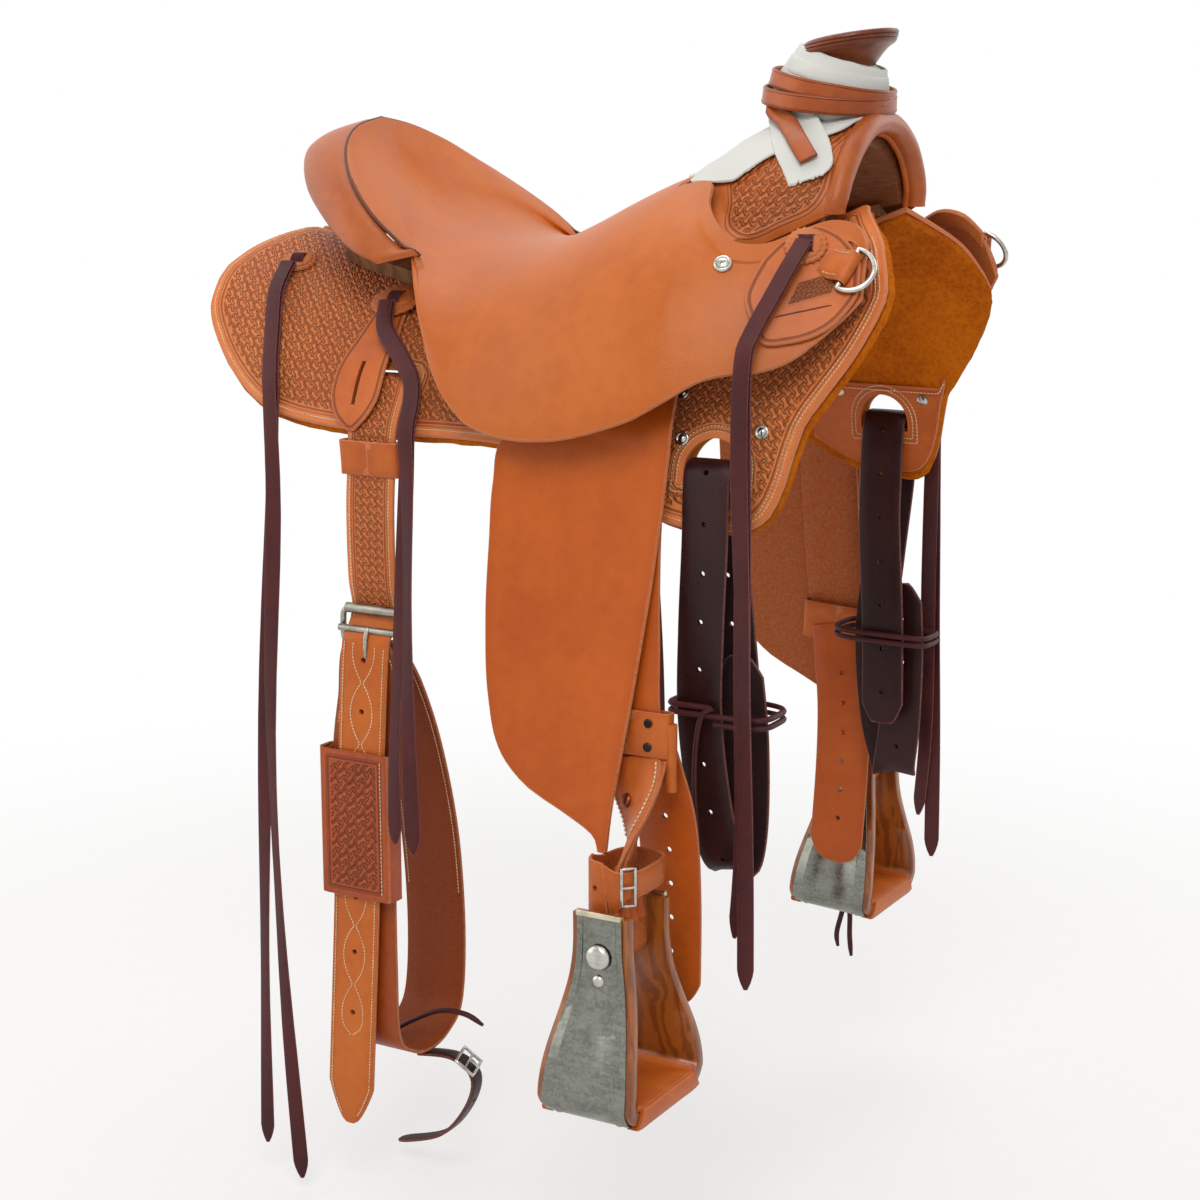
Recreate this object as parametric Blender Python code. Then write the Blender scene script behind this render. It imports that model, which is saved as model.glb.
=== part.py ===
"""Wade saddle with rolled cantle, post horn, in-skirt rigging, flank cinch and bell stirrups.

Units are metres. +X is the horse's front, +Y its left side, +Z is up. The origin lies on the
line of the horse's back under the lowest part of the seat. Right and left pieces come from one
function each, called with side -1 (right) and +1 (left).
"""
import math

import bmesh
import bpy
from mathutils import Matrix, Vector

for old in list(bpy.data.objects):
    bpy.data.objects.remove(old, do_unlink=True)

RIGHT, LEFT = -1, 1
SIDES = ((RIGHT, "right"), (LEFT, "left"))

# The horse's back: an elliptic section that rises to the withers and to the loin.
BACK_AXIS_Z = -0.210
BACK_HALF_WIDTH = 0.205
WITHER_NARROWING = 0.028
WITHER_RISE = 0.090
LOIN_RISE = 0.035
BACK_LOW_X = -0.020
BACK_REACH = 0.330

# Layers that lie on the back, each with its own thickness.
CLEARANCE = 0.0006
FLEECE_THICK = 0.0100
SKIRT_THICK = 0.0060
BAR_THICK = 0.0180
LEATHER_THICK = 0.0050
STRAP_THICK = 0.0040
HIDE_THICK = 0.0020

FLEECE_TOP = FLEECE_THICK
SKIRT_BOTTOM = FLEECE_TOP + CLEARANCE
SKIRT_TOP = SKIRT_BOTTOM + SKIRT_THICK
BAR_BOTTOM = SKIRT_TOP + 0.0010
BAR_TOP = BAR_BOTTOM + BAR_THICK

# Seat: side width at mid and at the fork, and how square its section is.
SEAT_HALF_WIDTH = 0.262
SEAT_FRONT_NARROWING = 0.050
SEAT_SQUARENESS = 2.4
SEAT_FRONT_SQUARENESS = 2.0
SEAT_NARROW_FROM_X = 0.160
SEAT_NARROW_LENGTH = 0.200
RIM_HALF_WIDTH = 0.170

# Stirrup leathers and fenders swing about this line, across the horse.
LEG_PIVOT_X = 0.165
LEG_PIVOT_Z = 0.020
LEG_INNER_Y = 0.158
LEG_BULGE = 0.0585
LEG_BULGE_RADIUS = 0.140
LEG_FLARE = 0.190
LEG_WIDTH = 0.0635
LEG_SLACK = 0.0020
LEG_LEAN = {RIGHT: 0.0, LEFT: -3.5}
BAR_BOSS_RADIUS = 0.0120

# Stirrups.
STIRRUP_X = 0.192
STIRRUP_Y = 0.295
STIRRUP_BOLT_Z = -0.538
STIRRUP_TOP_Z = -0.502
STIRRUP_TREAD_Z = -0.678
STIRRUP_NECK_HALF = 0.0375
STIRRUP_FOOT_HALF = 0.0660
STIRRUP_WOOD = 0.0100
STIRRUP_METAL = 0.0016
STIRRUP_TOP_DEPTH = 0.054
STIRRUP_TREAD_DEPTH = 0.092
TREAD_THICK = 0.0045
BOLT_RADIUS = 0.0050
BOLT_SLEEVE_RADIUS = 0.0080
BOLT_HEAD_RADIUS = 0.0115
BOLT_HEAD_HEIGHT = 0.0045

# Horn.
HORN_X = 0.257
HORN_BASE_Z = 0.1660
HORN_CAP_Z = 0.2260
HORN_CAP_RADIUS = 0.0460
HORN_NECK_RADIUS = 0.0275
HORN_CAP_TILT = 9.0
HORN_LEAN = 12.0
HORN_STUD_RADIUS = 0.0150
WRAP_INNER_RADIUS = 0.0289
WRAP_OUTER_RADIUS = 0.0515
WRAP_TURNS = 2.1
WRAP_PITCH = 0.0104
WRAP_STRIP_WIDTH = 0.0096
WRAP_RISE = 0.0080
HORN_STRAP_WIDTH = 0.0135
HORN_STRAP_PITCH = 0.0143
HORN_STRAP_TURNS = 1.1
HORN_STRAP_THICK = 0.0030

# Trim and hardware.
ROSETTE_THICK = 0.0045
SMALL_ROSETTE = 0.0190
LARGE_ROSETTE = 0.0260
LACE_WIDTH = 0.0130
LACE_THICK = 0.0018
LACE_GAP = 0.0030
DEE_RADIUS = 0.0195
DEE_WIRE = 0.0024
FLANK_WIDTH = 0.0560
FLANK_X = -0.122
FLANK_SLOT_Z = -0.078
FLANK_SLOT_HEIGHT = 0.0120
FLANK_STRAP_Y = 0.2150
BUCKLE_Z = -0.310
BUCKLE_HALF_WIDTH = 0.0335
BUCKLE_HALF_HEIGHT = 0.0170
BUCKLE_WIRE = 0.0030
CINCH_WIDTH = 0.0700
CINCH_X = -0.138
LATIGO_WIDTH = 0.0445
RIG_SLOT_X = 0.224
RIG_SLOT_TOP = -0.110
RIG_SLOT_BOTTOM = -0.146
RIG_SLOT_HALF = 0.026
RIG_BAR_Z = -0.165


def smooth(t):
    """Ease from 0 to 1."""
    t = max(0.0, min(1.0, t))
    return t * t * (3.0 - 2.0 * t)


def lerp(a, b, t):
    return a + (b - a) * t


def read_off(points, x):
    """Height of a smooth line through a few (x, height) points."""
    if x <= points[0][0]:
        return points[0][1]
    if x >= points[-1][0]:
        return points[-1][1]
    k = max(i for i in range(len(points) - 1) if points[i][0] <= x)

    def slope(i):
        low, high = max(0, i - 1), min(len(points) - 1, i + 1)
        return (points[high][1] - points[low][1]) / (points[high][0] - points[low][0])

    (x0, y0), (x1, y1) = points[k], points[k + 1]
    h = x1 - x0
    t = (x - x0) / h
    return (y0 * (1 + 2 * t) * (1 - t) ** 2 + slope(k) * h * t * (1 - t) ** 2
            + y1 * t * t * (3 - 2 * t) + slope(k + 1) * h * t * t * (t - 1))


def spline(points, count):
    """Evenly numbered points on a smooth curve through the given ones."""
    pts = [Vector(p) for p in points]
    last = len(pts) - 1
    out = []
    for i in range(count):
        s = i * last / (count - 1)
        k = min(int(s), last - 1)
        t = s - k
        p0, p1, p2, p3 = (pts[max(0, min(last, k + d))] for d in (-1, 0, 1, 2))
        out.append(0.5 * (2 * p1 + (p2 - p0) * t + (2 * p0 - 5 * p1 + 4 * p2 - p3) * t ** 2
                          + (3 * p1 - 3 * p2 + p3 - p0) * t ** 3))
    return out


def material(name, colour, roughness, metallic=0.0):
    mat = bpy.data.materials.new(name)
    mat.use_nodes = True
    shader = mat.node_tree.nodes["Principled BSDF"]
    shader.inputs["Base Color"].default_value = (*colour, 1.0)
    shader.inputs["Roughness"].default_value = roughness
    shader.inputs["Metallic"].default_value = metallic
    mat.diffuse_color = (*colour, 1.0)
    return mat


SADDLE_LEATHER = (0.60, 0.22, 0.06)
TOOLED_LEATHER = (0.40, 0.13, 0.045)
DARK_LEATHER = (0.05, 0.016, 0.018)
WHITE_HIDE = (0.66, 0.68, 0.66)
FLEECE = (0.58, 0.26, 0.03)
WOOD = (0.36, 0.14, 0.03)
STEEL = (0.46, 0.46, 0.42)


def leather(name, colour=SADDLE_LEATHER, roughness=0.45):
    return material(name + "_finish", colour, roughness)


def metal(name):
    return material(name + "_finish", STEEL, 0.3, 1.0)


def solid(name, verts, faces, mat):
    """Make one closed body with its faces pointing out."""
    mesh = bpy.data.meshes.new(name)
    mesh.from_pydata([tuple(v) for v in verts], [], faces)
    bm = bmesh.new()
    bm.from_mesh(mesh)
    bmesh.ops.recalc_face_normals(bm, faces=bm.faces)
    bm.to_mesh(mesh)
    bm.free()
    mesh.shade_smooth()
    mesh.set_sharp_from_angle(angle=math.radians(40))
    mesh.materials.append(mat)
    obj = bpy.data.objects.new(name, mesh)
    bpy.context.collection.objects.link(obj)
    return obj


def set_origin(obj, point):
    """Put the object's origin on its joint's axis without moving its faces."""
    point = Vector(point)
    obj.data.transform(Matrix.Translation(-point))
    obj.location = point
    return obj


def cutter(name, verts, faces):
    tool = solid(name, verts, faces, material(name + "_mark", (0.5, 0.5, 0.5), 0.5))
    tool.hide_render = True
    tool.display_type = "WIRE"
    return tool


def boolean(obj, tool, operation="DIFFERENCE"):
    mod = obj.modifiers.new(tool.name, "BOOLEAN")
    mod.object = tool
    mod.operation = operation
    mod.solver = "EXACT"


def core_line(p):
    """The point inside the saddle that a surface point faces away from."""
    return Vector((p.x, 0.0, BACK_AXIS_Z))


def thicken(points, faces, depth):
    """Close an open sheet by a second sheet set in by depth, and walls along its edge."""
    normals = [Vector() for _ in points]
    for face in faces:
        a, b, c = (points[i] for i in face[:3])
        d = points[face[-1]]
        n = (b - a).cross(d - a) + (c - b).cross(a - b)
        for i in face:
            normals[i] += n
    facing = sum(n.dot(p - core_line(p)) for n, p in zip(normals, points))
    flip = -1.0 if facing < 0 else 1.0
    inner = [p - n.normalized() * depth * flip for p, n in zip(points, normals)]
    return close_pair(points, inner, faces)


def close_pair(outer, inner, faces):
    """Join two matching open sheets into one closed shell."""
    count = len(outer)
    used = {}
    for face in faces:
        for a, b in zip(face, face[1:] + face[:1]):
            used[(a, b)] = True
    walls = [(a, b, b + count, a + count) for a, b in used if (b, a) not in used]
    back = [tuple(i + count for i in reversed(face)) for face in faces]
    return list(outer) + list(inner), [tuple(f) for f in faces] + back + walls


def grid_faces(rows, columns, split=False):
    quads = [(r * columns + c, r * columns + c + 1, (r + 1) * columns + c + 1, (r + 1) * columns + c)
             for r in range(rows - 1) for c in range(columns - 1)]
    return [t for a, b, c, d in quads for t in ((a, b, c), (a, c, d))] if split else quads


def sheet(name, rows, depth, mat):
    """A leather sheet from rows of outer points."""
    points = [p for row in rows for p in row]
    return solid(name, *thicken(points, grid_faces(len(rows), len(rows[0])), depth), mat)


def loft(rings, closed=False):
    """Skin a list of rings, with a fan at each end or joined round into a loop."""
    n = len(rings[0])
    verts = [p for ring in rings for p in ring]
    count = len(rings)
    faces = []
    for k in range(count if closed else count - 1):
        a, b = k * n, ((k + 1) % count) * n
        faces += [(a + i, a + (i + 1) % n, b + (i + 1) % n, b + i) for i in range(n)]
    if not closed:
        for start in (0, (count - 1) * n):
            hub = sum((verts[start + i] for i in range(n)), Vector()) / n
            verts.append(hub)
            faces += [(start + i, start + (i + 1) % n, len(verts) - 1) for i in range(n)]
    return verts, faces


def strap_rings(path, widths, thick):
    """Flat rings along a path: widths holds one width vector for each point."""
    rings = []
    for i, p in enumerate(path):
        ahead, behind = path[min(i + 1, len(path) - 1)], path[max(i - 1, 0)]
        wide = widths[i]
        normal = (ahead - behind).cross(wide).normalized() * thick / 2
        rings.append([p - wide / 2 - normal, p + wide / 2 - normal,
                      p + wide / 2 + normal, p - wide / 2 + normal])
    return rings


def strap(name, path, width, thick, mat, across=Vector((1, 0, 0))):
    """A flat strap whose width runs along one direction."""
    widths = [across.normalized() * width for _ in path]
    return solid(name, *loft(strap_rings(path, widths, thick)), mat)


def wire_rings(path, radius, sides, closed=False, across=Vector((0, 0, 1))):
    rings = []
    count = len(path)
    for i, p in enumerate(path):
        if closed:
            along = (path[(i + 1) % count] - path[i - 1]).normalized()
        else:
            along = (path[min(i + 1, count - 1)] - path[max(i - 1, 0)]).normalized()
        u = across.cross(along).normalized()
        v = along.cross(u)
        rings.append([p + radius * (u * math.cos(a) + v * math.sin(a))
                      for a in (2 * math.pi * k / sides for k in range(sides))])
    return rings


def turned(profile, centre, axis, sides=20):
    """Rings of a turned piece: profile holds (radius, height along the axis)."""
    axis = Vector(axis).normalized()
    u = axis.orthogonal().normalized()
    v = axis.cross(u)
    return [[Vector(centre) + axis * h + r * (u * math.cos(a) + v * math.sin(a))
             for a in (2 * math.pi * k / sides for k in range(sides))] for r, h in profile]


def band_shape(centre, wide, deep, high, inner_wide, inner_deep, wall, height):
    """A flat loop of leather round a strap, open along its height."""
    wide, deep, high = (Vector(v).normalized() for v in (wide, deep, high))
    corners = ((-1, -1), (1, -1), (1, 1), (-1, 1))

    def ring(extra, lift):
        return [Vector(centre) + wide * a * (inner_wide / 2 + extra)
                + deep * b * (inner_deep / 2 + extra) + high * lift for a, b in corners]

    rings = [ring(0, -height / 2), ring(wall, -height / 2), ring(wall, height / 2),
             ring(0, height / 2)]
    return loft(rings, closed=True)


# Surfaces that the pieces lie on.

def back_half_width(x):
    return BACK_HALF_WIDTH - WITHER_NARROWING * smooth((x - 0.05) / 0.28)


def back_height(x):
    """Height of the back's section above its axis."""
    reach = (x - BACK_LOW_X) / BACK_REACH
    return -BACK_AXIS_Z + (WITHER_RISE if reach > 0 else LOIN_RISE) * reach ** 2


def on_back(x, angle, lift, side):
    """A point at an angle from the spine, lifted off the horse's back."""
    return Vector((x, side * (back_half_width(x) + lift) * math.sin(angle),
                   BACK_AXIS_Z + (back_height(x) + lift) * math.cos(angle)))


def back_angle(x, z, lift):
    """The angle at which the lifted back reaches a height."""
    ratio = (z - BACK_AXIS_Z) / (back_height(x) + lift)
    return math.acos(max(-1.0, min(1.0, ratio)))


def on_skirt(x, z, side, proud=0.0):
    lift = SKIRT_TOP + proud
    return on_back(x, back_angle(x, z, lift), lift, side)


SEAT_CREST = [(-0.250, 0.157), (-0.241, 0.135), (-0.229, 0.115), (-0.208, 0.093), (-0.182, 0.074),
              (-0.148, 0.058), (-0.105, 0.048), (-0.050, 0.045), (0.000, 0.052), (0.040, 0.068),
              (0.080, 0.088), (0.110, 0.102), (0.135, 0.112), (0.200, 0.124), (0.300, 0.128)]


def seat_side(x, z):
    """Half width of the seat and jockeys at a height."""
    blend = smooth((x - SEAT_NARROW_FROM_X) / SEAT_NARROW_LENGTH)
    power = lerp(SEAT_SQUARENESS, SEAT_FRONT_SQUARENESS, blend)
    crest = read_off(SEAT_CREST[7:], x) - BACK_AXIS_Z
    ratio = max(0.0, min(1.0, (z - BACK_AXIS_Z) / crest))
    half = SEAT_HALF_WIDTH - SEAT_FRONT_NARROWING * blend
    return half * (1.0 - ratio ** power) ** (1.0 / power)


def on_seat(x, z, side, proud=0.0):
    """A point on the side of the seat, pushed out along the surface's normal."""
    def at(px, pz):
        return Vector((px, side * seat_side(px, pz), pz))
    step = 0.002
    p = at(x, z)
    normal = (at(x + step, z) - p).cross(at(x, z + step) - p).normalized()
    if normal.y * side < 0:
        normal = -normal
    return p + normal * proud


def leg_y(radius):
    """Distance from the middle of the saddle to the outer face of the fender."""
    return (LEG_INNER_Y + LEG_BULGE * smooth(radius / LEG_BULGE_RADIUS)
            + LEG_FLARE * max(0.0, radius - LEG_BULGE_RADIUS))


# Skirts and fleece.

SKIRT_REAR_X, SKIRT_FRONT_X = -0.359, 0.357
SKIRT_LOWER = [(-0.359, 0.002), (-0.352, -0.022), (-0.326, -0.054), (-0.296, -0.082),
               (-0.259, -0.106), (-0.209, -0.119), (-0.120, -0.125), (0.000, -0.125),
               (0.080, -0.134), (0.140, -0.162), (0.190, -0.184), (0.250, -0.186),
               (0.275, -0.174), (0.289, -0.143), (0.299, -0.099), (0.314, -0.073),
               (0.338, -0.036), (0.352, -0.006), (0.357, 0.010)]
SKIRT_UPPER = [(-0.359, 0.014), (-0.350, 0.031), (-0.335, 0.047), (-0.310, 0.075),
               (-0.200, 0.120), (0.240, 0.160), (0.300, 0.090), (0.339, 0.058),
               (0.353, 0.032), (0.357, 0.020)]
SPINE_GAP = [(-0.360, 0.006), (-0.200, 0.008), (0.000, 0.030), (0.250, 0.060), (0.360, 0.070)]
SKIRT_FRONT_TRIM = {RIGHT: 0.0, LEFT: 0.018}
SKIRT_COLUMNS = 25
SKIRT_ROWS = 7


def skirt_grid(side, lift):
    rows = []
    middle = (SKIRT_FRONT_X + SKIRT_REAR_X) / 2
    half = (SKIRT_FRONT_X - SKIRT_REAR_X) / 2
    for i in range(SKIRT_COLUMNS):
        at = middle - half * math.cos(math.pi * i / (SKIRT_COLUMNS - 1))
        trim = SKIRT_FRONT_TRIM[side] * smooth((at - 0.20) / 0.157)
        x = at - trim
        nearest = math.asin(read_off(SPINE_GAP, x) / (back_half_width(x) + SKIRT_TOP))
        top = max(back_angle(x, read_off(SKIRT_UPPER, at) - 0.9 * trim, SKIRT_TOP), nearest)
        low = back_angle(x, read_off(SKIRT_LOWER, at) - 0.9 * trim, SKIRT_TOP)
        rows.append([on_back(x, lerp(top, low, j / (SKIRT_ROWS - 1)), lift, side)
                     for j in range(SKIRT_ROWS)])
    return [p for row in rows for p in row]


def slot_cutter(name, outline, side):
    """A prism across the skirt through an outline of (x, z) points."""
    near = [Vector((x, side * 0.09, z)) for x, z in outline]
    far = [Vector((x, side * 0.30, z)) for x, z in outline]
    return cutter(name, *loft([near, far]))


def rig_slot_outline(grow=0.0):
    """The D shaped hand slot above the bar that the latigo hangs on."""
    half = RIG_SLOT_HALF + grow
    arch = [(RIG_SLOT_X - half * math.cos(math.pi * k / 8),
             RIG_SLOT_BOTTOM + 0.010 + (RIG_SLOT_TOP - RIG_SLOT_BOTTOM - 0.010 + grow)
             * math.sin(math.pi * k / 8)) for k in range(9)]
    return arch + [(RIG_SLOT_X + half, RIG_SLOT_BOTTOM - grow),
                   (RIG_SLOT_X - half, RIG_SLOT_BOTTOM - grow)]


def flank_slot_outline(grow=0.0):
    half = FLANK_WIDTH / 2 + 0.003 + grow
    high = FLANK_SLOT_HEIGHT / 2 + grow
    return [(FLANK_X - half, FLANK_SLOT_Z - high), (FLANK_X + half, FLANK_SLOT_Z - high),
            (FLANK_X + half, FLANK_SLOT_Z + high * 0.4), (FLANK_X + half * 0.8, FLANK_SLOT_Z + high),
            (FLANK_X - half * 0.8, FLANK_SLOT_Z + high), (FLANK_X - half, FLANK_SLOT_Z + high * 0.4)]


def make_skirts(side, tag):
    faces = grid_faces(SKIRT_COLUMNS, SKIRT_ROWS, split=True)
    layers = (("fleece", 0.0, FLEECE_TOP, FLEECE, 0.95),
              ("skirt", SKIRT_BOTTOM, SKIRT_TOP, TOOLED_LEATHER, 0.5))
    tools = (slot_cutter("rig_slot_" + tag, rig_slot_outline(), side),
             slot_cutter("flank_slot_" + tag, flank_slot_outline(), side))
    for name, low, high, colour, rough in layers:
        verts, closed = close_pair(skirt_grid(side, high), skirt_grid(side, low), faces)
        piece = solid(f"{name}_{tag}", verts, closed, leather(f"{name}_{tag}", colour, rough))
        for tool in tools:
            boolean(piece, tool)


# Saddle tree.

BAR_REAR_X, BAR_FRONT_X = -0.245, 0.262
BAR_INNER_ANGLE = 15.0
BAR_OUTER_ANGLE = [(-0.250, 21.0), (-0.150, 26.0), (-0.050, 33.0), (0.050, 36.0), (0.262, 38.0)]


def make_tree_bar(side, tag):
    columns, rows = 13, 6
    outer, inner = [], []
    for i in range(columns):
        x = lerp(BAR_REAR_X, BAR_FRONT_X, i / (columns - 1))
        end = abs(2 * i / (columns - 1) - 1) ** 6
        for j in range(rows):
            low = math.radians(BAR_INNER_ANGLE + 2 * end)
            high = math.radians(read_off(BAR_OUTER_ANGLE, x) - 2 * end)
            angle = lerp(low, high, j / (rows - 1))
            outer.append(on_back(x, angle, BAR_TOP - 0.008 * end, side))
            inner.append(on_back(x, angle, BAR_BOTTOM, side))
    verts, faces = close_pair(outer, inner, grid_faces(columns, rows, split=True))
    bar = solid("tree_bar_" + tag, verts, faces, material("tree_bar_finish_" + tag, WOOD, 0.6))
    start = side * 0.112
    rings = turned(((BAR_BOSS_RADIUS, 0.0), (BAR_BOSS_RADIUS, 0.0285)),
                   (LEG_PIVOT_X, start, LEG_PIVOT_Z), (0, side, 0))
    boss = cutter("bar_boss_" + tag, *loft(rings))
    boolean(bar, boss, "UNION")


# Fork, its leather cover and the white hide on it. Each half is a patch with u running from
# the seat seam to the gullet edge and v from the middle to the foot.

COVER_REAR = [(0.116, 0.000, 0.0981), (0.118, 0.050, 0.0941), (0.132, 0.088, 0.0871),
              (0.166, 0.108, 0.0852), (0.190, 0.130, 0.0680), (0.212, 0.142, 0.0550)]
COVER_FRONT = [(0.290, 0.000, 0.1605), (0.290, 0.030, 0.1560), (0.290, 0.062, 0.1380),
               (0.289, 0.084, 0.1130), (0.288, 0.093, 0.0940), (0.286, 0.096, 0.0820)]
COVER_CROWN = 0.026
COVER_SWELL = 0.006


def cover_base(u, v):
    """A point on the fork cover; v below zero is the right half."""
    side = -1.0 if v < 0 else 1.0
    v = min(1.0, abs(v))
    steps = 25
    rear, front = spline(COVER_REAR, steps), spline(COVER_FRONT, steps)
    s = v * (steps - 1)
    k = min(int(s), steps - 2)
    a = lerp(rear[k], rear[k + 1], s - k)
    b = lerp(front[k], front[k + 1], s - k)
    p = lerp(a, b, u)
    hump = math.sin(math.pi * max(0.0, (u - 0.12) / 0.88) ** 0.75)
    p.z += COVER_CROWN * hump * (1 - v) ** 1.2
    p.y += COVER_SWELL * hump * math.sin(math.pi * v ** 1.3)
    return Vector((p.x, side * p.y, p.z))


def cover_normal(u, v):
    step = 0.02
    du = cover_base(min(1, u + step), v) - cover_base(max(0, u - step), v)
    dv = cover_base(u, min(1, v + step)) - cover_base(u, max(-1, v - step))
    n = du.cross(dv).normalized()
    return n if n.z > -0.2 and n.dot(cover_base(u, v) - Vector((0.25, 0, 0))) > 0 else -n


def on_cover(u, v, proud=0.0):
    return cover_base(u, v) + cover_normal(u, v) * proud


def stud_tool(name, grow, low, high):
    """Upright stud of the horn, or the hole for it."""
    radius = HORN_STUD_RADIUS + grow
    rings = turned(((radius, 0.0), (radius, high - low)), (horn_centre(high).x, 0, low), (0, 0, 1), 16)
    return cutter(name, *loft(rings))


def make_fork():
    across = [k / 11 for k in range(-11, 12)]
    along = (0.0, 0.12, 0.26, 0.42, 0.58, 0.74, 0.88, 1.0)
    rows = []
    for v in across:
        row = [on_cover(u, v) for u in along]
        edge = row[-1]
        turn = math.radians(90 * min(1.0, abs(v) * 1.15) ** 1.4)
        inward = Vector((0, -math.copysign(math.sin(turn), v), -math.cos(turn)))
        row += [edge + Vector((0.006, 0, 0)) + inward * 0.002,
                edge + Vector((0.008, 0, 0)) + inward * 0.009,
                edge + Vector((0.003, 0, 0)) + inward * 0.015]
        rows.append(row)
    points = [p for row in rows for p in row]
    verts, faces = thicken(points, grid_faces(len(rows), len(rows[0])), LEATHER_THICK)
    cover = solid("fork_cover", verts, faces, leather("fork_cover"))
    boolean(cover, stud_tool("stud_hole", 0.0006, 0.11, 0.1975))

    gullet = [(0.000, 0.1330), (0.026, 0.1290), (0.048, 0.1150), (0.062, 0.0970), (0.069, 0.0800)]
    depth = LEATHER_THICK + CLEARANCE
    rings = []
    stations = [k / 8 for k in range(-8, 9)]
    for v in stations:
        ring = [on_cover(u, v * 0.97, -depth - 0.0030) for u in (0.10, 0.28, 0.5, 0.72, 0.92)]
        s = abs(v) * (len(gullet) - 1)
        k = min(int(s), len(gullet) - 2)
        y = math.copysign(lerp(gullet[k][0], gullet[k + 1][0], s - k), v)
        z = lerp(gullet[k][1], gullet[k + 1][1], s - k)
        ring += [Vector((0.278, y, z)), Vector((0.185, y, z - 0.020))]
        rings.append(ring)
    for end, side in ((0, RIGHT), (-1, LEFT)):
        foot = []
        for p in rings[end][:5]:
            foot.append(Vector((lerp(p.x, 0.215, 0.35), side * 0.118, 0.0)))
        for x in (0.252, 0.185):
            foot.append(Vector((x, side * 0.076, 0.0)))
        for p in foot:
            height = back_height(p.x) + BAR_TOP
            half = back_half_width(p.x) + BAR_TOP
            rest = BACK_AXIS_Z + height * math.sqrt(1 - (p.y / half) ** 2)
            p.z = rest + 4 * CLEARANCE
        rings.insert(0, foot) if side == RIGHT else rings.append(foot)
    fork = solid("fork", *loft(rings), material("fork_finish", WOOD, 0.6))
    boolean(fork, stud_tool("horn_stud", 0.0, 0.138, 0.1950), "UNION")


APRON_GAP = 0.0026
APRON_REAR_U, APRON_FRONT_U = 0.20, 0.93
APRON_RIGHT = [(0.20, 0.14), (0.26, 0.24), (0.44, 0.34), (0.50, 0.62), (0.66, 0.68), (0.72, 0.46),
               (0.93, 0.36)]
APRON_LEFT = [(0.20, 0.14), (0.26, 0.24), (0.50, 0.38), (0.93, 0.38)]


def make_apron():
    rows = []
    for i in range(15):
        u = lerp(APRON_REAR_U, APRON_FRONT_U, i / 14)
        right, left = read_off(APRON_RIGHT, u), read_off(APRON_LEFT, u)
        rows.append([on_cover(u, lerp(-right, left, j / 12), APRON_GAP + HIDE_THICK)
                     for j in range(13)])
    apron = sheet("horn_apron", rows, HIDE_THICK, material("horn_apron_finish", WHITE_HIDE, 0.9))
    boolean(apron, stud_tool("apron_hole", 0.0010, 0.12, 0.1975))


def horn_centre(z):
    """The horn leans forward, so its middle moves with height."""
    return Vector((HORN_X - (HORN_CAP_Z - z) * math.tan(math.radians(HORN_LEAN)), 0, z))


def make_horn():
    profile = [(HORN_NECK_RADIUS, HORN_BASE_Z, 0.0), (HORN_NECK_RADIUS, 0.180, -0.6),
               (HORN_NECK_RADIUS, 0.204, 0.0), (0.0330, 0.2145, 0.8), (0.0420, 0.2190, 1.0),
               (HORN_CAP_RADIUS, 0.2235, 1.0), (HORN_CAP_RADIUS - 0.001, 0.2300, 1.0),
               (0.0400, 0.2330, 1.0)]
    rings = []
    for radius, z, lean in profile:
        tilt = math.radians(HORN_CAP_TILT) * lean
        u, v = Vector((math.cos(tilt), 0, math.sin(tilt))), Vector((0, 1, 0))
        middle = horn_centre(z)
        rings.append([middle + radius * (u * math.cos(a) + v * math.sin(a))
                      for a in (2 * math.pi * k / 28 for k in range(28))])
    horn = solid("horn", *loft(rings), leather("horn", (0.20, 0.06, 0.025), 0.4))
    boolean(horn, stud_tool("horn_bore", 0.0006, 0.120, 0.1960))


def wound_rings(inner, outer, height, pitch, turns, rise, start_angle, per_turn=24):
    """A strip wound upwards round the leaning horn as one unbroken band."""
    lean = math.radians(HORN_LEAN)
    up = Vector((math.sin(lean), 0, math.cos(lean)))
    front, left = Vector((math.cos(lean), 0, -math.sin(lean))), Vector((0, 1, 0))
    rings = []
    for k in range(round(turns * per_turn) + 1):
        a = start_angle + 2 * math.pi * k / per_turn
        middle = horn_centre(HORN_BASE_Z) + up * (rise + pitch * k / per_turn)
        out = front * math.cos(a) + left * math.sin(a)
        rings.append([middle + out * inner, middle + out * outer,
                      middle + out * outer + up * height, middle + out * inner + up * height])
    return rings


def make_horn_wrap():
    rings = wound_rings(WRAP_INNER_RADIUS, WRAP_OUTER_RADIUS, WRAP_STRIP_WIDTH, WRAP_PITCH,
                        WRAP_TURNS, WRAP_RISE, -2 * math.pi * WRAP_TURNS)
    solid("horn_wrap", *loft(rings), material("horn_wrap_finish", WHITE_HIDE, 0.9))
    print("horn wrap: least gap between turns (mm)", (WRAP_PITCH - WRAP_STRIP_WIDTH) * 1000)

    inner = WRAP_OUTER_RADIUS + CLEARANCE
    rings = wound_rings(inner, inner + HORN_STRAP_THICK, HORN_STRAP_WIDTH, HORN_STRAP_PITCH,
                        HORN_STRAP_TURNS, WRAP_RISE + 0.003,
                        math.radians(-130) - 2 * math.pi * HORN_STRAP_TURNS)
    solid("horn_strap", *loft(rings), leather("horn_strap", (0.36, 0.11, 0.04)))
    print("horn strap: least gap between turns (mm)", (HORN_STRAP_PITCH - HORN_STRAP_WIDTH) * 1000)


# Seat and cantle.

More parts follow.
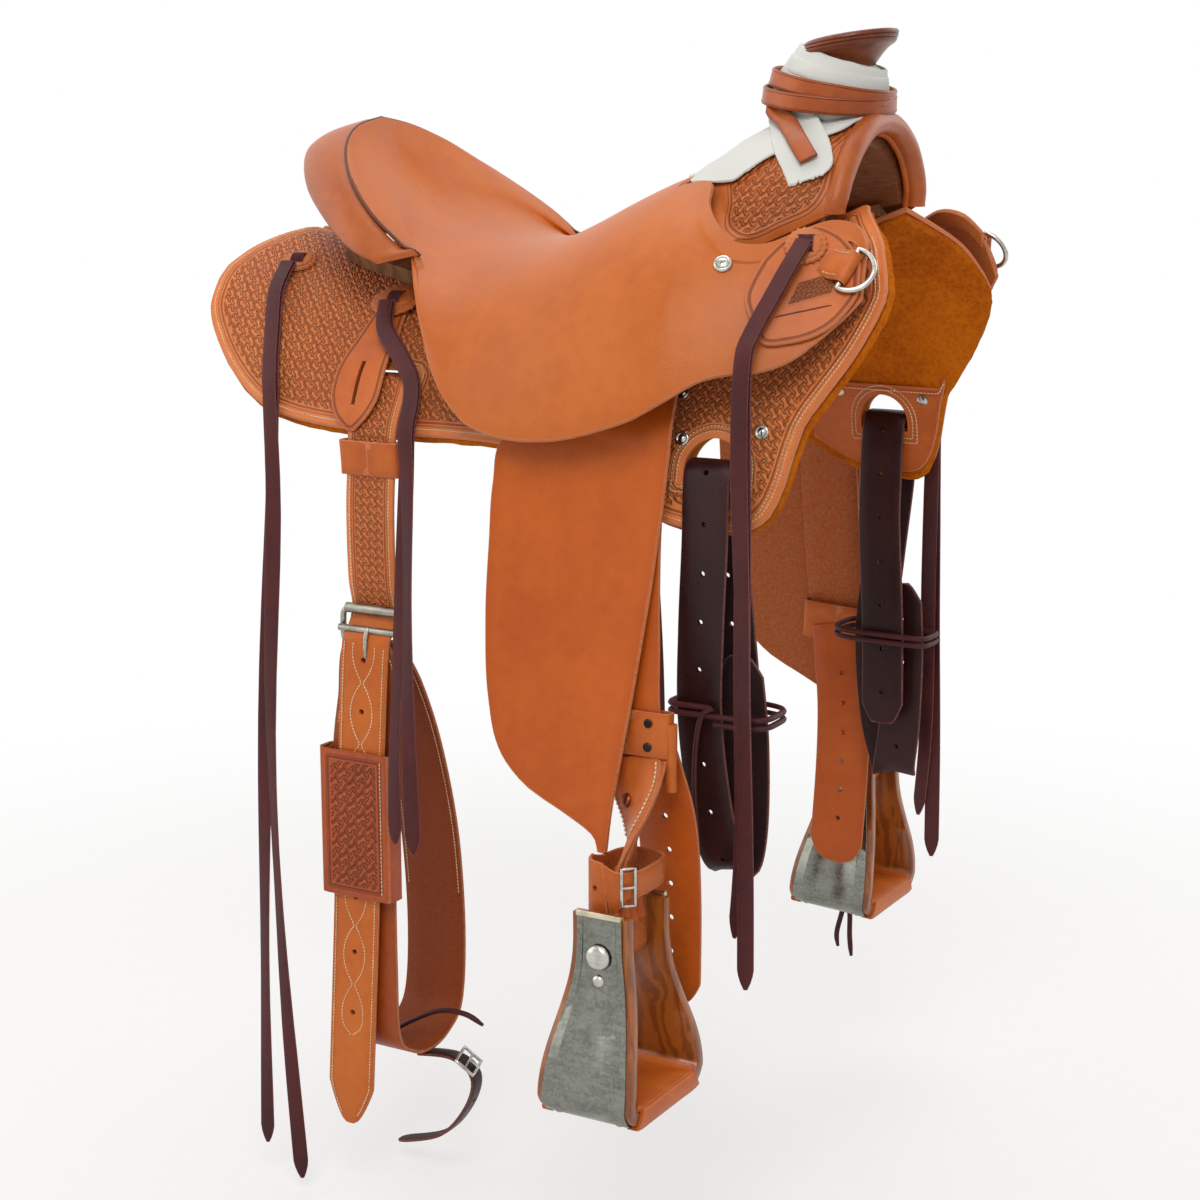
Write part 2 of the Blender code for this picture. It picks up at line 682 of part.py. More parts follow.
JOCKEY_EDGE = [(-0.083, 0.174, -0.006), (-0.062, 0.212, -0.038),
               (-0.034, 0.235, -0.071), (-0.008, 0.246, -0.094), (0.015, 0.251, -0.107),
               (0.052, 0.254, -0.114), (0.090, 0.255, -0.113), (0.125, 0.254, -0.106),
               (0.167, 0.252, -0.092)]
CANTLE_RIM = [(-0.250, 0.000, 0.157), (-0.246, 0.045, 0.150), (-0.232, 0.084, 0.135),
              (-0.212, 0.113, 0.115), (-0.185, 0.137, 0.093), (-0.154, 0.152, 0.069),
              (-0.126, 0.155, 0.048), (-0.105, 0.147, 0.028)]
DISH_STATION = 7
SEAM_STATIONS = 3
SEAM_TURN = 0.5
WING_TOP = [(0.172, 0.104), (0.190, 0.087), (0.209, 0.070), (0.230, 0.056), (0.255, 0.055),
            (0.278, 0.066), (0.300, 0.074), (0.322, 0.070), (0.336, 0.054)]
WING_LOW = [(0.188, -0.081), (0.207, -0.069), (0.226, -0.057), (0.246, -0.051), (0.272, -0.048),
            (0.296, -0.038), (0.316, -0.020), (0.332, -0.003), (0.343, 0.012)]
SEAT_ROWS = 8
WING_ROW = 2


def rim_point(tau, side=LEFT):
    """The seam at the top of the cantle, from the middle to its end."""
    points = spline(CANTLE_RIM, 57)
    k = min(int(tau * 56), 55)
    p = lerp(points[k], points[k + 1], tau * 56 - k)
    return Vector((p.x, side * p.y, p.z))


def edge_point(k):
    """Outer edge of the seat at a station: the seam's end first, then the jockey."""
    if k <= SEAM_STATIONS:
        return rim_point(lerp(SEAM_TURN, 1.0, k / SEAM_STATIONS))
    return Vector(JOCKEY_EDGE[k - SEAM_STATIONS - 1])


def saddle_shape(tau, crest, edge):
    """Section of the seat between its crest and the jockey's edge."""
    power = 2.0 / SEAT_SQUARENESS
    height = crest.z - BACK_AXIS_Z
    end = math.acos(max(0.0, (edge.z - BACK_AXIS_Z) / height) ** (1 / power))
    a = end * tau
    return Vector((crest.x + (edge.x - crest.x) * tau ** 2,
                   edge.y * (math.sin(a) / math.sin(end)) ** power,
                   BACK_AXIS_Z + height * math.cos(a) ** power))


def seat_point(k, tau):
    """The dish is a patch between the rim, its middle line, the edge and the first section."""
    def crest(i):
        return Vector((SEAT_CREST[i][0], 0, SEAT_CREST[i][1]))
    edge = edge_point(k)
    if k >= DISH_STATION:
        return saddle_shape(tau, crest(k), edge)
    s = k / DISH_STATION
    last = edge_point(DISH_STATION)
    across = lerp(rim_point(tau * SEAM_TURN), saddle_shape(tau, crest(DISH_STATION), last), s)
    along = lerp(crest(k), edge, tau)
    corners = lerp(lerp(crest(0), edge_point(0), tau), lerp(crest(DISH_STATION), last, tau), s)
    return across + along - corners


def seat_inside(tau):
    """A point of the seat a little inside its seam."""
    near = 1.0 - 1.0 / SEAT_ROWS
    if tau <= SEAM_TURN:
        return seat_point(1, tau / SEAM_TURN * near)
    s = (tau - SEAM_TURN) / (1.0 - SEAM_TURN) * SEAM_STATIONS
    k = int(s)
    return lerp(seat_point(k + 1, near), seat_point(k + 2, near), s - k)


def seat_station(k, side):
    """One half of a seat station, from the crest to the jockey's edge."""
    points = [seat_point(k, j / SEAT_ROWS) for j in range(SEAT_ROWS + 1)]
    return [Vector((p.x, side * p.y, p.z)) for p in points]


def make_seat():
    stations = len(JOCKEY_EDGE) + SEAM_STATIONS + 1
    columns = 2 * SEAT_ROWS + 1
    points = []
    for k in range(stations):
        right, left = seat_station(k, RIGHT), seat_station(k, LEFT)
        points += list(reversed(right)) + left[1:]
    faces = grid_faces(stations, columns)
    wing_rows = SEAT_ROWS - WING_ROW + 1
    for side in (RIGHT, LEFT):
        seam = []
        for j in range(WING_ROW, SEAT_ROWS + 1):
            seam.append((stations - 1) * columns + SEAT_ROWS + side * j)
        previous = seam
        for (top_x, top_z), (low_x, low_z) in zip(WING_TOP, WING_LOW):
            current = []
            for j in range(wing_rows):
                t = j / (wing_rows - 1)
                x, z = lerp(top_x, low_x, t), lerp(top_z, low_z, t)
                current.append(len(points))
                points.append(Vector((x, side * seat_side(x, z), z)))
            for j in range(wing_rows - 1):
                quad = (previous[j], previous[j + 1], current[j + 1], current[j])
                faces.append(quad if side == LEFT else tuple(reversed(quad)))
            previous = current
    verts, closed = thicken(points, faces, LEATHER_THICK)
    solid("seat_leather", verts, closed, leather("seat_leather"))


ROLL_OUTER = [(-0.318, 0.000, 0.131), (-0.311, 0.050, 0.124), (-0.272, 0.104, 0.094),
              (-0.218, 0.146, 0.062), (-0.170, 0.171, 0.038), (-0.134, 0.172, 0.024)]
ROLL_THICK = 0.020
ROLL_SETBACK = LEATHER_THICK + 0.0010
ROLL_REACH = 0.95


def roll_frame(tau, side):
    """Inner point behind the seat's edge, outer point and upward normal of the cantle roll."""
    inner = rim_point(tau, side)
    s = tau * (len(ROLL_OUTER) - 1)
    outer = spline(ROLL_OUTER, 41)[round(s * 40 / (len(ROLL_OUTER) - 1))]
    outer = Vector((outer.x, side * outer.y, outer.z))
    step = 0.03
    along = rim_point(min(1, tau + step), side) - rim_point(max(0, tau - step), side)
    if tau < step:
        along = Vector((0, side, 0))
    up = along.cross(outer - inner).normalized()
    inside = seat_inside(tau)
    back = along.cross(Vector((inside.x, side * inside.y, inside.z)) - inner).normalized() * side
    return inner + back * ROLL_SETBACK, outer, up if up.z > 0 else -up


def make_cantle():
    section = ((0.0, 0.0), (0.25, 0.28), (0.60, 0.32), (0.88, 0.12), (1.0, -0.22),
               (0.96, -0.52), (0.80, -0.66), (0.60, -0.52), (0.36, -0.20))
    rings = []
    half = 12
    for k in range(-half, half + 1):
        tau = abs(k) / half * ROLL_REACH
        side = RIGHT if k < 0 else LEFT
        inner, outer, up = roll_frame(tau, side)
        out = outer - inner
        thick = ROLL_THICK * (1 - 0.60 * tau)
        rings.append([inner + out * a + up * thick * b for a, b in section])
    solid("cheyenne_roll", *loft(rings), leather("cheyenne_roll"))

    rings = []
    for k in range(-8, 9):
        tau = abs(k) / 8 * 0.42
        side = RIGHT if k < 0 else LEFT
        inner, outer, up = roll_frame(tau, side)
        out = (outer - inner).normalized()
        front = inner + out * 0.014 - up * (ROLL_THICK * 0.9)
        back = front + out * 0.020
        ring = [front, back]
        for x in (back.x + 0.026, front.x + 0.030):
            y = back.y * 0.80
            height, half_width = back_height(x) + BAR_TOP, back_half_width(x) + BAR_TOP
            z = BACK_AXIS_Z + height * math.sqrt(1 - (y / half_width) ** 2)
            ring.append(Vector((x, y, z - 2.4 * CLEARANCE)))
        rings.append(ring)
    solid("cantle", *loft(rings), leather("cantle"))


# Rosettes, dee flaps, leaf dangles and dees.

def normal_at(place, side, x, z):
    step = 0.003
    a, b, c = place(x, z, side), place(x + step, z, side), place(x, z + step, side)
    n = (b - a).cross(c - a).normalized()
    return n if n.y * side > 0 else -n


FRONT_ROSETTE = (0.288, 0.050)
INNER_ROSETTE = (-0.150, -0.012)
OUTER_ROSETTE = (-0.290, 0.018)
FLAP_THICK = 0.0035
FLAP_GAP = 0.0014
FLAP_FACE = FLAP_GAP + FLAP_THICK
FLAP_OUTLINE = [(0.262, 0.036), (0.262, 0.006), (0.270, -0.018), (0.288, -0.024), (0.306, -0.018),
                (0.322, -0.006), (0.335, 0.010), (0.336, 0.024), (0.333, 0.042), (0.320, 0.054),
                (0.306, 0.062), (0.288, 0.066), (0.270, 0.056)]
FLAP_HUB = (0.298, 0.020)
DEE_POINT = (0.328, 0.032)
DEE_AXIS = (0.30, 0.95)


def make_rosette(name, place, spot, radius, side, proud):
    x, z = spot
    n = normal_at(place, side, x, z)
    rings = turned(((radius, 0.0), (radius, ROSETTE_THICK * 0.5), (radius * 0.8, ROSETTE_THICK),
                    (radius * 0.3, ROSETTE_THICK)), place(x, z, side, proud), n, 16)
    solid(name, *loft(rings), leather(name))


def dee_frame(side):
    """Middle of the dee's straight bar, the bar's direction, the way it hangs and the normal."""
    x, z = DEE_POINT
    n = normal_at(on_seat, side, x, z)
    ahead = on_seat(x + DEE_AXIS[0] * 0.01, z + DEE_AXIS[1] * 0.01, side) - on_seat(x, z, side)
    axis = (ahead - n * ahead.dot(n)).normalized()
    hang = axis.cross(n).normalized()
    hang = hang if hang.x > 0 else -hang
    return on_seat(x, z, side, FLAP_FACE + DEE_WIRE + CLEARANCE), axis, hang, n


def make_flap(side, tag):
    """Small flap over the front jockey, with the chape that holds the dee."""
    count = len(FLAP_OUTLINE)
    points = [on_seat(*FLAP_HUB, side, FLAP_FACE)]
    for t in (0.3, 0.6, 0.82, 1.0):
        points += [on_seat(lerp(FLAP_HUB[0], x, t), lerp(FLAP_HUB[1], z, t), side, FLAP_FACE)
                   for x, z in FLAP_OUTLINE]
    faces = [(0, 1 + (i + 1) % count, 1 + i) for i in range(count)]
    for r in range(3):
        a = 1 + r * count
        faces += [(a + i, a + (i + 1) % count, a + count + (i + 1) % count, a + count + i)
                  for i in range(count)]
    flap = solid("dee_flap_" + tag, *thicken(points, faces, FLAP_THICK), leather("dee_flap_" + tag))
    centre, axis, hang, n = dee_frame(side)
    hole = 2 * (DEE_WIRE + CLEARANCE)
    shape = band_shape(centre - hang * 0.004, hang, n, axis, hole + 0.010, hole, 0.0030, 0.016)
    boolean(flap, cutter("chape_" + tag, *shape), "UNION")


def make_dee(side, tag):
    """Wire dee that hangs from the chape on its flap."""
    centre, axis, hang, n = dee_frame(side)
    path = []
    for k in range(20):
        a = 2 * math.pi * k / 20
        reach = max(math.cos(a), -0.15) + 0.15
        path.append(centre + hang * reach * DEE_RADIUS + axis * math.sin(a) * DEE_RADIUS)
    dee = solid("dee_" + tag, *loft(wire_rings(path, DEE_WIRE, 6, True, n), closed=True),
                metal("dee_" + tag))
    set_origin(dee, centre)


LEAF_DRIFT = 0.06
LEAF_LIFT = 0.0044


def make_leaf(side, tag):
    """Leaf shaped dangle with a slot, hanging from the inner rosette."""
    half = [(0.012, 0.011), (0.002, 0.014), (-0.014, 0.017), (-0.032, 0.021), (-0.050, 0.024),
            (-0.066, 0.026), (-0.084, 0.025), (-0.100, 0.017), (-0.113, 0.004)]
    top_x, top_z = INNER_ROSETTE
    rows = []
    for drop, width in half:
        x, z = top_x + LEAF_DRIFT * -drop, top_z + drop
        lift = LEAF_LIFT + 0.0074 * smooth((-drop - 0.03) / 0.03)
        row = []
        for t in (-1, -0.45, 0.0, 0.45, 1):
            p = on_skirt(x + t * width, max(z, -0.116), side, lift)
            row.append(Vector((p.x, p.y, z)))
        rows.append(row)
    leaf = sheet("leaf_" + tag, rows, 0.0030, leather("leaf_" + tag))
    x = top_x + LEAF_DRIFT * 0.072
    slot = [(x - 0.003, -0.064), (x + 0.001, -0.064), (x + 0.004, -0.102), (x, -0.102)]
    boolean(leaf, slot_cutter("leaf_slot_" + tag, slot, side))


STRING_OUTER_TIPS = {RIGHT: (-0.850, -0.876), LEFT: (-0.430, -0.450)}
INNER_PROUD = LEAF_LIFT + 2 * CLEARANCE
OUTER_PROUD = CLEARANCE


# Saddle strings: each lace is folded over its rosette and hangs in two tails.

def hanging_lace(name, side, inner_tail, outer_tail):
    """One flat lace: up the inner tail, over the fold and down the outer tail."""
    fold_radius = (LACE_THICK + LACE_GAP) / 2
    out = Vector((0, side, 0))
    inner, outer = spline(inner_tail, 17), spline(outer_tail, 17)
    middle = inner[0] + out * fold_radius
    fold = [middle + Vector((0, 0, math.sin(a))) * fold_radius - out * math.cos(a) * fold_radius
            for a in (math.pi * k / 4 for k in (1, 2, 3))]
    strap(name, list(reversed(inner)) + fold + outer, LACE_WIDTH, LACE_THICK,
          leather(name, DARK_LEATHER, 0.5))


def lace_tails(side, place, lead, proud, inner_hang, outer_hang):
    """Both tails of a lace: the same lead over the leather, then each hangs in its own way."""
    step = Vector((0, side * (LACE_THICK + LACE_GAP), 0))
    first = [place(x, z, side, proud + extra) for x, z, extra in lead]
    inner = first + [Vector((x, side * y, z)) for x, y, z in inner_hang]
    outer = [p + step for p in first] + [Vector((x, side * y, z)) for x, y, z in outer_hang]
    return inner, outer


def make_strings(side, tag):
    face = FLAP_FACE + CLEARANCE + ROSETTE_THICK + LACE_THICK
    lead = [(0.288, 0.050, 0.0), (0.282, 0.030, 0.001), (0.274, 0.006, -0.001),
            (0.265, -0.020, -0.002), (0.262, -0.044, -0.003)]
    inner, outer = lace_tails(side, on_seat, lead, face + 0.0015,
                              [(0.262, 0.2125, -0.130), (0.262, 0.2105, -0.300),
                               (0.264, 0.2105, -0.450), (0.258, 0.2105, -0.548)],
                              [(0.260, 0.2173, -0.130), (0.266, 0.2155, -0.300),
                               (0.270, 0.2155, -0.450), (0.272, 0.2155, -0.592)])
    hanging_lace("string_front_" + tag, side, inner, outer)

    face = INNER_PROUD + ROSETTE_THICK + LACE_THICK
    lead = [(-0.150, -0.012, 0.002), (-0.136, -0.034, 0.002), (-0.110, -0.056, -0.001),
            (-0.0875, -0.078, -0.003), (-0.081, -0.100, -0.004), (-0.079, -0.122, -0.003)]
    inner, outer = lace_tails(side, on_skirt, lead, face,
                              [(-0.079, 0.2190, -0.180), (-0.081, 0.2300, -0.310),
                               (-0.086, 0.2345, -0.420), (-0.087, 0.2345, -0.511)],
                              [(-0.074, 0.2240, -0.180), (-0.069, 0.2350, -0.310),
                               (-0.066, 0.2395, -0.420), (-0.063, 0.2395, -0.516)])
    hanging_lace("string_inner_" + tag, side, inner, outer)

    face = OUTER_PROUD + ROSETTE_THICK + LACE_THICK
    short, long = STRING_OUTER_TIPS[side]
    lead = [(-0.290, 0.018, 0.001), (-0.281, -0.006, 0.001), (-0.266, -0.040, -0.003),
            (-0.252, -0.074, -0.003), (-0.241, -0.104, -0.003)]
    inner, outer = lace_tails(side, on_skirt, lead, face,
                              [(-0.234, 0.2190, 0.24 * short), (-0.238, 0.2330, 0.48 * short),
                               (-0.246, 0.2345, 0.75 * short), (-0.250, 0.2345, short)],
                              [(-0.228, 0.2240, 0.24 * long), (-0.228, 0.2380, 0.48 * long),
                               (-0.220, 0.2395, 0.75 * long), (-0.204, 0.2395, long)])
    hanging_lace("string_outer_" + tag, side, inner, outer)


# Latigos over the rigging bars, and the laces that tie them.

def make_latigo(side, tag):
    """One strap over the rigging bar, its outer tail doubled up in a long bight."""
    y_bar = on_skirt(RIG_SLOT_X, RIG_BAR_Z, side).y * side
    path = [(0.238, y_bar - 0.0430, -0.440), (0.234, y_bar - 0.0390, -0.340),
            (0.226, y_bar - 0.0340, -0.240), (RIG_SLOT_X, y_bar - 0.0290, -0.195),
            (RIG_SLOT_X, y_bar - 0.0275, -0.160), (RIG_SLOT_X, y_bar - 0.0220, -0.1355),
            (RIG_SLOT_X, y_bar - 0.0085, -0.1295), (RIG_SLOT_X, y_bar + 0.0045, -0.1355),
            (RIG_SLOT_X, y_bar + 0.0078, -0.160), (0.223, y_bar + 0.0070, -0.200),
            (0.217, y_bar + 0.0010, -0.280), (0.213, y_bar - 0.0070, -0.360),
            (0.222, y_bar - 0.0110, -0.440), (0.234, y_bar - 0.0125, -0.482),
            (0.242, y_bar - 0.0190, -0.494), (0.246, y_bar - 0.0265, -0.482),
            (0.250, y_bar - 0.0265, -0.440), (0.250, y_bar - 0.0235, -0.370),
            (0.244, y_bar - 0.0190, -0.300)]
    points = spline([(x, side * y, z) for x, y, z in path], 55)
    strap("latigo_" + tag, points, LATIGO_WIDTH, STRAP_THICK,
          leather("latigo_" + tag, DARK_LEATHER, 0.4))


# Stirrup leathers, fenders and stirrups.

FENDER_REAR = [(0.085, -24.0), (0.115, -27.0), (0.145, -31.0), (0.178, -37.5), (0.195, -43.5),
               (0.226, -38.3), (0.269, -31.3), (0.327, -24.8), (0.388, -19.2), (0.425, -15.3),
               (0.445, -10.8), (0.457, -5.5), (0.468, -2.0), (0.478, -0.5)]
FENDER_FRONT = [(0.085, 17.5), (0.142, 11.0), (0.200, 7.2), (0.258, 4.8), (0.309, 3.2),
                (0.369, 1.8), (0.411, 1.0), (0.445, 0.5), (0.478, 0.1)]
FENDER_ROWS = (0.085, 0.112, 0.145, 0.178, 0.195, 0.226, 0.269, 0.310, 0.350, 0.388, 0.425,
               0.445, 0.457, 0.468, 0.478)
FENDER_COLUMNS = 7
FENDER_THICK = 0.0042


def lean(points, side):
    """Turn points of a leg about its pivot by the angle that it hangs at."""
    turn = Matrix.Rotation(math.radians(LEG_LEAN[side]), 3, "Y")
    pivot = Vector((LEG_PIVOT_X, 0, LEG_PIVOT_Z))
    return [turn.transposed() @ (p - pivot) + pivot for p in points]


def leg_pivot(side):
    return Vector((LEG_PIVOT_X, side * LEG_INNER_Y, LEG_PIVOT_Z))


def leg_piece(name, verts, faces, mat, side, origin=None):
    obj = solid(name, lean([Vector(v) for v in verts], side), faces, mat)
    return set_origin(obj, lean([origin or leg_pivot(side)], side)[0])


def leg_cutter(name, verts, faces, side):
    return cutter(name, lean([Vector(v) for v in verts], side), faces)


def make_fender(side, tag):
    outer, inner = [], []
    for r in FENDER_ROWS:
        rear, front = read_off(FENDER_REAR, r), read_off(FENDER_FRONT, r)
        for j in range(FENDER_COLUMNS):
            a = math.radians(lerp(rear, front, j / (FENDER_COLUMNS - 1)))
            x, z = LEG_PIVOT_X + r * math.sin(a), LEG_PIVOT_Z - r * math.cos(a)
            outer.append(Vector((x, side * leg_y(r), z)))
            inner.append(Vector((x, side * (leg_y(r) - FENDER_THICK), z)))
    faces = grid_faces(len(FENDER_ROWS), FENDER_COLUMNS)
    verts, closed = close_pair(outer, inner, faces)
    leg_piece("fender_" + tag, verts, closed, leather("fender_" + tag, (0.56, 0.19, 0.05)), side)


def leather_inset(r):
    """How far the middle of the stirrup leather lies inside the fender's face."""
    return FENDER_THICK + LEG_SLACK + STRAP_THICK / 2 + 0.006 * smooth((r - 0.20) / 0.15)


def make_stirrup_leather(side, tag):
    tab_z = LEG_PIVOT_Z + BAR_BOSS_RADIUS + CLEARANCE + STRAP_THICK / 2
    ride = leg_y(0) - leather_inset(0)
    rows = [((0.160, 0.126, tab_z), 0), ((0.160, ride - 0.009, tab_z), 0),
            ((0.160, ride, tab_z - 0.004), 0), ((0.160, ride + 0.004, 0.018), 0)]
    for x, z in ((0.160, -0.004), (0.159, -0.030), (0.158, -0.055), (0.157, -0.080),
                 (0.156, -0.110), (0.156, -0.145), (0.157, -0.190), (0.160, -0.240),
                 (0.164, -0.290), (0.169, -0.340)):
        r = math.hypot(x - LEG_PIVOT_X, z - LEG_PIVOT_Z)
        rows.append(((x, leg_y(r) - leather_inset(r), z), 0))
    rows += [((0.177, 0.2460, -0.385), 0), ((0.184, 0.2540, -0.408), 20),
             ((0.189, 0.2640, -0.430), 42), ((0.191, 0.2750, -0.452), 64),
             ((0.193, 0.2850, -0.474), 82), ((0.196, 0.2938, -0.494), 89)]
    wrap = BOLT_SLEEVE_RADIUS + CLEARANCE + STRAP_THICK / 2
    rows.append(((STIRRUP_X + wrap * 0.8, STIRRUP_Y, STIRRUP_BOLT_Z + 0.022), 90))
    for k in range(9):
        a = math.radians(10 - 200 * k / 8)
        rows.append(((STIRRUP_X + wrap * math.cos(a), STIRRUP_Y,
                      STIRRUP_BOLT_Z + wrap * math.sin(a)), 90))
    path = [Vector((x, side * y, z)) for (x, y, z), _ in rows]
    widths = []
    for _, turn in rows:
        a = math.radians(turn)
        shrink = 1.0 - 0.25 * smooth(turn / 90)
        widths.append(Vector((math.cos(a), side * math.sin(a), 0)) * LEG_WIDTH * shrink)
    verts, faces = loft(strap_rings(path, widths, STRAP_THICK))
    leg_piece("stirrup_leather_" + tag, verts, faces, leather("stirrup_leather_" + tag), side)


def make_leather_sleeve(side, tag):
    """Collar that holds the plies of the stirrup leather, with the spare tail below it."""
    centre = Vector((0.1730, side * 0.2437, -0.3625))
    verts, faces = band_shape(centre, (1, 0, 0), (0, side, 0.06), (0, -side * 0.06, 1),
                              LEG_WIDTH + 0.008, STRAP_THICK + 0.0050, 0.0022, 0.036)
    collar = leg_piece("leather_sleeve_" + tag, verts, faces, leather("leather_sleeve_" + tag), side)
    path = [(0.176, 0.2360, -0.362), (0.186, 0.2280, -0.400), (0.196, 0.2210, -0.450),
            (0.200, 0.2195, -0.520), (0.200, 0.2195, -0.616)]
    points = spline([(x, side * y, z) for x, y, z in path], 11)
    widths = [Vector((LEG_WIDTH * 0.94, 0, 0)) for _ in points]
    tail = loft(strap_rings(points, widths, STRAP_THICK * 0.8))
    boolean(collar, leg_cutter("leather_tail_" + tag, *tail, side), "UNION")


def make_hobble(side, tag):
    """Strap buckled round the twisted leather above the stirrup."""
    verts, faces = band_shape((0.1900, side * 0.2824, -0.4780), (1, 0, 0), (0, side, 0), (0, 0, 1),
                              0.044, 0.0692, 0.0032, 0.026)
    leg_piece("hobble_" + tag, verts, faces, leather("hobble_" + tag), side)


def stirrup_profile(inset):
    """Inner or outer line of the stirrup from the inboard top round to the outboard top."""
    neck, foot = STIRRUP_NECK_HALF - inset, STIRRUP_FOOT_HALF - inset
    floor = STIRRUP_TREAD_Z + inset
    corner = 0.020 - inset * 0.6
    half = [(neck, STIRRUP_TOP_Z), (neck + 0.0004, STIRRUP_TOP_Z - 0.052),
            (lerp(neck, foot, 0.28), STIRRUP_TOP_Z - 0.085),
            (lerp(neck, foot, 0.78), STIRRUP_TOP_Z - 0.125),
            (foot, floor + corner)]
    half += [(foot - corner * (1 - math.cos(a)), floor + corner * (1 - math.sin(a)))
             for a in (math.radians(d) for d in (30, 60, 90))]
    half += [(foot * 0.35, floor)]
    return half + [(-y, z) for y, z in reversed(half)]


def stirrup_depth(z):
    t = smooth((STIRRUP_TOP_Z - z - 0.02) / (STIRRUP_TOP_Z - STIRRUP_TREAD_Z - 0.04))
    return lerp(STIRRUP_TOP_DEPTH, STIRRUP_TREAD_DEPTH, t)


def stirrup_band(name, near, far, trim, mat, side, part=None):
    """A band of the stirrup between two insets, as wide as its depth less a trim."""
    outer, inner = stirrup_profile(near), stirrup_profile(far)
    if part:
        outer, inner = outer[part:-part], inner[part:-part]
    rings = []
    for (y0, z0), (y1, z1) in zip(outer, inner):
        half = stirrup_depth(z0) / 2 - trim
        rings.append([Vector((STIRRUP_X - half, side * (STIRRUP_Y - y0), z0)),
                      Vector((STIRRUP_X + half, side * (STIRRUP_Y - y0), z0)),
                      Vector((STIRRUP_X + half, side * (STIRRUP_Y - y1), z1)),
                      Vector((STIRRUP_X - half, side * (STIRRUP_Y - y1), z1))])
    verts, faces = loft(rings)
    origin = Vector((STIRRUP_X, side * STIRRUP_Y, STIRRUP_BOLT_Z))
    return leg_piece(name, verts, faces, mat, side, origin)


def make_stirrup(side, tag):
    wood = stirrup_band("stirrup_frame_" + tag, 0.0, STIRRUP_WOOD, 0.0,
                        material("stirrup_frame_finish_" + tag, WOOD, 0.35), side)
    skin = stirrup_band("stirrup_binding_" + tag, -CLEARANCE - STIRRUP_METAL, -CLEARANCE, 0.005,
                        metal("stirrup_binding_" + tag), side)
    inset = STIRRUP_WOOD + CLEARANCE
    stirrup_band("stirrup_tread_" + tag, inset, inset + TREAD_THICK, 0.002,
                 leather("stirrup_tread_" + tag), side, part=4)
    axis = Vector((0, side, 0))
    centre = Vector((STIRRUP_X, side * STIRRUP_Y, STIRRUP_BOLT_Z))
    hole = STIRRUP_NECK_HALF + 0.02
    rings = turned(((BOLT_RADIUS + CLEARANCE, -hole), (BOLT_RADIUS + CLEARANCE, hole)),
                   centre, axis, 12)
    tool = leg_cutter("bolt_hole_" + tag, *loft(rings), side)
    boolean(wood, tool)
    boolean(skin, tool)
    reach = STIRRUP_NECK_HALF + STIRRUP_METAL + 2 * CLEARANCE + 0.0006
    sleeve = STIRRUP_NECK_HALF - STIRRUP_WOOD - CLEARANCE
    half = [(BOLT_HEAD_RADIUS * 0.55, reach + BOLT_HEAD_HEIGHT), (BOLT_HEAD_RADIUS, reach + 0.0015),
            (BOLT_HEAD_RADIUS, reach), (BOLT_RADIUS, reach), (BOLT_RADIUS, sleeve),
            (BOLT_SLEEVE_RADIUS, sleeve)]
    profile = [(r, -h) for r, h in half] + [(r, h) for r, h in reversed(half)]
    verts, faces = loft(turned(profile, centre, axis, 12))
    leg_piece("stirrup_bolt_" + tag, verts, faces, metal("stirrup_bolt_" + tag), side, centre)


# Flank rigging.

def make_billet(side, tag, lower, narrow):
    """Flank billet: through the slot in the skirt, then down outside it along a lower path."""
    y_out = abs(on_skirt(FLANK_X, FLANK_SLOT_Z, side).y)
    path = [(FLANK_X, y_out - 0.030, FLANK_SLOT_Z - 0.030),
            (FLANK_X, y_out - 0.026, FLANK_SLOT_Z - 0.010),
            (FLANK_X, y_out - 0.018, FLANK_SLOT_Z - 0.0005),
            (FLANK_X, y_out - 0.006, FLANK_SLOT_Z + 0.0005),
            (FLANK_X, y_out + 0.0055, FLANK_SLOT_Z - 0.003),
            (FLANK_X, y_out + 0.0130, FLANK_SLOT_Z - 0.016), (FLANK_X, 0.2082, -0.122),
            (FLANK_X, 0.2115, -0.155), (FLANK_X, FLANK_STRAP_Y, -0.200)] + lower
    points = spline([(x, side * y, z) for x, y, z in path], 3 * len(path))
    full = FLANK_WIDTH * 0.96
    widths = [Vector((full * (narrow ** smooth((k - len(points) + 4) / 3)), 0, 0))
              for k in range(len(points))]
    billet = solid("flank_billet_" + tag, *loft(strap_rings(points, widths, STRAP_THICK)),
                   leather("flank_billet_" + tag, TOOLED_LEATHER))
    return set_origin(billet, flank_hinge(side))


def flank_hinge(side):
    """Where the billet bears in its slot; the whole flank rig swings here."""
    return Vector((FLANK_X, side * (abs(on_skirt(FLANK_X, FLANK_SLOT_Z, side).y) - 0.008),
                   FLANK_SLOT_Z))


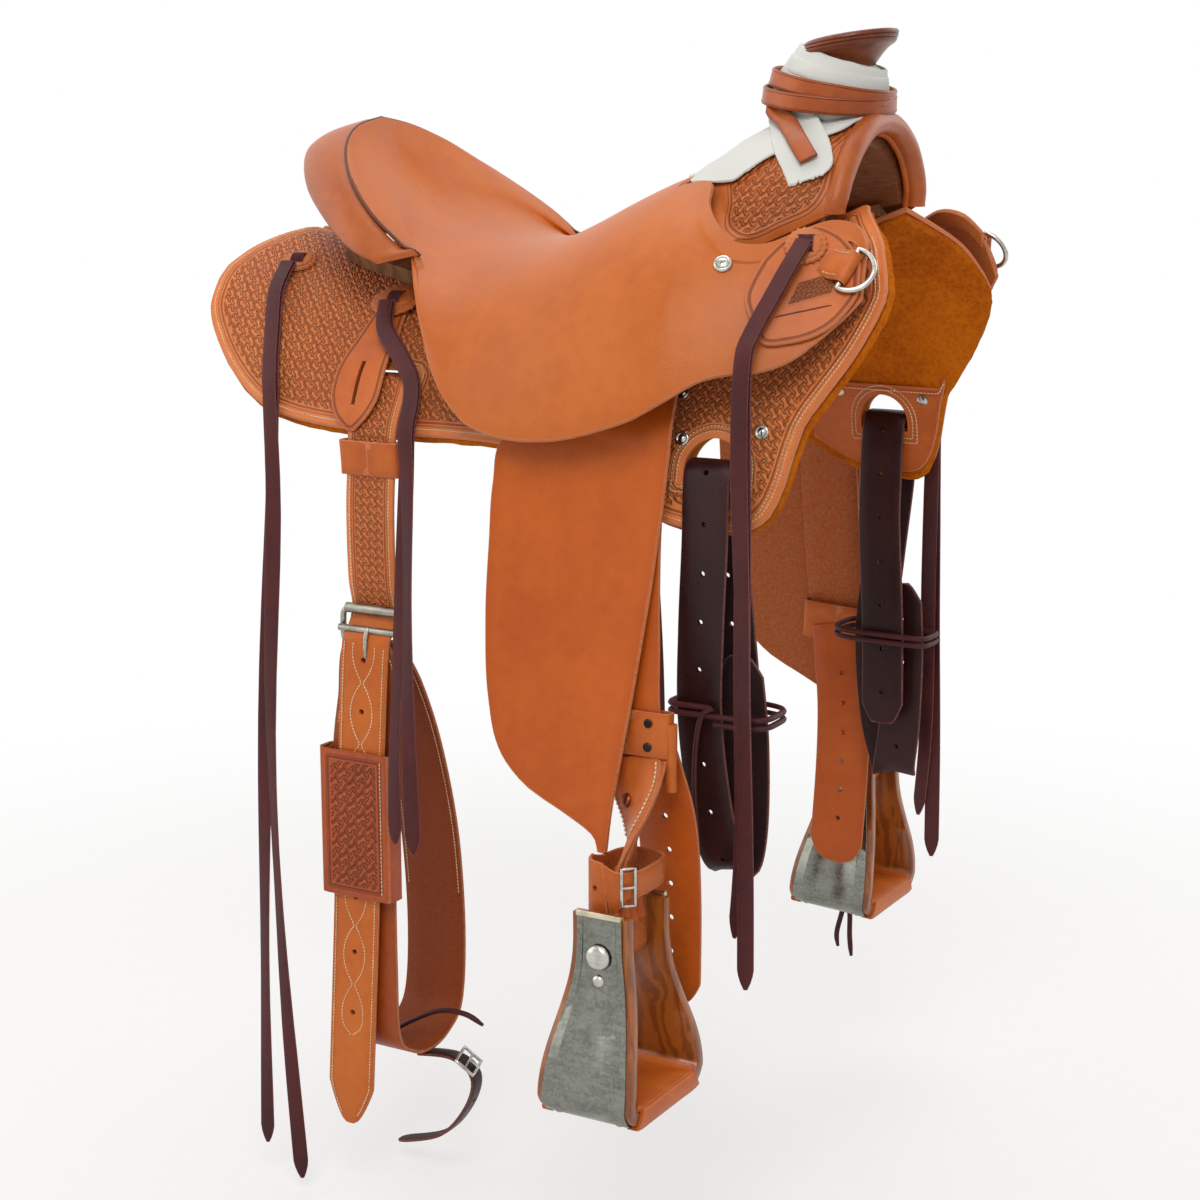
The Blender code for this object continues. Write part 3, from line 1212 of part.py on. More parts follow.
def make_flank():
    side = RIGHT
    hinge = flank_hinge(side)
    centre = Vector((FLANK_X, side * FLANK_STRAP_Y, BUCKLE_Z))
    frame = []
    for k in range(24):
        a = 2 * math.pi * k / 24
        cx, cz = math.cos(a), math.sin(a)
        frame.append(centre + Vector((math.copysign(abs(cx) ** 0.35, cx) * BUCKLE_HALF_WIDTH, 0,
                                      math.copysign(abs(cz) ** 0.35, cz) * BUCKLE_HALF_HEIGHT)))
    buckle = solid("flank_buckle",
                   *loft(wire_rings(frame, BUCKLE_WIRE, 6, True, Vector((0, 1, 0))), closed=True),
                   metal("flank_buckle"))
    set_origin(buckle, hinge)

    low = BUCKLE_Z - BUCKLE_HALF_HEIGHT
    lower = [(FLANK_X, FLANK_STRAP_Y - 0.0010, -0.262), (FLANK_X, FLANK_STRAP_Y - 0.0062, -0.291),
             (FLANK_X, FLANK_STRAP_Y + 0.0005, -0.308), (FLANK_X, FLANK_STRAP_Y + 0.0085, -0.3165),
             (FLANK_X - 0.001, FLANK_STRAP_Y + 0.0112, low - 0.002), (-0.127, 0.2250, -0.370),
             (-0.133, 0.2225, -0.440), (-0.139, 0.2220, -0.520), (-0.143, 0.2220, -0.600),
             (-0.149, 0.2220, -0.700), (-0.154, 0.2220, -0.780), (-0.156, 0.2220, -0.812)]
    make_billet(side, "right", lower, 0.25)

    bottom, half, middle = -0.748, 0.058, 0.154
    loop = BUCKLE_WIRE + CLEARANCE + STRAP_THICK / 2
    path = [(CINCH_X + 0.016, FLANK_STRAP_Y - loop * math.cos(a), low + loop * math.sin(a))
            for a in (math.radians(d) for d in (-30, 15, 60, 105, 150, 190))]
    path += [(CINCH_X + 0.014, FLANK_STRAP_Y + 0.0040, low - 0.014),
             (CINCH_X + 0.010, 0.2150, -0.380), (CINCH_X, 0.2125, -0.440),
             (CINCH_X, 0.2120, -0.540), (CINCH_X, 0.2120, -0.640)]
    path += [(CINCH_X, middle + (half + 0.002) * math.cos(a), bottom + 0.055 * (1 - math.sin(a)))
             for a in (math.radians(d) for d in (25, 60, 90, 120, 155))]
    path += [(CINCH_X + 0.002, 0.0960, -0.640), (CINCH_X + 0.004, 0.1080, -0.540),
             (CINCH_X + 0.008, 0.1360, -0.440), (CINCH_X + 0.014, 0.1680, -0.372),
             (CINCH_X + 0.016, 0.1930, -0.335)]
    points = spline([(x, side * y, z) for x, y, z in path], 46)
    widths = []
    for k in range(len(points)):
        t = k / (len(points) - 1)
        wide = lerp(0.046, CINCH_WIDTH, smooth((t - 0.20) / 0.14) * smooth((1 - t) / 0.16))
        widths.append(Vector((wide, 0, 0)))
    cinch = solid("flank_cinch", *loft(strap_rings(points, widths, STRAP_THICK)),
                  leather("flank_cinch", (0.56, 0.22, 0.09)))
    set_origin(cinch, hinge)

    shape = band_shape((CINCH_X - 0.001, side * 0.2168, -0.502), (1, 0, 0), (0, 1, 0), (0, 0, 1),
                       CINCH_WIDTH + 0.007, 0.0179, 0.0028, 0.145)
    keeper = solid("cinch_keeper", *shape, leather("cinch_keeper", TOOLED_LEATHER))
    set_origin(keeper, hinge)

    path = [(CINCH_X + 0.022, side * 0.1560, bottom - 0.0056),
            (CINCH_X + 0.060, side * 0.1500, bottom - 0.0050),
            (CINCH_X + 0.078, side * 0.1420, bottom - 0.0260),
            (CINCH_X + 0.066, side * 0.1380, bottom - 0.0620),
            (CINCH_X + 0.034, side * 0.1360, bottom - 0.0980),
            (CINCH_X - 0.020, side * 0.1340, bottom - 0.1180)]
    link = strap("connector_strap", spline(path, 18), 0.0180, 0.0032,
                 leather("connector_strap", DARK_LEATHER, 0.4), Vector((0, 1, 0)))
    set_origin(link, hinge)


TIE_X, TIE_Z = 0.2315, -0.352


def make_tie(side, tag):
    """Lace wound twice round the latigo's plies, with its two tails hanging."""
    y_bar = on_skirt(RIG_SLOT_X, RIG_BAR_Z, side).y * side
    centre = Vector((TIE_X, side * (y_bar - 0.0225), TIE_Z))
    points = []
    turns, per_turn = 2, 20
    for k in range(turns * per_turn + 1):
        a = 2 * math.pi * k / per_turn - math.pi / 2
        cx, cy = math.cos(a), math.sin(a)
        points.append(centre + Vector((math.copysign(abs(cx) ** 0.45, cx) * 0.0494,
                                       -side * math.copysign(abs(cy) ** 0.45, cy) * 0.0254,
                                       0.0072 * (k / per_turn - turns / 2))))
    tail = points[-1]
    points += [tail + Vector((-0.010, side * 0.002, -0.006)), tail + Vector((-0.016, side * 0.002, -0.030)),
               tail + Vector((-0.018, side * 0.001, -0.075)), tail + Vector((-0.014, 0, -0.130))]
    rings = wire_rings(points, 0.0028, 6, False, Vector((0, 0, 1)))
    solid("latigo_tie_" + tag, *loft(rings), leather("latigo_tie_" + tag, DARK_LEATHER, 0.5))


# Assembly.

make_fork()
make_apron()
make_horn()
make_horn_wrap()
make_seat()
make_cantle()
for side, tag in SIDES:
    make_skirts(side, tag)
    make_tree_bar(side, tag)
    make_flap(side, tag)
    make_dee(side, tag)
    make_leaf(side, tag)
    for name, place, spot, radius, proud in (
            ("front", on_seat, FRONT_ROSETTE, SMALL_ROSETTE, FLAP_FACE + CLEARANCE),
            ("inner", on_skirt, INNER_ROSETTE, LARGE_ROSETTE, INNER_PROUD),
            ("outer", on_skirt, OUTER_ROSETTE, SMALL_ROSETTE, OUTER_PROUD)):
        make_rosette(f"rosette_{name}_{tag}", place, spot, radius, side, proud)
    make_strings(side, tag)
    make_latigo(side, tag)
    make_tie(side, tag)
    make_fender(side, tag)
    make_stirrup_leather(side, tag)
    make_leather_sleeve(side, tag)
    make_hobble(side, tag)
    make_stirrup(side, tag)
make_flank()
make_billet(LEFT, "left", [(FLANK_X, FLANK_STRAP_Y, z) for z in (-0.280, -0.400, -0.520)], 0.4)
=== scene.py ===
"""Looks of a wade saddle with rolled cantle, wrapped post horn and bell stirrups.

Metres. +X is the horse's front, +Y its left, +Z is up. Leather pieces are built as sheets and
straps with rounded edges, and each point keeps a lay (across, along, distance from the edge),
where a distance below zero is the flesh side.
"""

import logging
import math
from abc import ABC, abstractmethod
from collections.abc import Callable, Sequence
from dataclasses import dataclass, field
from enum import Enum

import bmesh
import bpy
import numpy as np
from mathutils import Matrix, Vector, noise
from mathutils.bvhtree import BVHTree
from mathutils.interpolate import poly_3d_calc


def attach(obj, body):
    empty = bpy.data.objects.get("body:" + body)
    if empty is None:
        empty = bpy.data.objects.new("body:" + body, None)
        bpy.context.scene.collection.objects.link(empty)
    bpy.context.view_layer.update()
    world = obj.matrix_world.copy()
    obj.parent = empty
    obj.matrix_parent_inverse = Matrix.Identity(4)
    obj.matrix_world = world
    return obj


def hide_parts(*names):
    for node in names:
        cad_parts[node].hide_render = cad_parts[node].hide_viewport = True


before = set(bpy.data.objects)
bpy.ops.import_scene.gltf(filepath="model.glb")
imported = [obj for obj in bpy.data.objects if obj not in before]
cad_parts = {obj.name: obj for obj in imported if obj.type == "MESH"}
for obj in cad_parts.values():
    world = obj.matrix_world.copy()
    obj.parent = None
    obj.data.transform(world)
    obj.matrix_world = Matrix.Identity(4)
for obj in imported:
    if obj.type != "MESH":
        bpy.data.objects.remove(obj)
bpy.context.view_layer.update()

logging.basicConfig(level=logging.INFO, format="%(name)s: %(message)s")
Lay = tuple[float, float, float]
Face = tuple[int, ...]
Place = Callable[[float, float, int, float], Vector]
AHEAD, UP = Vector((1, 0, 0)).freeze(), Vector((0, 0, 1)).freeze()


class Side(Enum):
    """The horse's right and left."""

    RIGHT = -1
    LEFT = 1

    @property
    def tag(self) -> str:
        """Ending of this side's names."""
        return self.name.lower()


def smooth(t: float) -> float:
    """Ease from 0 to 1."""
    t = max(0.0, min(1.0, t))
    return t * t * (3.0 - 2.0 * t)


def lerp(a: float | Vector, b: float | Vector, t: float) -> float | Vector:
    """Blend numbers or points."""
    return a + (b - a) * t


def srgb(red: int, green: int, blue: int) -> tuple[float, float, float, float]:
    """Linear colour of an 8-bit one."""
    def linear(level: int) -> float:
        """Light of one channel."""
        c = level / 255
        return c / 12.92 if c <= 0.04045 else ((c + 0.055) / 1.055) ** 2.4
    return linear(red), linear(green), linear(blue), 1.0


def read_off(points: Sequence[tuple[float, float]], x: float) -> float:
    """Height of a smooth line through a few points.

    Args:
        points: Pairs of place and height, in order.
        x: Where to read.

    Returns:
        The height there.
    """
    if x <= points[0][0]:
        return points[0][1]
    if x >= points[-1][0]:
        return points[-1][1]
    k = max(i for i in range(len(points) - 1) if points[i][0] <= x)

    def slope(i: int) -> float:
        """Slope at a point."""
        low, high = max(0, i - 1), min(len(points) - 1, i + 1)
        return (points[high][1] - points[low][1]) / (points[high][0] - points[low][0])

    (x0, y0), (x1, y1) = points[k], points[k + 1]
    h = x1 - x0
    t = (x - x0) / h
    return (y0 * (1 + 2 * t) * (1 - t) ** 2 + slope(k) * h * t * (1 - t) ** 2
            + y1 * t * t * (3 - 2 * t) + slope(k + 1) * h * t * t * (t - 1))


def on_side(points: Sequence[tuple[float, float, float]], side: int) -> list[Vector]:
    """Points given for the left, on the left at 1 and on the right at -1."""
    return [Vector((x, side * y, z)) for x, y, z in points]


def round_angles(count: int) -> list[float]:
    """Angles of even steps round a circle, without the last that meets the first."""
    return [2 * math.pi * k / count for k in range(count)]


def spline(points: Sequence, count: int) -> list[Vector]:
    """Points on a smooth curve through the given ones.

    Args:
        points: What the curve goes through.
        count: How many points to give back.

    Returns:
        The curve's points.
    """
    pts = [Vector(p) for p in points]
    last = len(pts) - 1
    out = []
    for i in range(count):
        s = i * last / (count - 1)
        k = min(int(s), last - 1)
        t = s - k
        p0, p1, p2, p3 = (pts[max(0, min(last, k + d))] for d in (-1, 0, 1, 2))
        out.append(0.5 * (2 * p1 + (p2 - p0) * t + (2 * p0 - 5 * p1 + 4 * p2 - p3) * t ** 2
                          + (3 * p1 - 3 * p2 + p3 - p0) * t ** 3))
    return out


def even(path: Sequence, step: float) -> list[Vector]:
    """The same line with points a fixed distance apart.

    Args:
        path: The line.
        step: Distance wanted between points.

    Returns:
        Points along the line, with both ends kept.
    """
    pts = [Vector(p) for p in path]
    runs = [0.0]
    for a, b in zip(pts, pts[1:]):
        runs.append(runs[-1] + (b - a).length)
    count = max(2, round(runs[-1] / step) + 1)
    out, k = [], 0
    for i in range(count):
        s = runs[-1] * i / (count - 1)
        while k < len(pts) - 2 and runs[k + 1] < s:
            k += 1
        out.append(lerp(pts[k], pts[k + 1], (s - runs[k]) / max(1e-9, runs[k + 1] - runs[k])))
    return out


def share_of(line: Sequence[Vector], t: float) -> Vector:
    """The point at a share of a line whose points are evenly numbered."""
    last = len(line) - 1
    k = min(int(t * last), last - 1)
    return lerp(line[k], line[k + 1], t * last - k)


def length_of(path: Sequence[Vector]) -> float:
    """Length of a line."""
    return sum((b - a).length for a, b in zip(path, path[1:]))


def directions(path: Sequence[Vector], closed: bool = False) -> list[Vector]:
    """Way that a line runs at each of its points."""
    n = len(path)
    if closed:
        return [(path[(i + 1) % n] - path[i - 1]).normalized() for i in range(n)]
    return [(path[min(i + 1, n - 1)] - path[max(i - 1, 0)]).normalized() for i in range(n)]


def smooth_grid(rows: Sequence[Sequence[Vector]], down: int, along: int) -> list[list[Vector]]:
    """A finer grid through the points of a coarse one.

    Args:
        rows: The coarse grid.
        down: Steps between two rows.
        along: Steps between two columns.

    Returns:
        The fine grid.
    """
    wide = [spline(row, (len(row) - 1) * along + 1) for row in rows]
    columns = [spline(column, (len(rows) - 1) * down + 1) for column in zip(*wide)]
    return [list(row) for row in zip(*columns)]


def grid_faces(rows: int, columns: int) -> list[Face]:
    """Faces between the points of a grid."""
    return [(r * columns + c, r * columns + c + 1, (r + 1) * columns + c + 1, (r + 1) * columns + c)
            for r in range(rows - 1) for c in range(columns - 1)]


def oval(centre: Vector, wide: Vector, deep: Vector, half_wide: float, half_deep: float,
         power: float, count: int = 64, start: float = 0.0) -> list[Vector]:
    """A loop between an ellipse and a rectangle, with its ends meeting.

    Args:
        centre: Middle of the loop.
        wide: Direction of its width.
        deep: Direction of its depth.
        half_wide: Half its width.
        half_deep: Half its depth.
        power: 1 for an ellipse, less for squarer corners.
        count: Steps round it.
        start: Angle of its ends, in degrees.

    Returns:
        Points of the loop.
    """
    path = []
    for k in range(count + 1):
        a = math.radians(start) + 2 * math.pi * k / count
        c, s = math.cos(a), math.sin(a)
        path.append(Vector(centre) + Vector(wide) * math.copysign(abs(c) ** power, c) * half_wide
                    + Vector(deep) * math.copysign(abs(s) ** power, s) * half_deep)
    return path


def hoop(up: Vector, centre: Vector, *size: Vector | float) -> list[Vector]:
    """An oval whose direction gives a strap along it its grain side on the outside."""
    path = oval(centre, *size)
    outside = (path[1] - path[0]).cross(up).dot(path[0] - centre) > 0
    return path if outside else path[::-1]


def divided(corners: Sequence[Vector], steps: int) -> list[Vector]:
    """A closed line round some corners, with each side cut into equal steps."""
    return [lerp(a, b, t / steps) for a, b in zip(corners, [*corners[1:], corners[0]])
            for t in range(steps)]


# Materials.

class Signal:
    """A number in a material that can be added, multiplied and shaped."""

    def __init__(self, tree: bpy.types.NodeTree, socket: bpy.types.NodeSocket) -> None:
        """Keep the socket that carries the number, and the tree that it is in."""
        self.tree, self.socket = tree, socket

    def maths(self, operation: str, *others: "Signal | float") -> "Signal":
        """This signal and others through one operation."""
        node = self.tree.nodes.new("ShaderNodeMath")
        node.operation = operation
        for place, value in zip(node.inputs, (self, *others)):
            if isinstance(value, Signal):
                self.tree.links.new(value.socket, place)
            else:
                place.default_value = value
        return Signal(self.tree, node.outputs[0])

    def __add__(self, other: "Signal | float") -> "Signal":
        """Sum of this and another."""
        return self.maths("ADD", other)

    def __mul__(self, other: "Signal | float") -> "Signal":
        """Product of this and another."""
        return self.maths("MULTIPLY", other)

    def __sub__(self, other: "Signal | float") -> "Signal":
        """Difference of this and another."""
        return self.maths("SUBTRACT", other)

    def invert(self) -> "Signal":
        """One less this."""
        return (self * -1.0) + 1.0

    def wave(self, pace: float, start: float = 0.0) -> "Signal":
        """Sine of this times a pace."""
        return (self * pace + start).maths("SINE")

    def ramp(self, low: float, high: float) -> "Signal":
        """Eased from 0 at low to 1 at high."""
        node = self.tree.nodes.new("ShaderNodeMapRange")
        node.interpolation_type = "SMOOTHSTEP"
        self.tree.links.new(self.socket, node.inputs["Value"])
        node.inputs["From Min"].default_value = low
        node.inputs["From Max"].default_value = high
        return Signal(self.tree, node.outputs["Result"])


Value = Signal | bpy.types.NodeSocket | float | tuple


class Bench:
    """Where one material is put together."""

    def __init__(self, name: str) -> None:
        """Start a material with its shader."""
        self.material = bpy.data.materials.new(name)
        self.material.use_nodes = True
        self.tree = self.material.node_tree
        self.shader = self.tree.nodes["Principled BSDF"]
        self.place = self.tree.nodes.new("ShaderNodeTexCoord").outputs["Object"]

    def node(self, kind: str, **inputs: Value) -> bpy.types.Node:
        """A new node with values or sockets put in by name."""
        node = self.tree.nodes.new(kind)
        for name, value in inputs.items():
            self.feed(node.inputs[name.replace("_", " ")], value)
        return node

    def feed(self, place: bpy.types.NodeSocket, value: Value) -> None:
        """Set a socket to a value or link it."""
        if isinstance(value, Signal):
            value = value.socket
        if isinstance(value, bpy.types.NodeSocket):
            self.tree.links.new(value, place)
        else:
            place.default_value = value

    def lay(self) -> tuple[Signal, Signal, Signal]:
        """Distance across, along and from the edge of the piece."""
        node = self.tree.nodes.new("ShaderNodeAttribute")
        node.attribute_name = "lay"
        split = self.node("ShaderNodeSeparateXYZ", Vector=node.outputs["Vector"])
        return tuple(Signal(self.tree, split.outputs[i]) for i in range(3))

    def noise(self, scale: float, detail: float = 3.0, stretch: tuple = (1, 1, 1),
              bend: float = 0.0) -> Signal:
        """Soft random variation in space."""
        where = self.node("ShaderNodeMapping", Vector=self.place, Scale=stretch)
        node = self.node("ShaderNodeTexNoise", Vector=where.outputs[0], Scale=scale, Detail=detail,
                         Distortion=bend)
        return Signal(self.tree, node.outputs["Fac"])

    def cells(self, scale: float) -> Signal:
        """Distance to the nearest of many scattered points."""
        node = self.node("ShaderNodeTexVoronoi", Vector=self.place, Scale=scale)
        return Signal(self.tree, node.outputs["Distance"])

    def patches(self, scale: float) -> Signal:
        """A different level in each cell of a crystal pattern."""
        node = self.node("ShaderNodeTexVoronoi", Vector=self.place, Scale=scale)
        split = self.node("ShaderNodeSeparateXYZ", Vector=node.outputs["Color"])
        return Signal(self.tree, split.outputs[0])

    def mix(self, factor: Value, low: Value, high: Value) -> bpy.types.NodeSocket:
        """Colour between two others."""
        node = self.tree.nodes.new("ShaderNodeMix")
        node.data_type = "RGBA"
        sockets = {s.identifier: s for s in node.inputs}
        self.feed(sockets["Factor_Float"], factor)
        self.feed(sockets["A_Color"], low)
        self.feed(sockets["B_Color"], high)
        return {s.identifier: s for s in node.outputs}["Result_Color"]

    def bump(self, height: Signal, distance: float,
             under: bpy.types.NodeSocket | None = None) -> bpy.types.NodeSocket:
        """Surface relief of a height, on top of another relief."""
        node = self.node("ShaderNodeBump", Height=height, Distance=distance, Strength=1.0)
        if under is not None:
            self.tree.links.new(under, node.inputs["Normal"])
        return node.outputs["Normal"]

    def finish(self, **inputs: Value) -> bpy.types.Material:
        """Put values and sockets on the shader and give the material."""
        for name, value in inputs.items():
            self.feed(self.shader.inputs[name.replace("_", " ")], value)
        return self.material


class Stamp(Enum):
    """Tool work on the grain side of a leather."""

    PLAIN = "plain"
    WHIRL = "whirl"


@dataclass(frozen=True)
class Finish(ABC):
    """A surface that pieces are dressed in."""

    name: str

    @abstractmethod
    def make(self) -> bpy.types.Material:
        """Build the material."""

    def material(self) -> bpy.types.Material:
        """The one material of this finish."""
        return bpy.data.materials.get(self.name) or self.make()


@dataclass(frozen=True)
class Leather(Finish):
    """Vegetable tanned leather with a grain side, a flesh side and a cut edge."""

    colour: tuple = srgb(204, 108, 42)
    shade: tuple = srgb(178, 84, 26)
    edge: tuple = srgb(206, 138, 98)
    flesh: tuple = srgb(176, 108, 62)
    # Colour of the pressed hollows and cut lines: partly their real darker tone, partly painted
    # shade.
    recess: tuple = srgb(88, 38, 18)
    roughness: float = 0.42
    stamp: Stamp = Stamp.PLAIN
    cell: float = 0.0052
    border: float = 0.012
    groove: float = 0.0
    # How far in from the cut edges the leather darkens: painted shade where pieces lie over one
    # another, and worn edges.
    edge_wear_and_shade: float = 0.010
    edge_width: float = 0.0008
    coat: float = 0.12

    def whirl(self, u: Signal, v: Signal) -> Signal:
        """Height of a basket stamp whose strokes bend round each other.

        Args:
            u: Distance across.
            v: Distance along.

        Returns:
            0 in the pressed corners, 1 on the strokes.
        """
        across, along = u * (1 / self.cell), v * (1 / self.cell)
        bent = across + along.wave(2 * math.pi) * 0.20
        bowed = along + across.wave(2 * math.pi) * 0.20
        odd = (bent.maths("FLOOR") + bowed.maths("FLOOR")) * 0.5
        odd = odd.maths("FRACT").ramp(0.2, 0.3)
        fu, fv = bent.maths("FRACT"), bowed.maths("FRACT")

        def strokes(over: Signal, run: Signal) -> Signal:
            """Two bowed ridges with pressed ends."""
            bow = over + (run * math.pi).maths("SINE") * 0.22
            ridge = bow.wave(2 * math.pi).maths("ABSOLUTE").maths("POWER", 0.8)
            ends = ((run - 0.5).maths("ABSOLUTE") * 2.0).ramp(1.0, 0.70)
            return ridge * ends
        level, upright = strokes(fv, fu), strokes(fu, fv)
        return level * odd.invert() + upright * odd

    def make(self) -> bpy.types.Material:
        """Build the material."""
        bench = Bench(self.name)
        u, v, w = bench.lay()
        inside = w.maths("ABSOLUTE")
        blotch, fine = bench.noise(9, 3), bench.noise(85, 4)
        streak = bench.noise(30, 3, (1, 1, 0.25), 0.6)
        tone = blotch * 0.5 + fine * 0.25 + streak * 0.25
        colour = bench.mix(tone.ramp(0.30, 0.68), self.shade, self.colour)
        # Darker towards the cut edges: painted shade where pieces lie over one another, together
        # with the darker tone of worn edges.
        worn_and_shaded_edge = inside.ramp(self.edge_wear_and_shade, 0.0) * 0.55
        colour = bench.mix(worn_and_shaded_edge, colour, self.shade)
        rough = tone.ramp(0.2, 0.8) * 0.16 + (self.roughness - 0.08)
        relief = bench.bump(bench.cells(750) * 0.6 + fine * 0.8, 0.00030)
        if self.stamp is Stamp.WHIRL:
            stamped = self.whirl(u, v)
            within = inside.ramp(self.border, self.border + 0.0008)
            pressed = stamped.invert() * within
            # The pressed hollows are darker: partly the real darkening of pressed leather, partly
            # painted shade in the hollows.
            colour = bench.mix(pressed.ramp(0.52, 1.0) * 0.74, colour, self.recess)
            relief = bench.bump(stamped * within + within.invert(), 0.0022, relief)
            rough = rough + pressed * 0.25
        if self.groove > 0:
            line = (inside - self.groove).maths("ABSOLUTE").ramp(0.0013, 0.0003)
            second = (inside - self.groove * 0.72).maths("ABSOLUTE").ramp(0.0009, 0.0002)
            cut = line.maths("MAXIMUM", second * 0.6)
            # The cut lines are darker: partly the real darkening of the cut, partly painted shade
            # in it.
            colour = bench.mix(cut * 0.7, colour, self.recess)
            relief = bench.bump(cut.invert(), 0.0010, relief)
        hairy = bench.noise(420, 3)
        flesh = bench.mix(hairy.ramp(0.3, 0.7), self.shade, self.flesh)
        back = w.ramp(0.0, -0.0006)
        colour = bench.mix(back, colour, flesh)
        cut_edge = inside.ramp(self.edge_width, self.edge_width * 0.35)
        layers = bench.noise(260, 3, (0.3, 0.3, 2))
        colour = bench.mix(cut_edge, colour, bench.mix(layers, self.shade, self.edge))
        rough = rough + back * 0.3 + cut_edge * 0.2
        return bench.finish(Base_Color=colour, Roughness=rough, Normal=relief,
                            Specular_IOR_Level=0.26, Coat_Weight=self.coat,
                            Coat_Roughness=0.35)


@dataclass(frozen=True)
class Hide(Finish):
    """Rough white hide with a napped face."""

    colour: tuple = srgb(222, 226, 228)
    shade: tuple = srgb(170, 176, 180)

    def make(self) -> bpy.types.Material:
        """Build the material."""
        bench = Bench(self.name)
        nap, cloud = bench.noise(520, 4), bench.noise(60, 4)
        thick = bench.noise(190, 3, (1, 1, 0.5))
        tone = nap * 0.45 + cloud * 0.3 + thick * 0.25
        colour = bench.mix(tone.ramp(0.34, 0.6), self.shade, self.colour)
        relief = bench.bump(nap * 0.5 + thick * 0.5, 0.0011)
        return bench.finish(Base_Color=colour, Roughness=0.92, Normal=relief, Sheen_Weight=0.25,
                            Sheen_Roughness=0.5)


@dataclass(frozen=True)
class Wool(Finish):
    """Golden sheared fleece."""

    colour: tuple = srgb(205, 124, 30)
    shade: tuple = srgb(142, 74, 12)
    tip: tuple = srgb(226, 170, 88)

    def make(self) -> bpy.types.Material:
        """Build the material."""
        bench = Bench(self.name)
        patch, tuft, hair = bench.noise(16, 4, bend=0.8), bench.cells(190), bench.noise(600, 3)
        colour = bench.mix((patch * 0.7 + tuft * 0.3).ramp(0.2, 0.7), self.shade, self.colour)
        colour = bench.mix(hair.ramp(0.5, 0.8) * 0.18, colour, self.tip)
        relief = bench.bump(hair * 0.4 + tuft.invert() * 0.6, 0.0022)
        return bench.finish(Base_Color=colour, Roughness=0.96, Normal=relief,
                            Specular_IOR_Level=0.1)


@dataclass(frozen=True)
class Wood(Finish):
    """Varnished wood, with growth lines that run along the piece."""

    colour: tuple = srgb(186, 118, 48)
    shade: tuple = srgb(112, 62, 22)
    line: tuple = srgb(74, 38, 14)
    roughness: float = 0.34
    coat: float = 0.35

    def make(self) -> bpy.types.Material:
        """Build the material."""
        bench = Bench(self.name)
        u, _, _ = bench.lay()
        drift = bench.noise(26, 3, (1, 1, 0.22), 1.4)
        rings = (u * 420.0 + drift * 22.0).wave(1.0) * 0.5 + 0.5
        pores = bench.noise(700, 3, (1, 1, 0.06))
        colour = bench.mix(rings.ramp(0.1, 0.9) * 0.6 + drift * 0.4, self.shade, self.colour)
        colour = bench.mix(pores.ramp(0.6, 0.75) * 0.6, colour, self.line)
        relief = bench.bump(pores * 0.6 + rings * 0.2, 0.0003)
        return bench.finish(Base_Color=colour, Roughness=pores * 0.14 + (self.roughness - 0.05),
                            Normal=relief, Coat_Weight=self.coat, Coat_Roughness=0.2)


@dataclass(frozen=True)
class Metal(Finish):
    """Plated steel, spangled where it is galvanised."""

    colour: tuple = srgb(196, 194, 182)
    shade: tuple = srgb(140, 140, 130)
    roughness: float = 0.28
    spangle: float = 0.0

    def make(self) -> bpy.types.Material:
        """Build the material."""
        bench = Bench(self.name)
        dull, scratch = bench.noise(70, 4), bench.noise(340, 3, (0.12, 1, 1))
        tone = dull * 0.6 + scratch * 0.4
        if self.spangle > 0:
            tone = tone * 0.8 + bench.patches(self.spangle) * 0.2
        colour = bench.mix(tone.ramp(0.25, 0.7), self.shade, self.colour)
        rough = tone * 0.24 + (self.roughness - 0.10)
        relief = bench.bump(scratch * 0.5 + dull * 0.5, 0.00012)
        return bench.finish(Base_Color=colour, Roughness=rough, Normal=relief, Metallic=1.0)


@dataclass(frozen=True)
class Thread(Finish):
    """Waxed linen thread."""

    colour: tuple = srgb(232, 214, 178)
    shade: tuple = srgb(186, 154, 108)

    def make(self) -> bpy.types.Material:
        """Build the material."""
        bench = Bench(self.name)
        ply, soil = bench.noise(1600, 2, (1, 1, 0.4)), bench.noise(45, 3)
        colour = bench.mix((ply * 0.5 + soil * 0.5).ramp(0.3, 0.6), self.shade, self.colour)
        return bench.finish(Base_Color=colour, Roughness=0.7, Normal=bench.bump(ply, 0.0003))


SMOOTH = Leather("smooth_leather")
SEAT = Leather("seat_skin", srgb(200, 107, 38), srgb(184, 92, 28), edge_wear_and_shade=0.020, roughness=0.40)
FENDER = Leather("fender_skin", srgb(196, 94, 24), srgb(178, 78, 14), edge_wear_and_shade=0.012, roughness=0.38)
ROLL = Leather("roll_skin", srgb(188, 100, 44), srgb(158, 74, 26), edge_wear_and_shade=0.012, roughness=0.34,
               coat=0.15)
TOOLED = Leather("tooled_skin", srgb(228, 134, 74), srgb(206, 110, 56), recess=srgb(118, 52, 24),
                 stamp=Stamp.WHIRL, cell=0.0092, border=0.0135, groove=0.0112, edge_wear_and_shade=0.004)
TOOLED_STRAP = Leather("tooled_strap", srgb(222, 126, 68), srgb(200, 104, 50),
                       recess=srgb(112, 50, 24), stamp=Stamp.WHIRL, cell=0.0080, border=0.0110,
                       groove=0.0094, edge_wear_and_shade=0.002)
BROWN = Leather("brown_skin", srgb(188, 94, 36), srgb(146, 66, 22), srgb(130, 66, 30), edge_wear_and_shade=0.003,
                roughness=0.32, coat=0.2)
HORN = Leather("horn_skin", srgb(132, 62, 26), srgb(88, 38, 14), srgb(92, 40, 16), edge_wear_and_shade=0.003,
               roughness=0.28, coat=0.22)
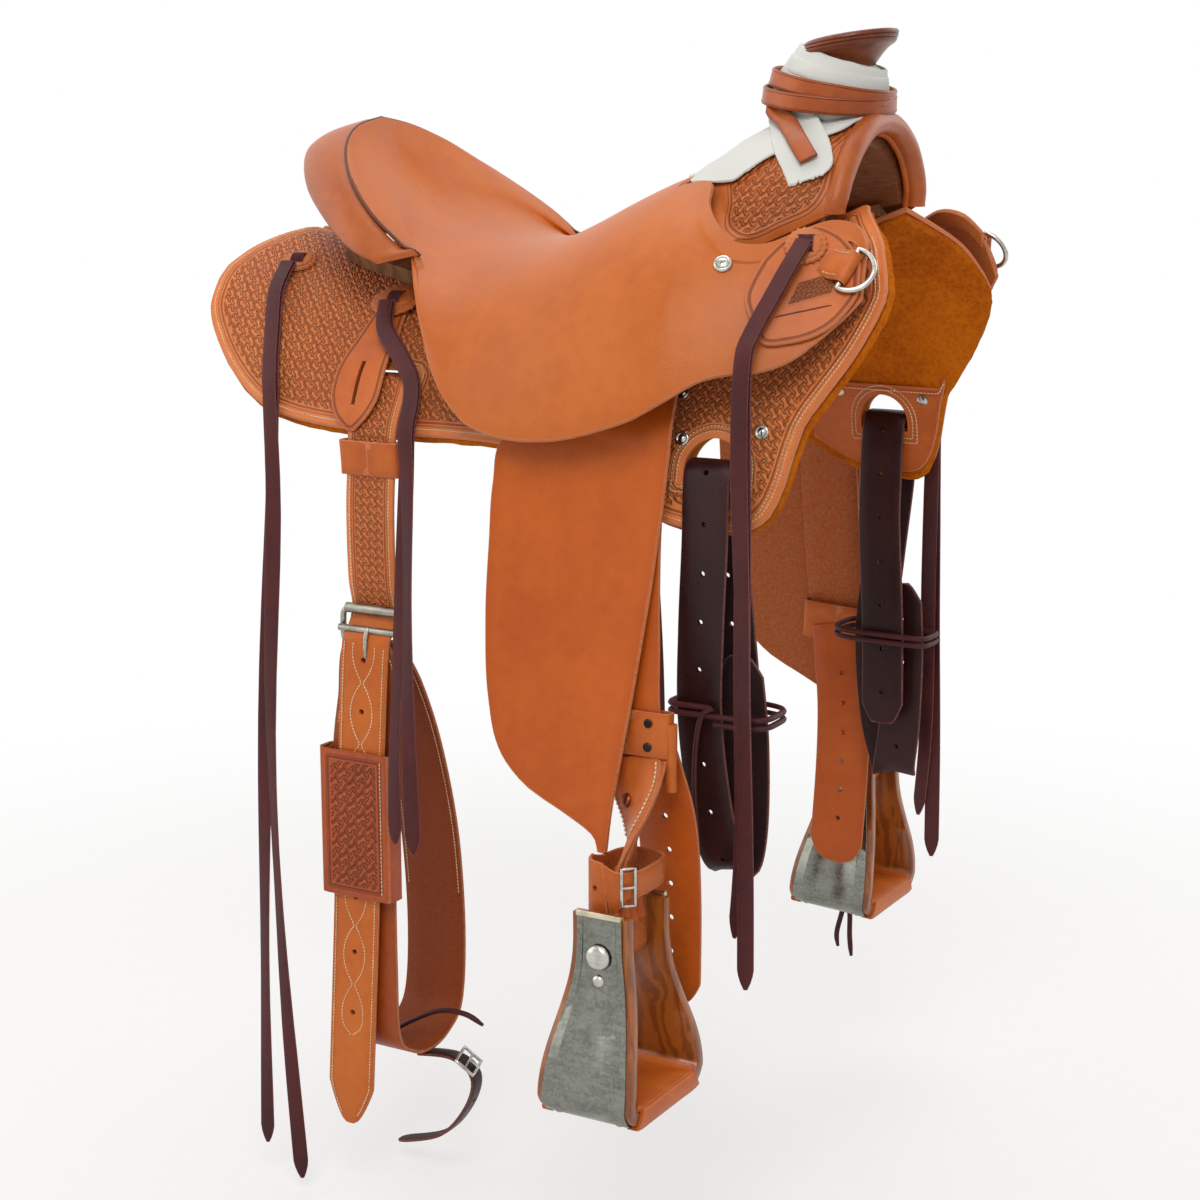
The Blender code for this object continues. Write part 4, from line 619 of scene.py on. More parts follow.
LINING = Leather("lining_skin", srgb(96, 40, 10), srgb(74, 28, 6), srgb(150, 90, 50), edge_wear_and_shade=0.004)
LATIGO = Leather("latigo_skin", srgb(52, 20, 20), srgb(34, 11, 12), srgb(150, 88, 80),
                 srgb(48, 20, 20), roughness=0.40, edge_wear_and_shade=0.002, edge_width=0.0012, coat=0.03)
LACE = Leather("lace_skin", srgb(86, 36, 38), srgb(60, 24, 27), srgb(150, 92, 88),
               srgb(74, 34, 36), roughness=0.55, edge_wear_and_shade=0.001, edge_width=0.0007, coat=0.0)
TOOLED_COVER = Leather("tooled_cover", srgb(208, 114, 50), srgb(184, 90, 32),
                       recess=srgb(112, 50, 24), stamp=Stamp.WHIRL, cell=0.0086, border=0.0150,
                       groove=0.0130, edge_wear_and_shade=0.002)
ROSETTE = Leather("rosette_skin", srgb(204, 116, 56), srgb(170, 84, 34), edge_wear_and_shade=0.003, groove=0.0)
FLAP = Leather("flap_skin", srgb(206, 110, 48), srgb(184, 88, 34), edge_wear_and_shade=0.003, groove=0.0034)
PANEL = Leather("panel_skin", srgb(200, 106, 46), srgb(166, 78, 30), recess=srgb(104, 46, 20),
                stamp=Stamp.WHIRL, cell=0.0040, border=0.0012, edge_wear_and_shade=0.001)
BILLET = Leather("billet_skin", srgb(204, 108, 36), srgb(182, 86, 22), edge_wear_and_shade=0.003)
CINCH = Leather("cinch_skin", srgb(168, 78, 26), srgb(142, 58, 16), flesh=srgb(142, 72, 34),
                edge_wear_and_shade=0.004)
KEEPER = Leather("keeper_skin", srgb(184, 86, 42), srgb(152, 64, 28), recess=srgb(84, 32, 14),
                 stamp=Stamp.WHIRL, cell=0.0105, border=0.0110, groove=0.0085, edge_wear_and_shade=0.003)
HIDE = Hide("white_hide")
WOOL = Wool("golden_fleece", srgb(196, 104, 10), srgb(164, 76, 4))
WOOD = Wood("varnished_wood", srgb(172, 96, 30), srgb(120, 58, 14))
TREE_WOOD = Wood("tree_wood", srgb(150, 104, 62), srgb(104, 66, 36), roughness=0.6, coat=0.0)
NICKEL = Metal("nickel", srgb(206, 204, 196), srgb(150, 150, 144), 0.20)
ZINC = Metal("galvanised_steel", srgb(138, 139, 130), srgb(108, 110, 102), 0.24, 420.0)
# Painted highlight: the stirrup's steel, lighter on its rolled edges where they catch the light.
HIGHLIT_STEEL = Metal("highlit_steel_edge", srgb(222, 214, 190), srgb(170, 160, 132), 0.20)
RIVET = Metal("brown_rivet", srgb(150, 84, 52), srgb(104, 52, 32), 0.35)
DARK_METAL = Metal("dark_stud", srgb(58, 52, 46), srgb(36, 32, 28), 0.35)
OLD_NICKEL = Metal("worn_nickel", srgb(176, 172, 160), srgb(118, 114, 104), 0.26)
THREAD = Thread("linen_thread")


# Meshes.

def carried_frames(path: Sequence[Vector], closed: bool = False) -> list[tuple[Vector, Vector]]:
    """Two directions across a line at each point, carried along without a twist.

    Args:
        path: The line.
        closed: Whether its end joins its start.

    Returns:
        A pair of unit vectors for each point.
    """
    ways = directions(path, closed)
    u = ways[0].orthogonal().normalized()
    out = []
    for way in ways:
        u = (u - way * u.dot(way)).normalized()
        out.append((u, way.cross(u)))
    if closed:
        end = out[-1][0]
        end = (end - ways[0] * end.dot(ways[0])).normalized()
        slip = math.atan2(out[0][1].dot(end), out[0][0].dot(end))
        n = len(path)
        out = [(u * math.cos(a) + v * math.sin(a), v * math.cos(a) - u * math.sin(a))
               for (u, v), a in zip(out, (-slip * k / n for k in range(n)))]
    return out


@dataclass
class Strap:
    """A flat strap along a line, with rounded edges.

    Args:
        path: Middle line.
        across: Direction of the width at each point, or one for all.
        width: Width at each point, or one for all.
        thick: Thickness.
        crown: How far the grain side bulges in the middle.
    """

    path: list[Vector]
    across: Vector | list[Vector]
    width: float | list[float]
    thick: float
    crown: float = 0.0

    def __post_init__(self) -> None:
        """Give every point its own width and directions."""
        n = len(self.path)
        if isinstance(self.across, Vector):
            self.across = [self.across] * n
        if isinstance(self.width, (int, float)):
            self.width = [self.width] * n
        ways = directions(self.path)
        self.across = [(a - w * a.dot(w)).normalized() for a, w in zip(self.across, ways)]
        self.normal = [w.cross(a).normalized() for a, w in zip(self.across, ways)]

    def tapered(self, start: float, end: float, reach: float, blunt: float = 0.25) -> "Strap":
        """Narrow the ends.

        Args:
            start: Share of the width left at the start.
            end: Share left at the end.
            reach: Length over which an end narrows.
            blunt: How full the taper is.

        Returns:
            This strap.
        """
        run, total = 0.0, length_of(self.path)
        for i, p in enumerate(self.path):
            run += (p - self.path[i - 1]).length if i else 0.0
            for share, near in ((start, run), (end, total - run)):
                if near < reach:
                    self.width[i] *= lerp(share, 1.0, (near / reach) ** (1 - blunt))
        return self

    def facing(self, way: Vector, index: int) -> "Strap":
        """This strap, with its grain side turned to a direction at one of its points."""
        if self.normal[index].dot(way) < 0:
            self.across, self.normal = [-a for a in self.across], [-n for n in self.normal]
        return self

    def at(self, index: int, u: float = 0.0, proud: float = 0.0) -> Vector:
        """A point on the grain side: u from the middle line, proud of the surface."""
        return (self.path[index] + self.across[index] * u
                + self.normal[index] * (self.thick / 2 + proud))

    def line(self, u: float, proud: float = 0.0, first: int = 0, last: int | None = None,
             from_edge: bool = False) -> list[Vector]:
        """A line along the grain side.

        Args:
            u: Distance from the middle, or from the edge on its own side.
            proud: Height over the surface.
            first: First point.
            last: Last point.
            from_edge: Whether u is measured inwards from the edge.

        Returns:
            Its points.
        """
        stop = len(self.path) if last is None else last
        out = []
        for i in range(first, stop):
            d = math.copysign(self.width[i] / 2 - abs(u), u) if from_edge else u
            out.append(self.at(i, d, proud))
        return out


@dataclass
class Shape:
    """Points, faces and lay of a mesh in the making."""

    points: list[Vector] = field(default_factory=list)
    faces: list[Face] = field(default_factory=list)
    lay: list[Lay] = field(default_factory=list)

    def add(self, points: Sequence[Vector], faces: Sequence[Face],
            lay: Sequence[Lay] | None = None) -> "Shape":
        """Add points and faces, and give back this shape."""
        start = len(self.points)
        self.points += [Vector(p) for p in points]
        self.faces += [tuple(start + i for i in f) for f in faces]
        self.lay += list(lay) if lay else [(p[0], p[2], 0.02) for p in points]
        return self

    def rings(self, rings: Sequence[Sequence[Vector]], lay: Sequence[Lay] | None = None,
              closed: bool = False) -> "Shape":
        """Skin a row of rings, closed by a fan at each end or joined into a loop."""
        n, count = len(rings[0]), len(rings)
        points = [p for ring in rings for p in ring]
        faces = []
        for k in range(count if closed else count - 1):
            a, b = k * n, ((k + 1) % count) * n
            faces += [(a + i, a + (i + 1) % n, b + (i + 1) % n, b + i) for i in range(n)]
        lay = list(lay) if lay else [(p[0], p[2], 0.02) for p in points]
        if not closed:
            for start in (0, (count - 1) * n):
                points.append(sum((points[start + i] for i in range(n)), Vector()) / n)
                lay.append(tuple(np.mean([lay[start + i] for i in range(n)], axis=0)))
                faces += [(start + i, start + (i + 1) % n, len(points) - 1) for i in range(n)]
        return self.add(points, faces, lay)

    def strap(self, strap: Strap, closed: bool = False) -> "Shape":
        """Add a strap with rounded edges."""
        rings, lay, run, total = [], [], 0.0, length_of(strap.path)
        for i, p in enumerate(strap.path):
            run += (p - strap.path[i - 1]).length if i else 0.0
            half, thick = strap.width[i] / 2, strap.thick / 2
            soft = min(thick * 0.9, half * 0.5)
            flat = half - soft
            top = [(flat * k / 2, thick + strap.crown * (1 - (k / 2) ** 2))
                   for k in (-2, -1, 0, 1, 2)]
            side = [(half - 0.3 * soft, thick * 0.7), (half, 0.0),
                    (half - 0.3 * soft, -thick * 0.7)]
            low = [(-x, -thick) for x, _ in top]
            ring = top + side + low + [(-x, -h) for x, h in side]
            rings.append([p + strap.across[i] * x + strap.normal[i] * h for x, h in ring])
            near = 1.0 if closed else min(run, total - run)
            for k, (x, h) in enumerate(ring):
                inside = max(0.0, min(half - abs(x), near))
                inside += 0.0001 if abs(h) > thick * 0.5 else 0
                lay.append((x, run, inside if k < 5 else -inside if 8 <= k < 13 else 0.0))
        return self.rings(rings, lay, closed)

    def tube(self, path: Sequence[Vector], radius: float | Sequence[float], sides: int = 10,
             closed: bool = False, flat: float = 1.0) -> "Shape":
        """Add a round cord or wire.

        Args:
            path: Its middle line.
            radius: Radius, or one for each point.
            sides: Points round it.
            closed: Whether its ends meet.
            flat: Thickness as a share of the width.

        Returns:
            This shape.
        """
        radii = [radius] * len(path) if isinstance(radius, (int, float)) else radius
        rings, lay, run = [], [], 0.0
        for i, (p, (u, v)) in enumerate(zip(path, carried_frames(path, closed))):
            run += (p - path[i - 1]).length if i else 0.0
            ring = [p + radii[i] * (u * math.cos(a) + v * math.sin(a) * flat)
                    for a in round_angles(sides)]
            rings.append(ring)
            lay += [(radii[i] * k / sides, run, 0.01) for k in range(sides)]
        return self.rings(rings, lay, closed)

    def turned(self, profile: Sequence[tuple[float, float]], centre: Vector, axis: Vector,
               sides: int = 32, scallop: float = 0.0, lobes: int = 0) -> "Shape":
        """Add a piece turned round an axis.

        Args:
            profile: Pairs of radius and height.
            centre: Where height is nought.
            axis: Which way is up.
            sides: Points round it.
            scallop: Depth of the scallops on the rim, as a share of the radius.
            lobes: How many scallops.

        Returns:
            This shape.
        """
        axis = Vector(axis).normalized()
        u = axis.orthogonal().normalized()
        v = axis.cross(u)
        widest = max(r for r, _ in profile)
        rings, lay = [], []
        for r, h in profile:
            ring = []
            for a in round_angles(sides):
                bite = 1 - scallop * abs(math.sin(a * lobes / 2)) ** 0.6 if r > widest * 0.9 else 1
                ring.append(Vector(centre) + axis * h
                            + r * bite * (u * math.cos(a) + v * math.sin(a)))
                lay.append((r * math.cos(a), r * math.sin(a), widest - r))
            rings.append(ring)
        return self.rings(rings, lay)

    def stitches(self, path: Sequence[Vector], facing: Vector | Callable[[Vector], Vector],
                 pitch: float = 0.0036, radius: float = 0.00055) -> "Shape":
        """Add a row of stitches.

        Args:
            path: The seam.
            facing: Which way the leather faces, or a function that tells it at a point.
            pitch: Length of one stitch with its gap.
            radius: Radius of the thread.

        Returns:
            This shape.
        """
        marks = even(path, pitch)
        for a, b in zip(marks, marks[1:]):
            up = facing(a) if callable(facing) else facing
            along = b - a
            way = along.normalized()
            side = up.cross(way).normalized()
            rings = []
            for t, swell, lift in ((0.10, 0.45, -0.3), (0.24, 1.0, 0.25), (0.5, 1.1, 0.5),
                                   (0.76, 1.0, 0.25), (0.90, 0.45, -0.3)):
                middle = a + along * t + up * radius * lift
                rings.append([middle + radius * swell * (side * math.cos(c) + up * math.sin(c))
                              for c in round_angles(6)])
            self.rings(rings)
        return self

    def sheet(self, points: Sequence[Vector], faces: Sequence[Face], thick: float,
              out: Callable[[Vector], Vector],
              lay: Callable[[Vector], tuple[float, float]]) -> "Shape":
        """Add a closed sheet whose grain side is the given surface.

        Args:
            points: Points of the grain side.
            faces: Faces between them.
            thick: Thickness of the leather.
            out: Rough direction away from the flesh side.
            lay: Distance across and along of a point.

        Returns:
            This shape.
        """
        used = sorted({i for f in faces for i in f})
        renumber = {old: new for new, old in enumerate(used)}
        points = [Vector(points[i]) for i in used]
        faces = [tuple(renumber[i] for i in f) for f in faces]
        normals = [Vector() for _ in points]
        for f in faces:
            a, b, c = (points[i] for i in (f[0], f[1], f[-1]))
            n = (b - a).cross(c - a)
            for i in f:
                normals[i] += n
        if sum(n.dot(out(p)) for n, p in zip(normals, points)) < 0:
            normals = [-n for n in normals]
        normals = [n.normalized() for n in normals]
        pairs = {(a, b) for f in faces for a, b in zip(f, f[1:] + f[:1])}
        border = [(a, b) for a, b in pairs if (b, a) not in pairs]
        inside = edge_distance(points, border)
        low = [p - n * thick for p, n in zip(points, normals)]
        outward = {}
        for a, b in border:
            side = (points[b] - points[a]).cross(normals[a])
            for i in (a, b):
                outward[i] = outward.get(i, Vector()) + side
        rim = sorted(outward)
        place = {i: 2 * len(points) + k for k, i in enumerate(rim)}
        centre = sum(points, Vector()) / len(points)
        sign = 1 if sum(outward[i].dot(points[i] - centre) for i in rim) > 0 else -1
        middle = [(points[i] + low[i]) / 2 + outward[i].normalized() * sign * thick * 0.3
                  for i in rim]
        n = len(points)
        walls = [(a, b, place[b], place[a]) for a, b in border]
        walls += [(place[a], place[b], b + n, a + n) for a, b in border]
        back = [tuple(i + n for i in reversed(f)) for f in faces]
        spots = [lay(p) for p in points]
        marks = [(*s, float(d) + 0.0001) for s, d in zip(spots, inside)]
        marks += [(*s, -float(d) - 0.0001) for s, d in zip(spots, inside)]
        marks += [(*spots[i], 0.0) for i in rim]
        return self.add(points + low + middle, faces + back + walls, marks)


def sheet_over(rows: Sequence[Sequence[Vector]], thick: float, out: Callable[[Vector], Vector],
               lay: Callable[[Vector], tuple[float, float]]) -> Shape:
    """A closed sheet over rows of points: see Shape.sheet."""
    return Shape().sheet([p for row in rows for p in row], grid_faces(len(rows), len(rows[0])),
                         thick, out, lay)


def edge_distance(points: Sequence[Vector], border: Sequence[tuple[int, int]]) -> np.ndarray:
    """Distance of each point from the nearest border edge.

    Args:
        points: Points of a sheet.
        border: Pairs of points that end its faces.

    Returns:
        One distance for each point.
    """
    co = np.array(points)
    a = co[[i for i, _ in border]]
    d = co[[j for _, j in border]] - a
    size = np.maximum((d * d).sum(1), 1e-12)
    best = np.full(len(co), 1e9)
    for p0, dd, ss in zip(a, d, size):
        t = np.clip((co - p0) @ dd / ss, 0, 1)
        gap = co - p0 - t[:, None] * dd
        best = np.minimum(best, np.einsum("ij,ij->i", gap, gap))
    return np.sqrt(best)


def settle(obj: bpy.types.Object) -> None:
    """Turn an object's modifiers into its mesh."""
    graph = bpy.context.evaluated_depsgraph_get()
    mesh = bpy.data.meshes.new_from_object(obj.evaluated_get(graph), depsgraph=graph)
    obj.modifiers.clear()
    obj.data = mesh


def mesh_object(name: str, shape: Shape) -> bpy.types.Object:
    """An object of a shape, with its lay kept on the points."""
    mesh = bpy.data.meshes.new(name)
    mesh.from_pydata([tuple(p) for p in shape.points], [], shape.faces)
    lay = mesh.attributes.new("lay", "FLOAT_VECTOR", "POINT")
    lay.data.foreach_set("vector", np.array(shape.lay, np.float32).ravel())
    bm = bmesh.new()
    bm.from_mesh(mesh)
    bmesh.ops.recalc_face_normals(bm, faces=bm.faces)
    bm.to_mesh(mesh)
    bm.free()
    obj = bpy.data.objects.new(name, mesh)
    bpy.context.scene.collection.objects.link(obj)
    return obj


def carry_lay(obj: bpy.types.Object, shape: Shape,
              relay: Callable[[Vector, Lay], Lay] | None) -> None:
    """Give each point of a cut piece the lay of the nearest spot of the whole one."""
    tree = BVHTree.FromPolygons(shape.points, shape.faces)
    marks = []
    for vertex in obj.data.vertices:
        spot, _, index, _ = tree.find_nearest(vertex.co)
        corners = shape.faces[index]
        weights = poly_3d_calc([shape.points[i] for i in corners], spot)
        lay = tuple(sum(w * shape.lay[i][k] for w, i in zip(weights, corners)) for k in range(3))
        marks.append(relay(vertex.co, lay) if relay else lay)
    kept = obj.data.attributes
    layer = kept.get("lay") or kept.new("lay", "FLOAT_VECTOR", "POINT")
    layer.data.foreach_set("vector", np.array(marks, np.float32).ravel())


@dataclass
class SubAssembly(ABC):
    """A group of pieces that are made and dressed together."""

    @abstractmethod
    def build(self) -> None:
        """Make every piece of the group."""

    def piece(self, name: str, shape: Shape, finish: Finish, body: str, slot: str,
              hides: Sequence[str] = (), bevel: float = 0.0, cut: Shape | None = None,
              sharp: float = 50.0, rough: float = 0.0,
              relay: Callable[[Vector, Lay], Lay] | None = None) -> bpy.types.Object:
        """Make one piece and fasten it to a body.

        Args:
            name: Name of the piece.
            shape: Its mesh.
            finish: What it is dressed in.
            body: Body that carries it.
            slot: The record's slot that its finish belongs to. Not used.
            hides: CAD nodes that it stands for.
            bevel: Width of the rounding on sharp edges.
            cut: Shape of the holes.
            sharp: Angle above which an edge stays sharp.
            rough: How far the surface is pushed in and out by noise.
            relay: Corrects the lay of each point after the cut.

        Returns:
            The piece.
        """
        obj = mesh_object(name, shape)
        if cut is not None:
            tool = mesh_object(name + "_tool", cut)
            boolean = obj.modifiers.new("cut", "BOOLEAN")
            boolean.object, boolean.solver = tool, "EXACT"
            settle(obj)
            bpy.data.objects.remove(tool, do_unlink=True)
            carry_lay(obj, shape, relay)
        if bevel > 0:
            rounding = obj.modifiers.new("round", "BEVEL")
            rounding.width, rounding.segments = bevel, 2
            rounding.limit_method, rounding.angle_limit = "ANGLE", math.radians(45)
            settle(obj)
        if rough > 0:
            normals = [v.normal.copy() for v in obj.data.vertices]
            for v, n in zip(obj.data.vertices, normals):
                v.co += n * rough * (noise.noise(v.co * 90) + 0.5 * noise.noise(v.co * 260))
        obj.data.shade_smooth()
        obj.data.set_sharp_from_angle(angle=math.radians(sharp))
        obj.data.materials.clear()
        obj.data.materials.append(finish.material())
        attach(obj, body)
        if hides:
            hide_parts(*hides)
        logging.getLogger(type(self).__name__).info("%s: %d faces", name, len(obj.data.polygons))
        return obj

    def hole_tool(self, spots: Sequence[tuple[Vector, Vector]], radius: float,
                  reach: float = 0.012) -> Shape:
        """Round holes at places on a strap.

        Args:
            spots: Each hole's middle and direction.
            radius: Radius of the holes.
            reach: How far the punch goes to each side.

        Returns:
            The punches.
        """
        tool = Shape()
        for middle, way in spots:
            tool.turned(((radius, -reach), (radius, reach)), middle, way, 12)
        return tool


# Forms that the pieces lie on.

@dataclass(frozen=True)
class HorseBack:
    """The horse's back: an elliptic section that rises to the withers and to the loin."""

    axis_z: float = -0.210
    half: float = 0.205
    narrowing: float = 0.028
    wither_rise: float = 0.090
    loin_rise: float = 0.035
    low_x: float = -0.020
    reach: float = 0.330
    skirt_top: float = 0.0166
    bar_top: float = 0.0356
    lay_radius: float = 0.215

    def half_width(self, x: float) -> float:
        """Half width of the back."""
        return self.half - self.narrowing * smooth((x - 0.05) / 0.28)

    def height(self, x: float) -> float:
        """Height of the back over its axis."""
        reach = (x - self.low_x) / self.reach
        return -self.axis_z + (self.wither_rise if reach > 0 else self.loin_rise) * reach ** 2

    def point(self, x: float, angle: float, lift: float, side: int) -> Vector:
        """A point at an angle from the spine, lifted off the back."""
        return Vector((x, side * (self.half_width(x) + lift) * math.sin(angle),
                       self.axis_z + (self.height(x) + lift) * math.cos(angle)))

    def angle(self, x: float, z: float, lift: float) -> float:
        """Angle at which the lifted back reaches a height."""
        ratio = (z - self.axis_z) / (self.height(x) + lift)
        return math.acos(max(-1.0, min(1.0, ratio)))

    def skirt(self, x: float, z: float, side: int, proud: float = 0.0) -> Vector:
        """A point on the skirt's grain side."""
        lift = self.skirt_top + proud
        return self.point(x, self.angle(x, z, lift), lift, side)

    def lay(self, p: Vector) -> tuple[float, float]:
        """Distance along the horse and round it."""
        return p.x, math.atan2(abs(p.y), p.z - self.axis_z) * self.lay_radius

    def out(self, p: Vector) -> Vector:
        """Direction away from the middle of the horse."""
        return p - Vector((p.x, 0.0, self.axis_z))

    def out_way(self, p: Vector) -> Vector:
        """The same direction at a length of one."""
        return self.out(p).normalized()


@dataclass(frozen=True)
class SeatForm:
    """Sides of the seat and jockeys."""

    crest: tuple = ((-0.250, 0.157), (-0.241, 0.135), (-0.229, 0.115), (-0.208, 0.093),
                    (-0.182, 0.074), (-0.148, 0.058), (-0.105, 0.048), (-0.050, 0.045),
                    (0.000, 0.052), (0.040, 0.068), (0.080, 0.088), (0.110, 0.102),
                    (0.135, 0.112), (0.200, 0.124), (0.300, 0.128))
    lowest: int = 7
    half: float = 0.262
    front_narrowing: float = 0.050
    squareness: float = 2.4
    front_squareness: float = 2.0
    narrow_from: float = 0.160
    narrow_length: float = 0.200

    def side_width(self, x: float, z: float) -> float:
        """Half width of the seat at a height."""
        blend = smooth((x - self.narrow_from) / self.narrow_length)
        power = lerp(self.squareness, self.front_squareness, blend)
        crest = read_off(self.crest[self.lowest:], x) - BACK.axis_z
        ratio = max(0.0, min(1.0, (z - BACK.axis_z) / crest))
        return (self.half - self.front_narrowing * blend) * (1.0 - ratio ** power) ** (1.0 / power)

    def at(self, x: float, z: float, side: int, proud: float = 0.0) -> Vector:
        """A point on the side of the seat, pushed out along the surface's normal."""
        def spot(px: float, pz: float) -> Vector:
            """A point on the surface."""
            return Vector((px, side * self.side_width(px, pz), pz))
        p = spot(x, z)
        n = (spot(x + 0.002, z) - p).cross(spot(x, z + 0.002) - p).normalized()
        return p + (n if n.y * side > 0 else -n) * proud


@dataclass(frozen=True)
class Rigging:
    """Where the straps hang in the skirts: x of both, and heights of bar and slot."""

    bar_x: float = 0.224
    bar_z: float = -0.165
    flank_x: float = -0.122
    flank_z: float = -0.078


BACK = HorseBack()
SEAT_FORM = SeatForm()
RIGGING = Rigging()


def normal_at(place: Place, side: int, x: float, z: float) -> Vector:
    """Outward normal of a side surface."""
    a, b, c = (place(x + dx, z + dz, side, 0.0) for dx, dz in ((0, 0), (0.003, 0), (0, 0.003)))
    n = (b - a).cross(c - a).normalized()
    return n if n.y * side > 0 else -n


def inset(outline: Sequence[tuple[float, float]], gap: float) -> list[tuple[float, float]]:
    """A closed flat outline moved inwards.

    Args:
        outline: Its corners.
        gap: How far to move.

    Returns:
        The inner outline.
    """
    n = len(outline)
    area = sum(outline[i - 1][0] * outline[i][1] - outline[i][0] * outline[i - 1][1]
               for i in range(n))
    turn = 1 if area > 0 else -1
    out = []
    for i, (x, y) in enumerate(outline):
        (ax, ay), (bx, by) = outline[i - 1], outline[(i + 1) % n]
        dx, dy = bx - ax, by - ay
        size = math.hypot(dx, dy) or 1.0
        out.append((x - turn * dy / size * gap, y + turn * dx / size * gap))
    return out


def gap_to(outline: Sequence[tuple[float, float]], x: float, z: float) -> float:
    """Distance to a closed flat outline, below zero outside it."""
    best, within = 1e9, False
    for (ax, az), (bx, bz) in zip(outline, list(outline[1:]) + [outline[0]]):
        dx, dz = bx - ax, bz - az
        t = max(0.0, min(1.0, ((x - ax) * dx + (z - az) * dz) / max(1e-12, dx * dx + dz * dz)))
        best = min(best, math.hypot(x - ax - t * dx, z - az - t * dz))
        if (az > z) != (bz > z) and x < ax + (z - az) / (bz - az) * dx:
            within = not within
    return best if within else -best


def prism(outline: Sequence[tuple[float, float]], side: int, near: float = 0.09,
          far: float = 0.30) -> Shape:
    """A punch across the horse through an outline of x and z."""
    return Shape().rings([[Vector((x, side * y, z)) for x, z in outline] for y in (near, far)])


# The place where it is looked at.

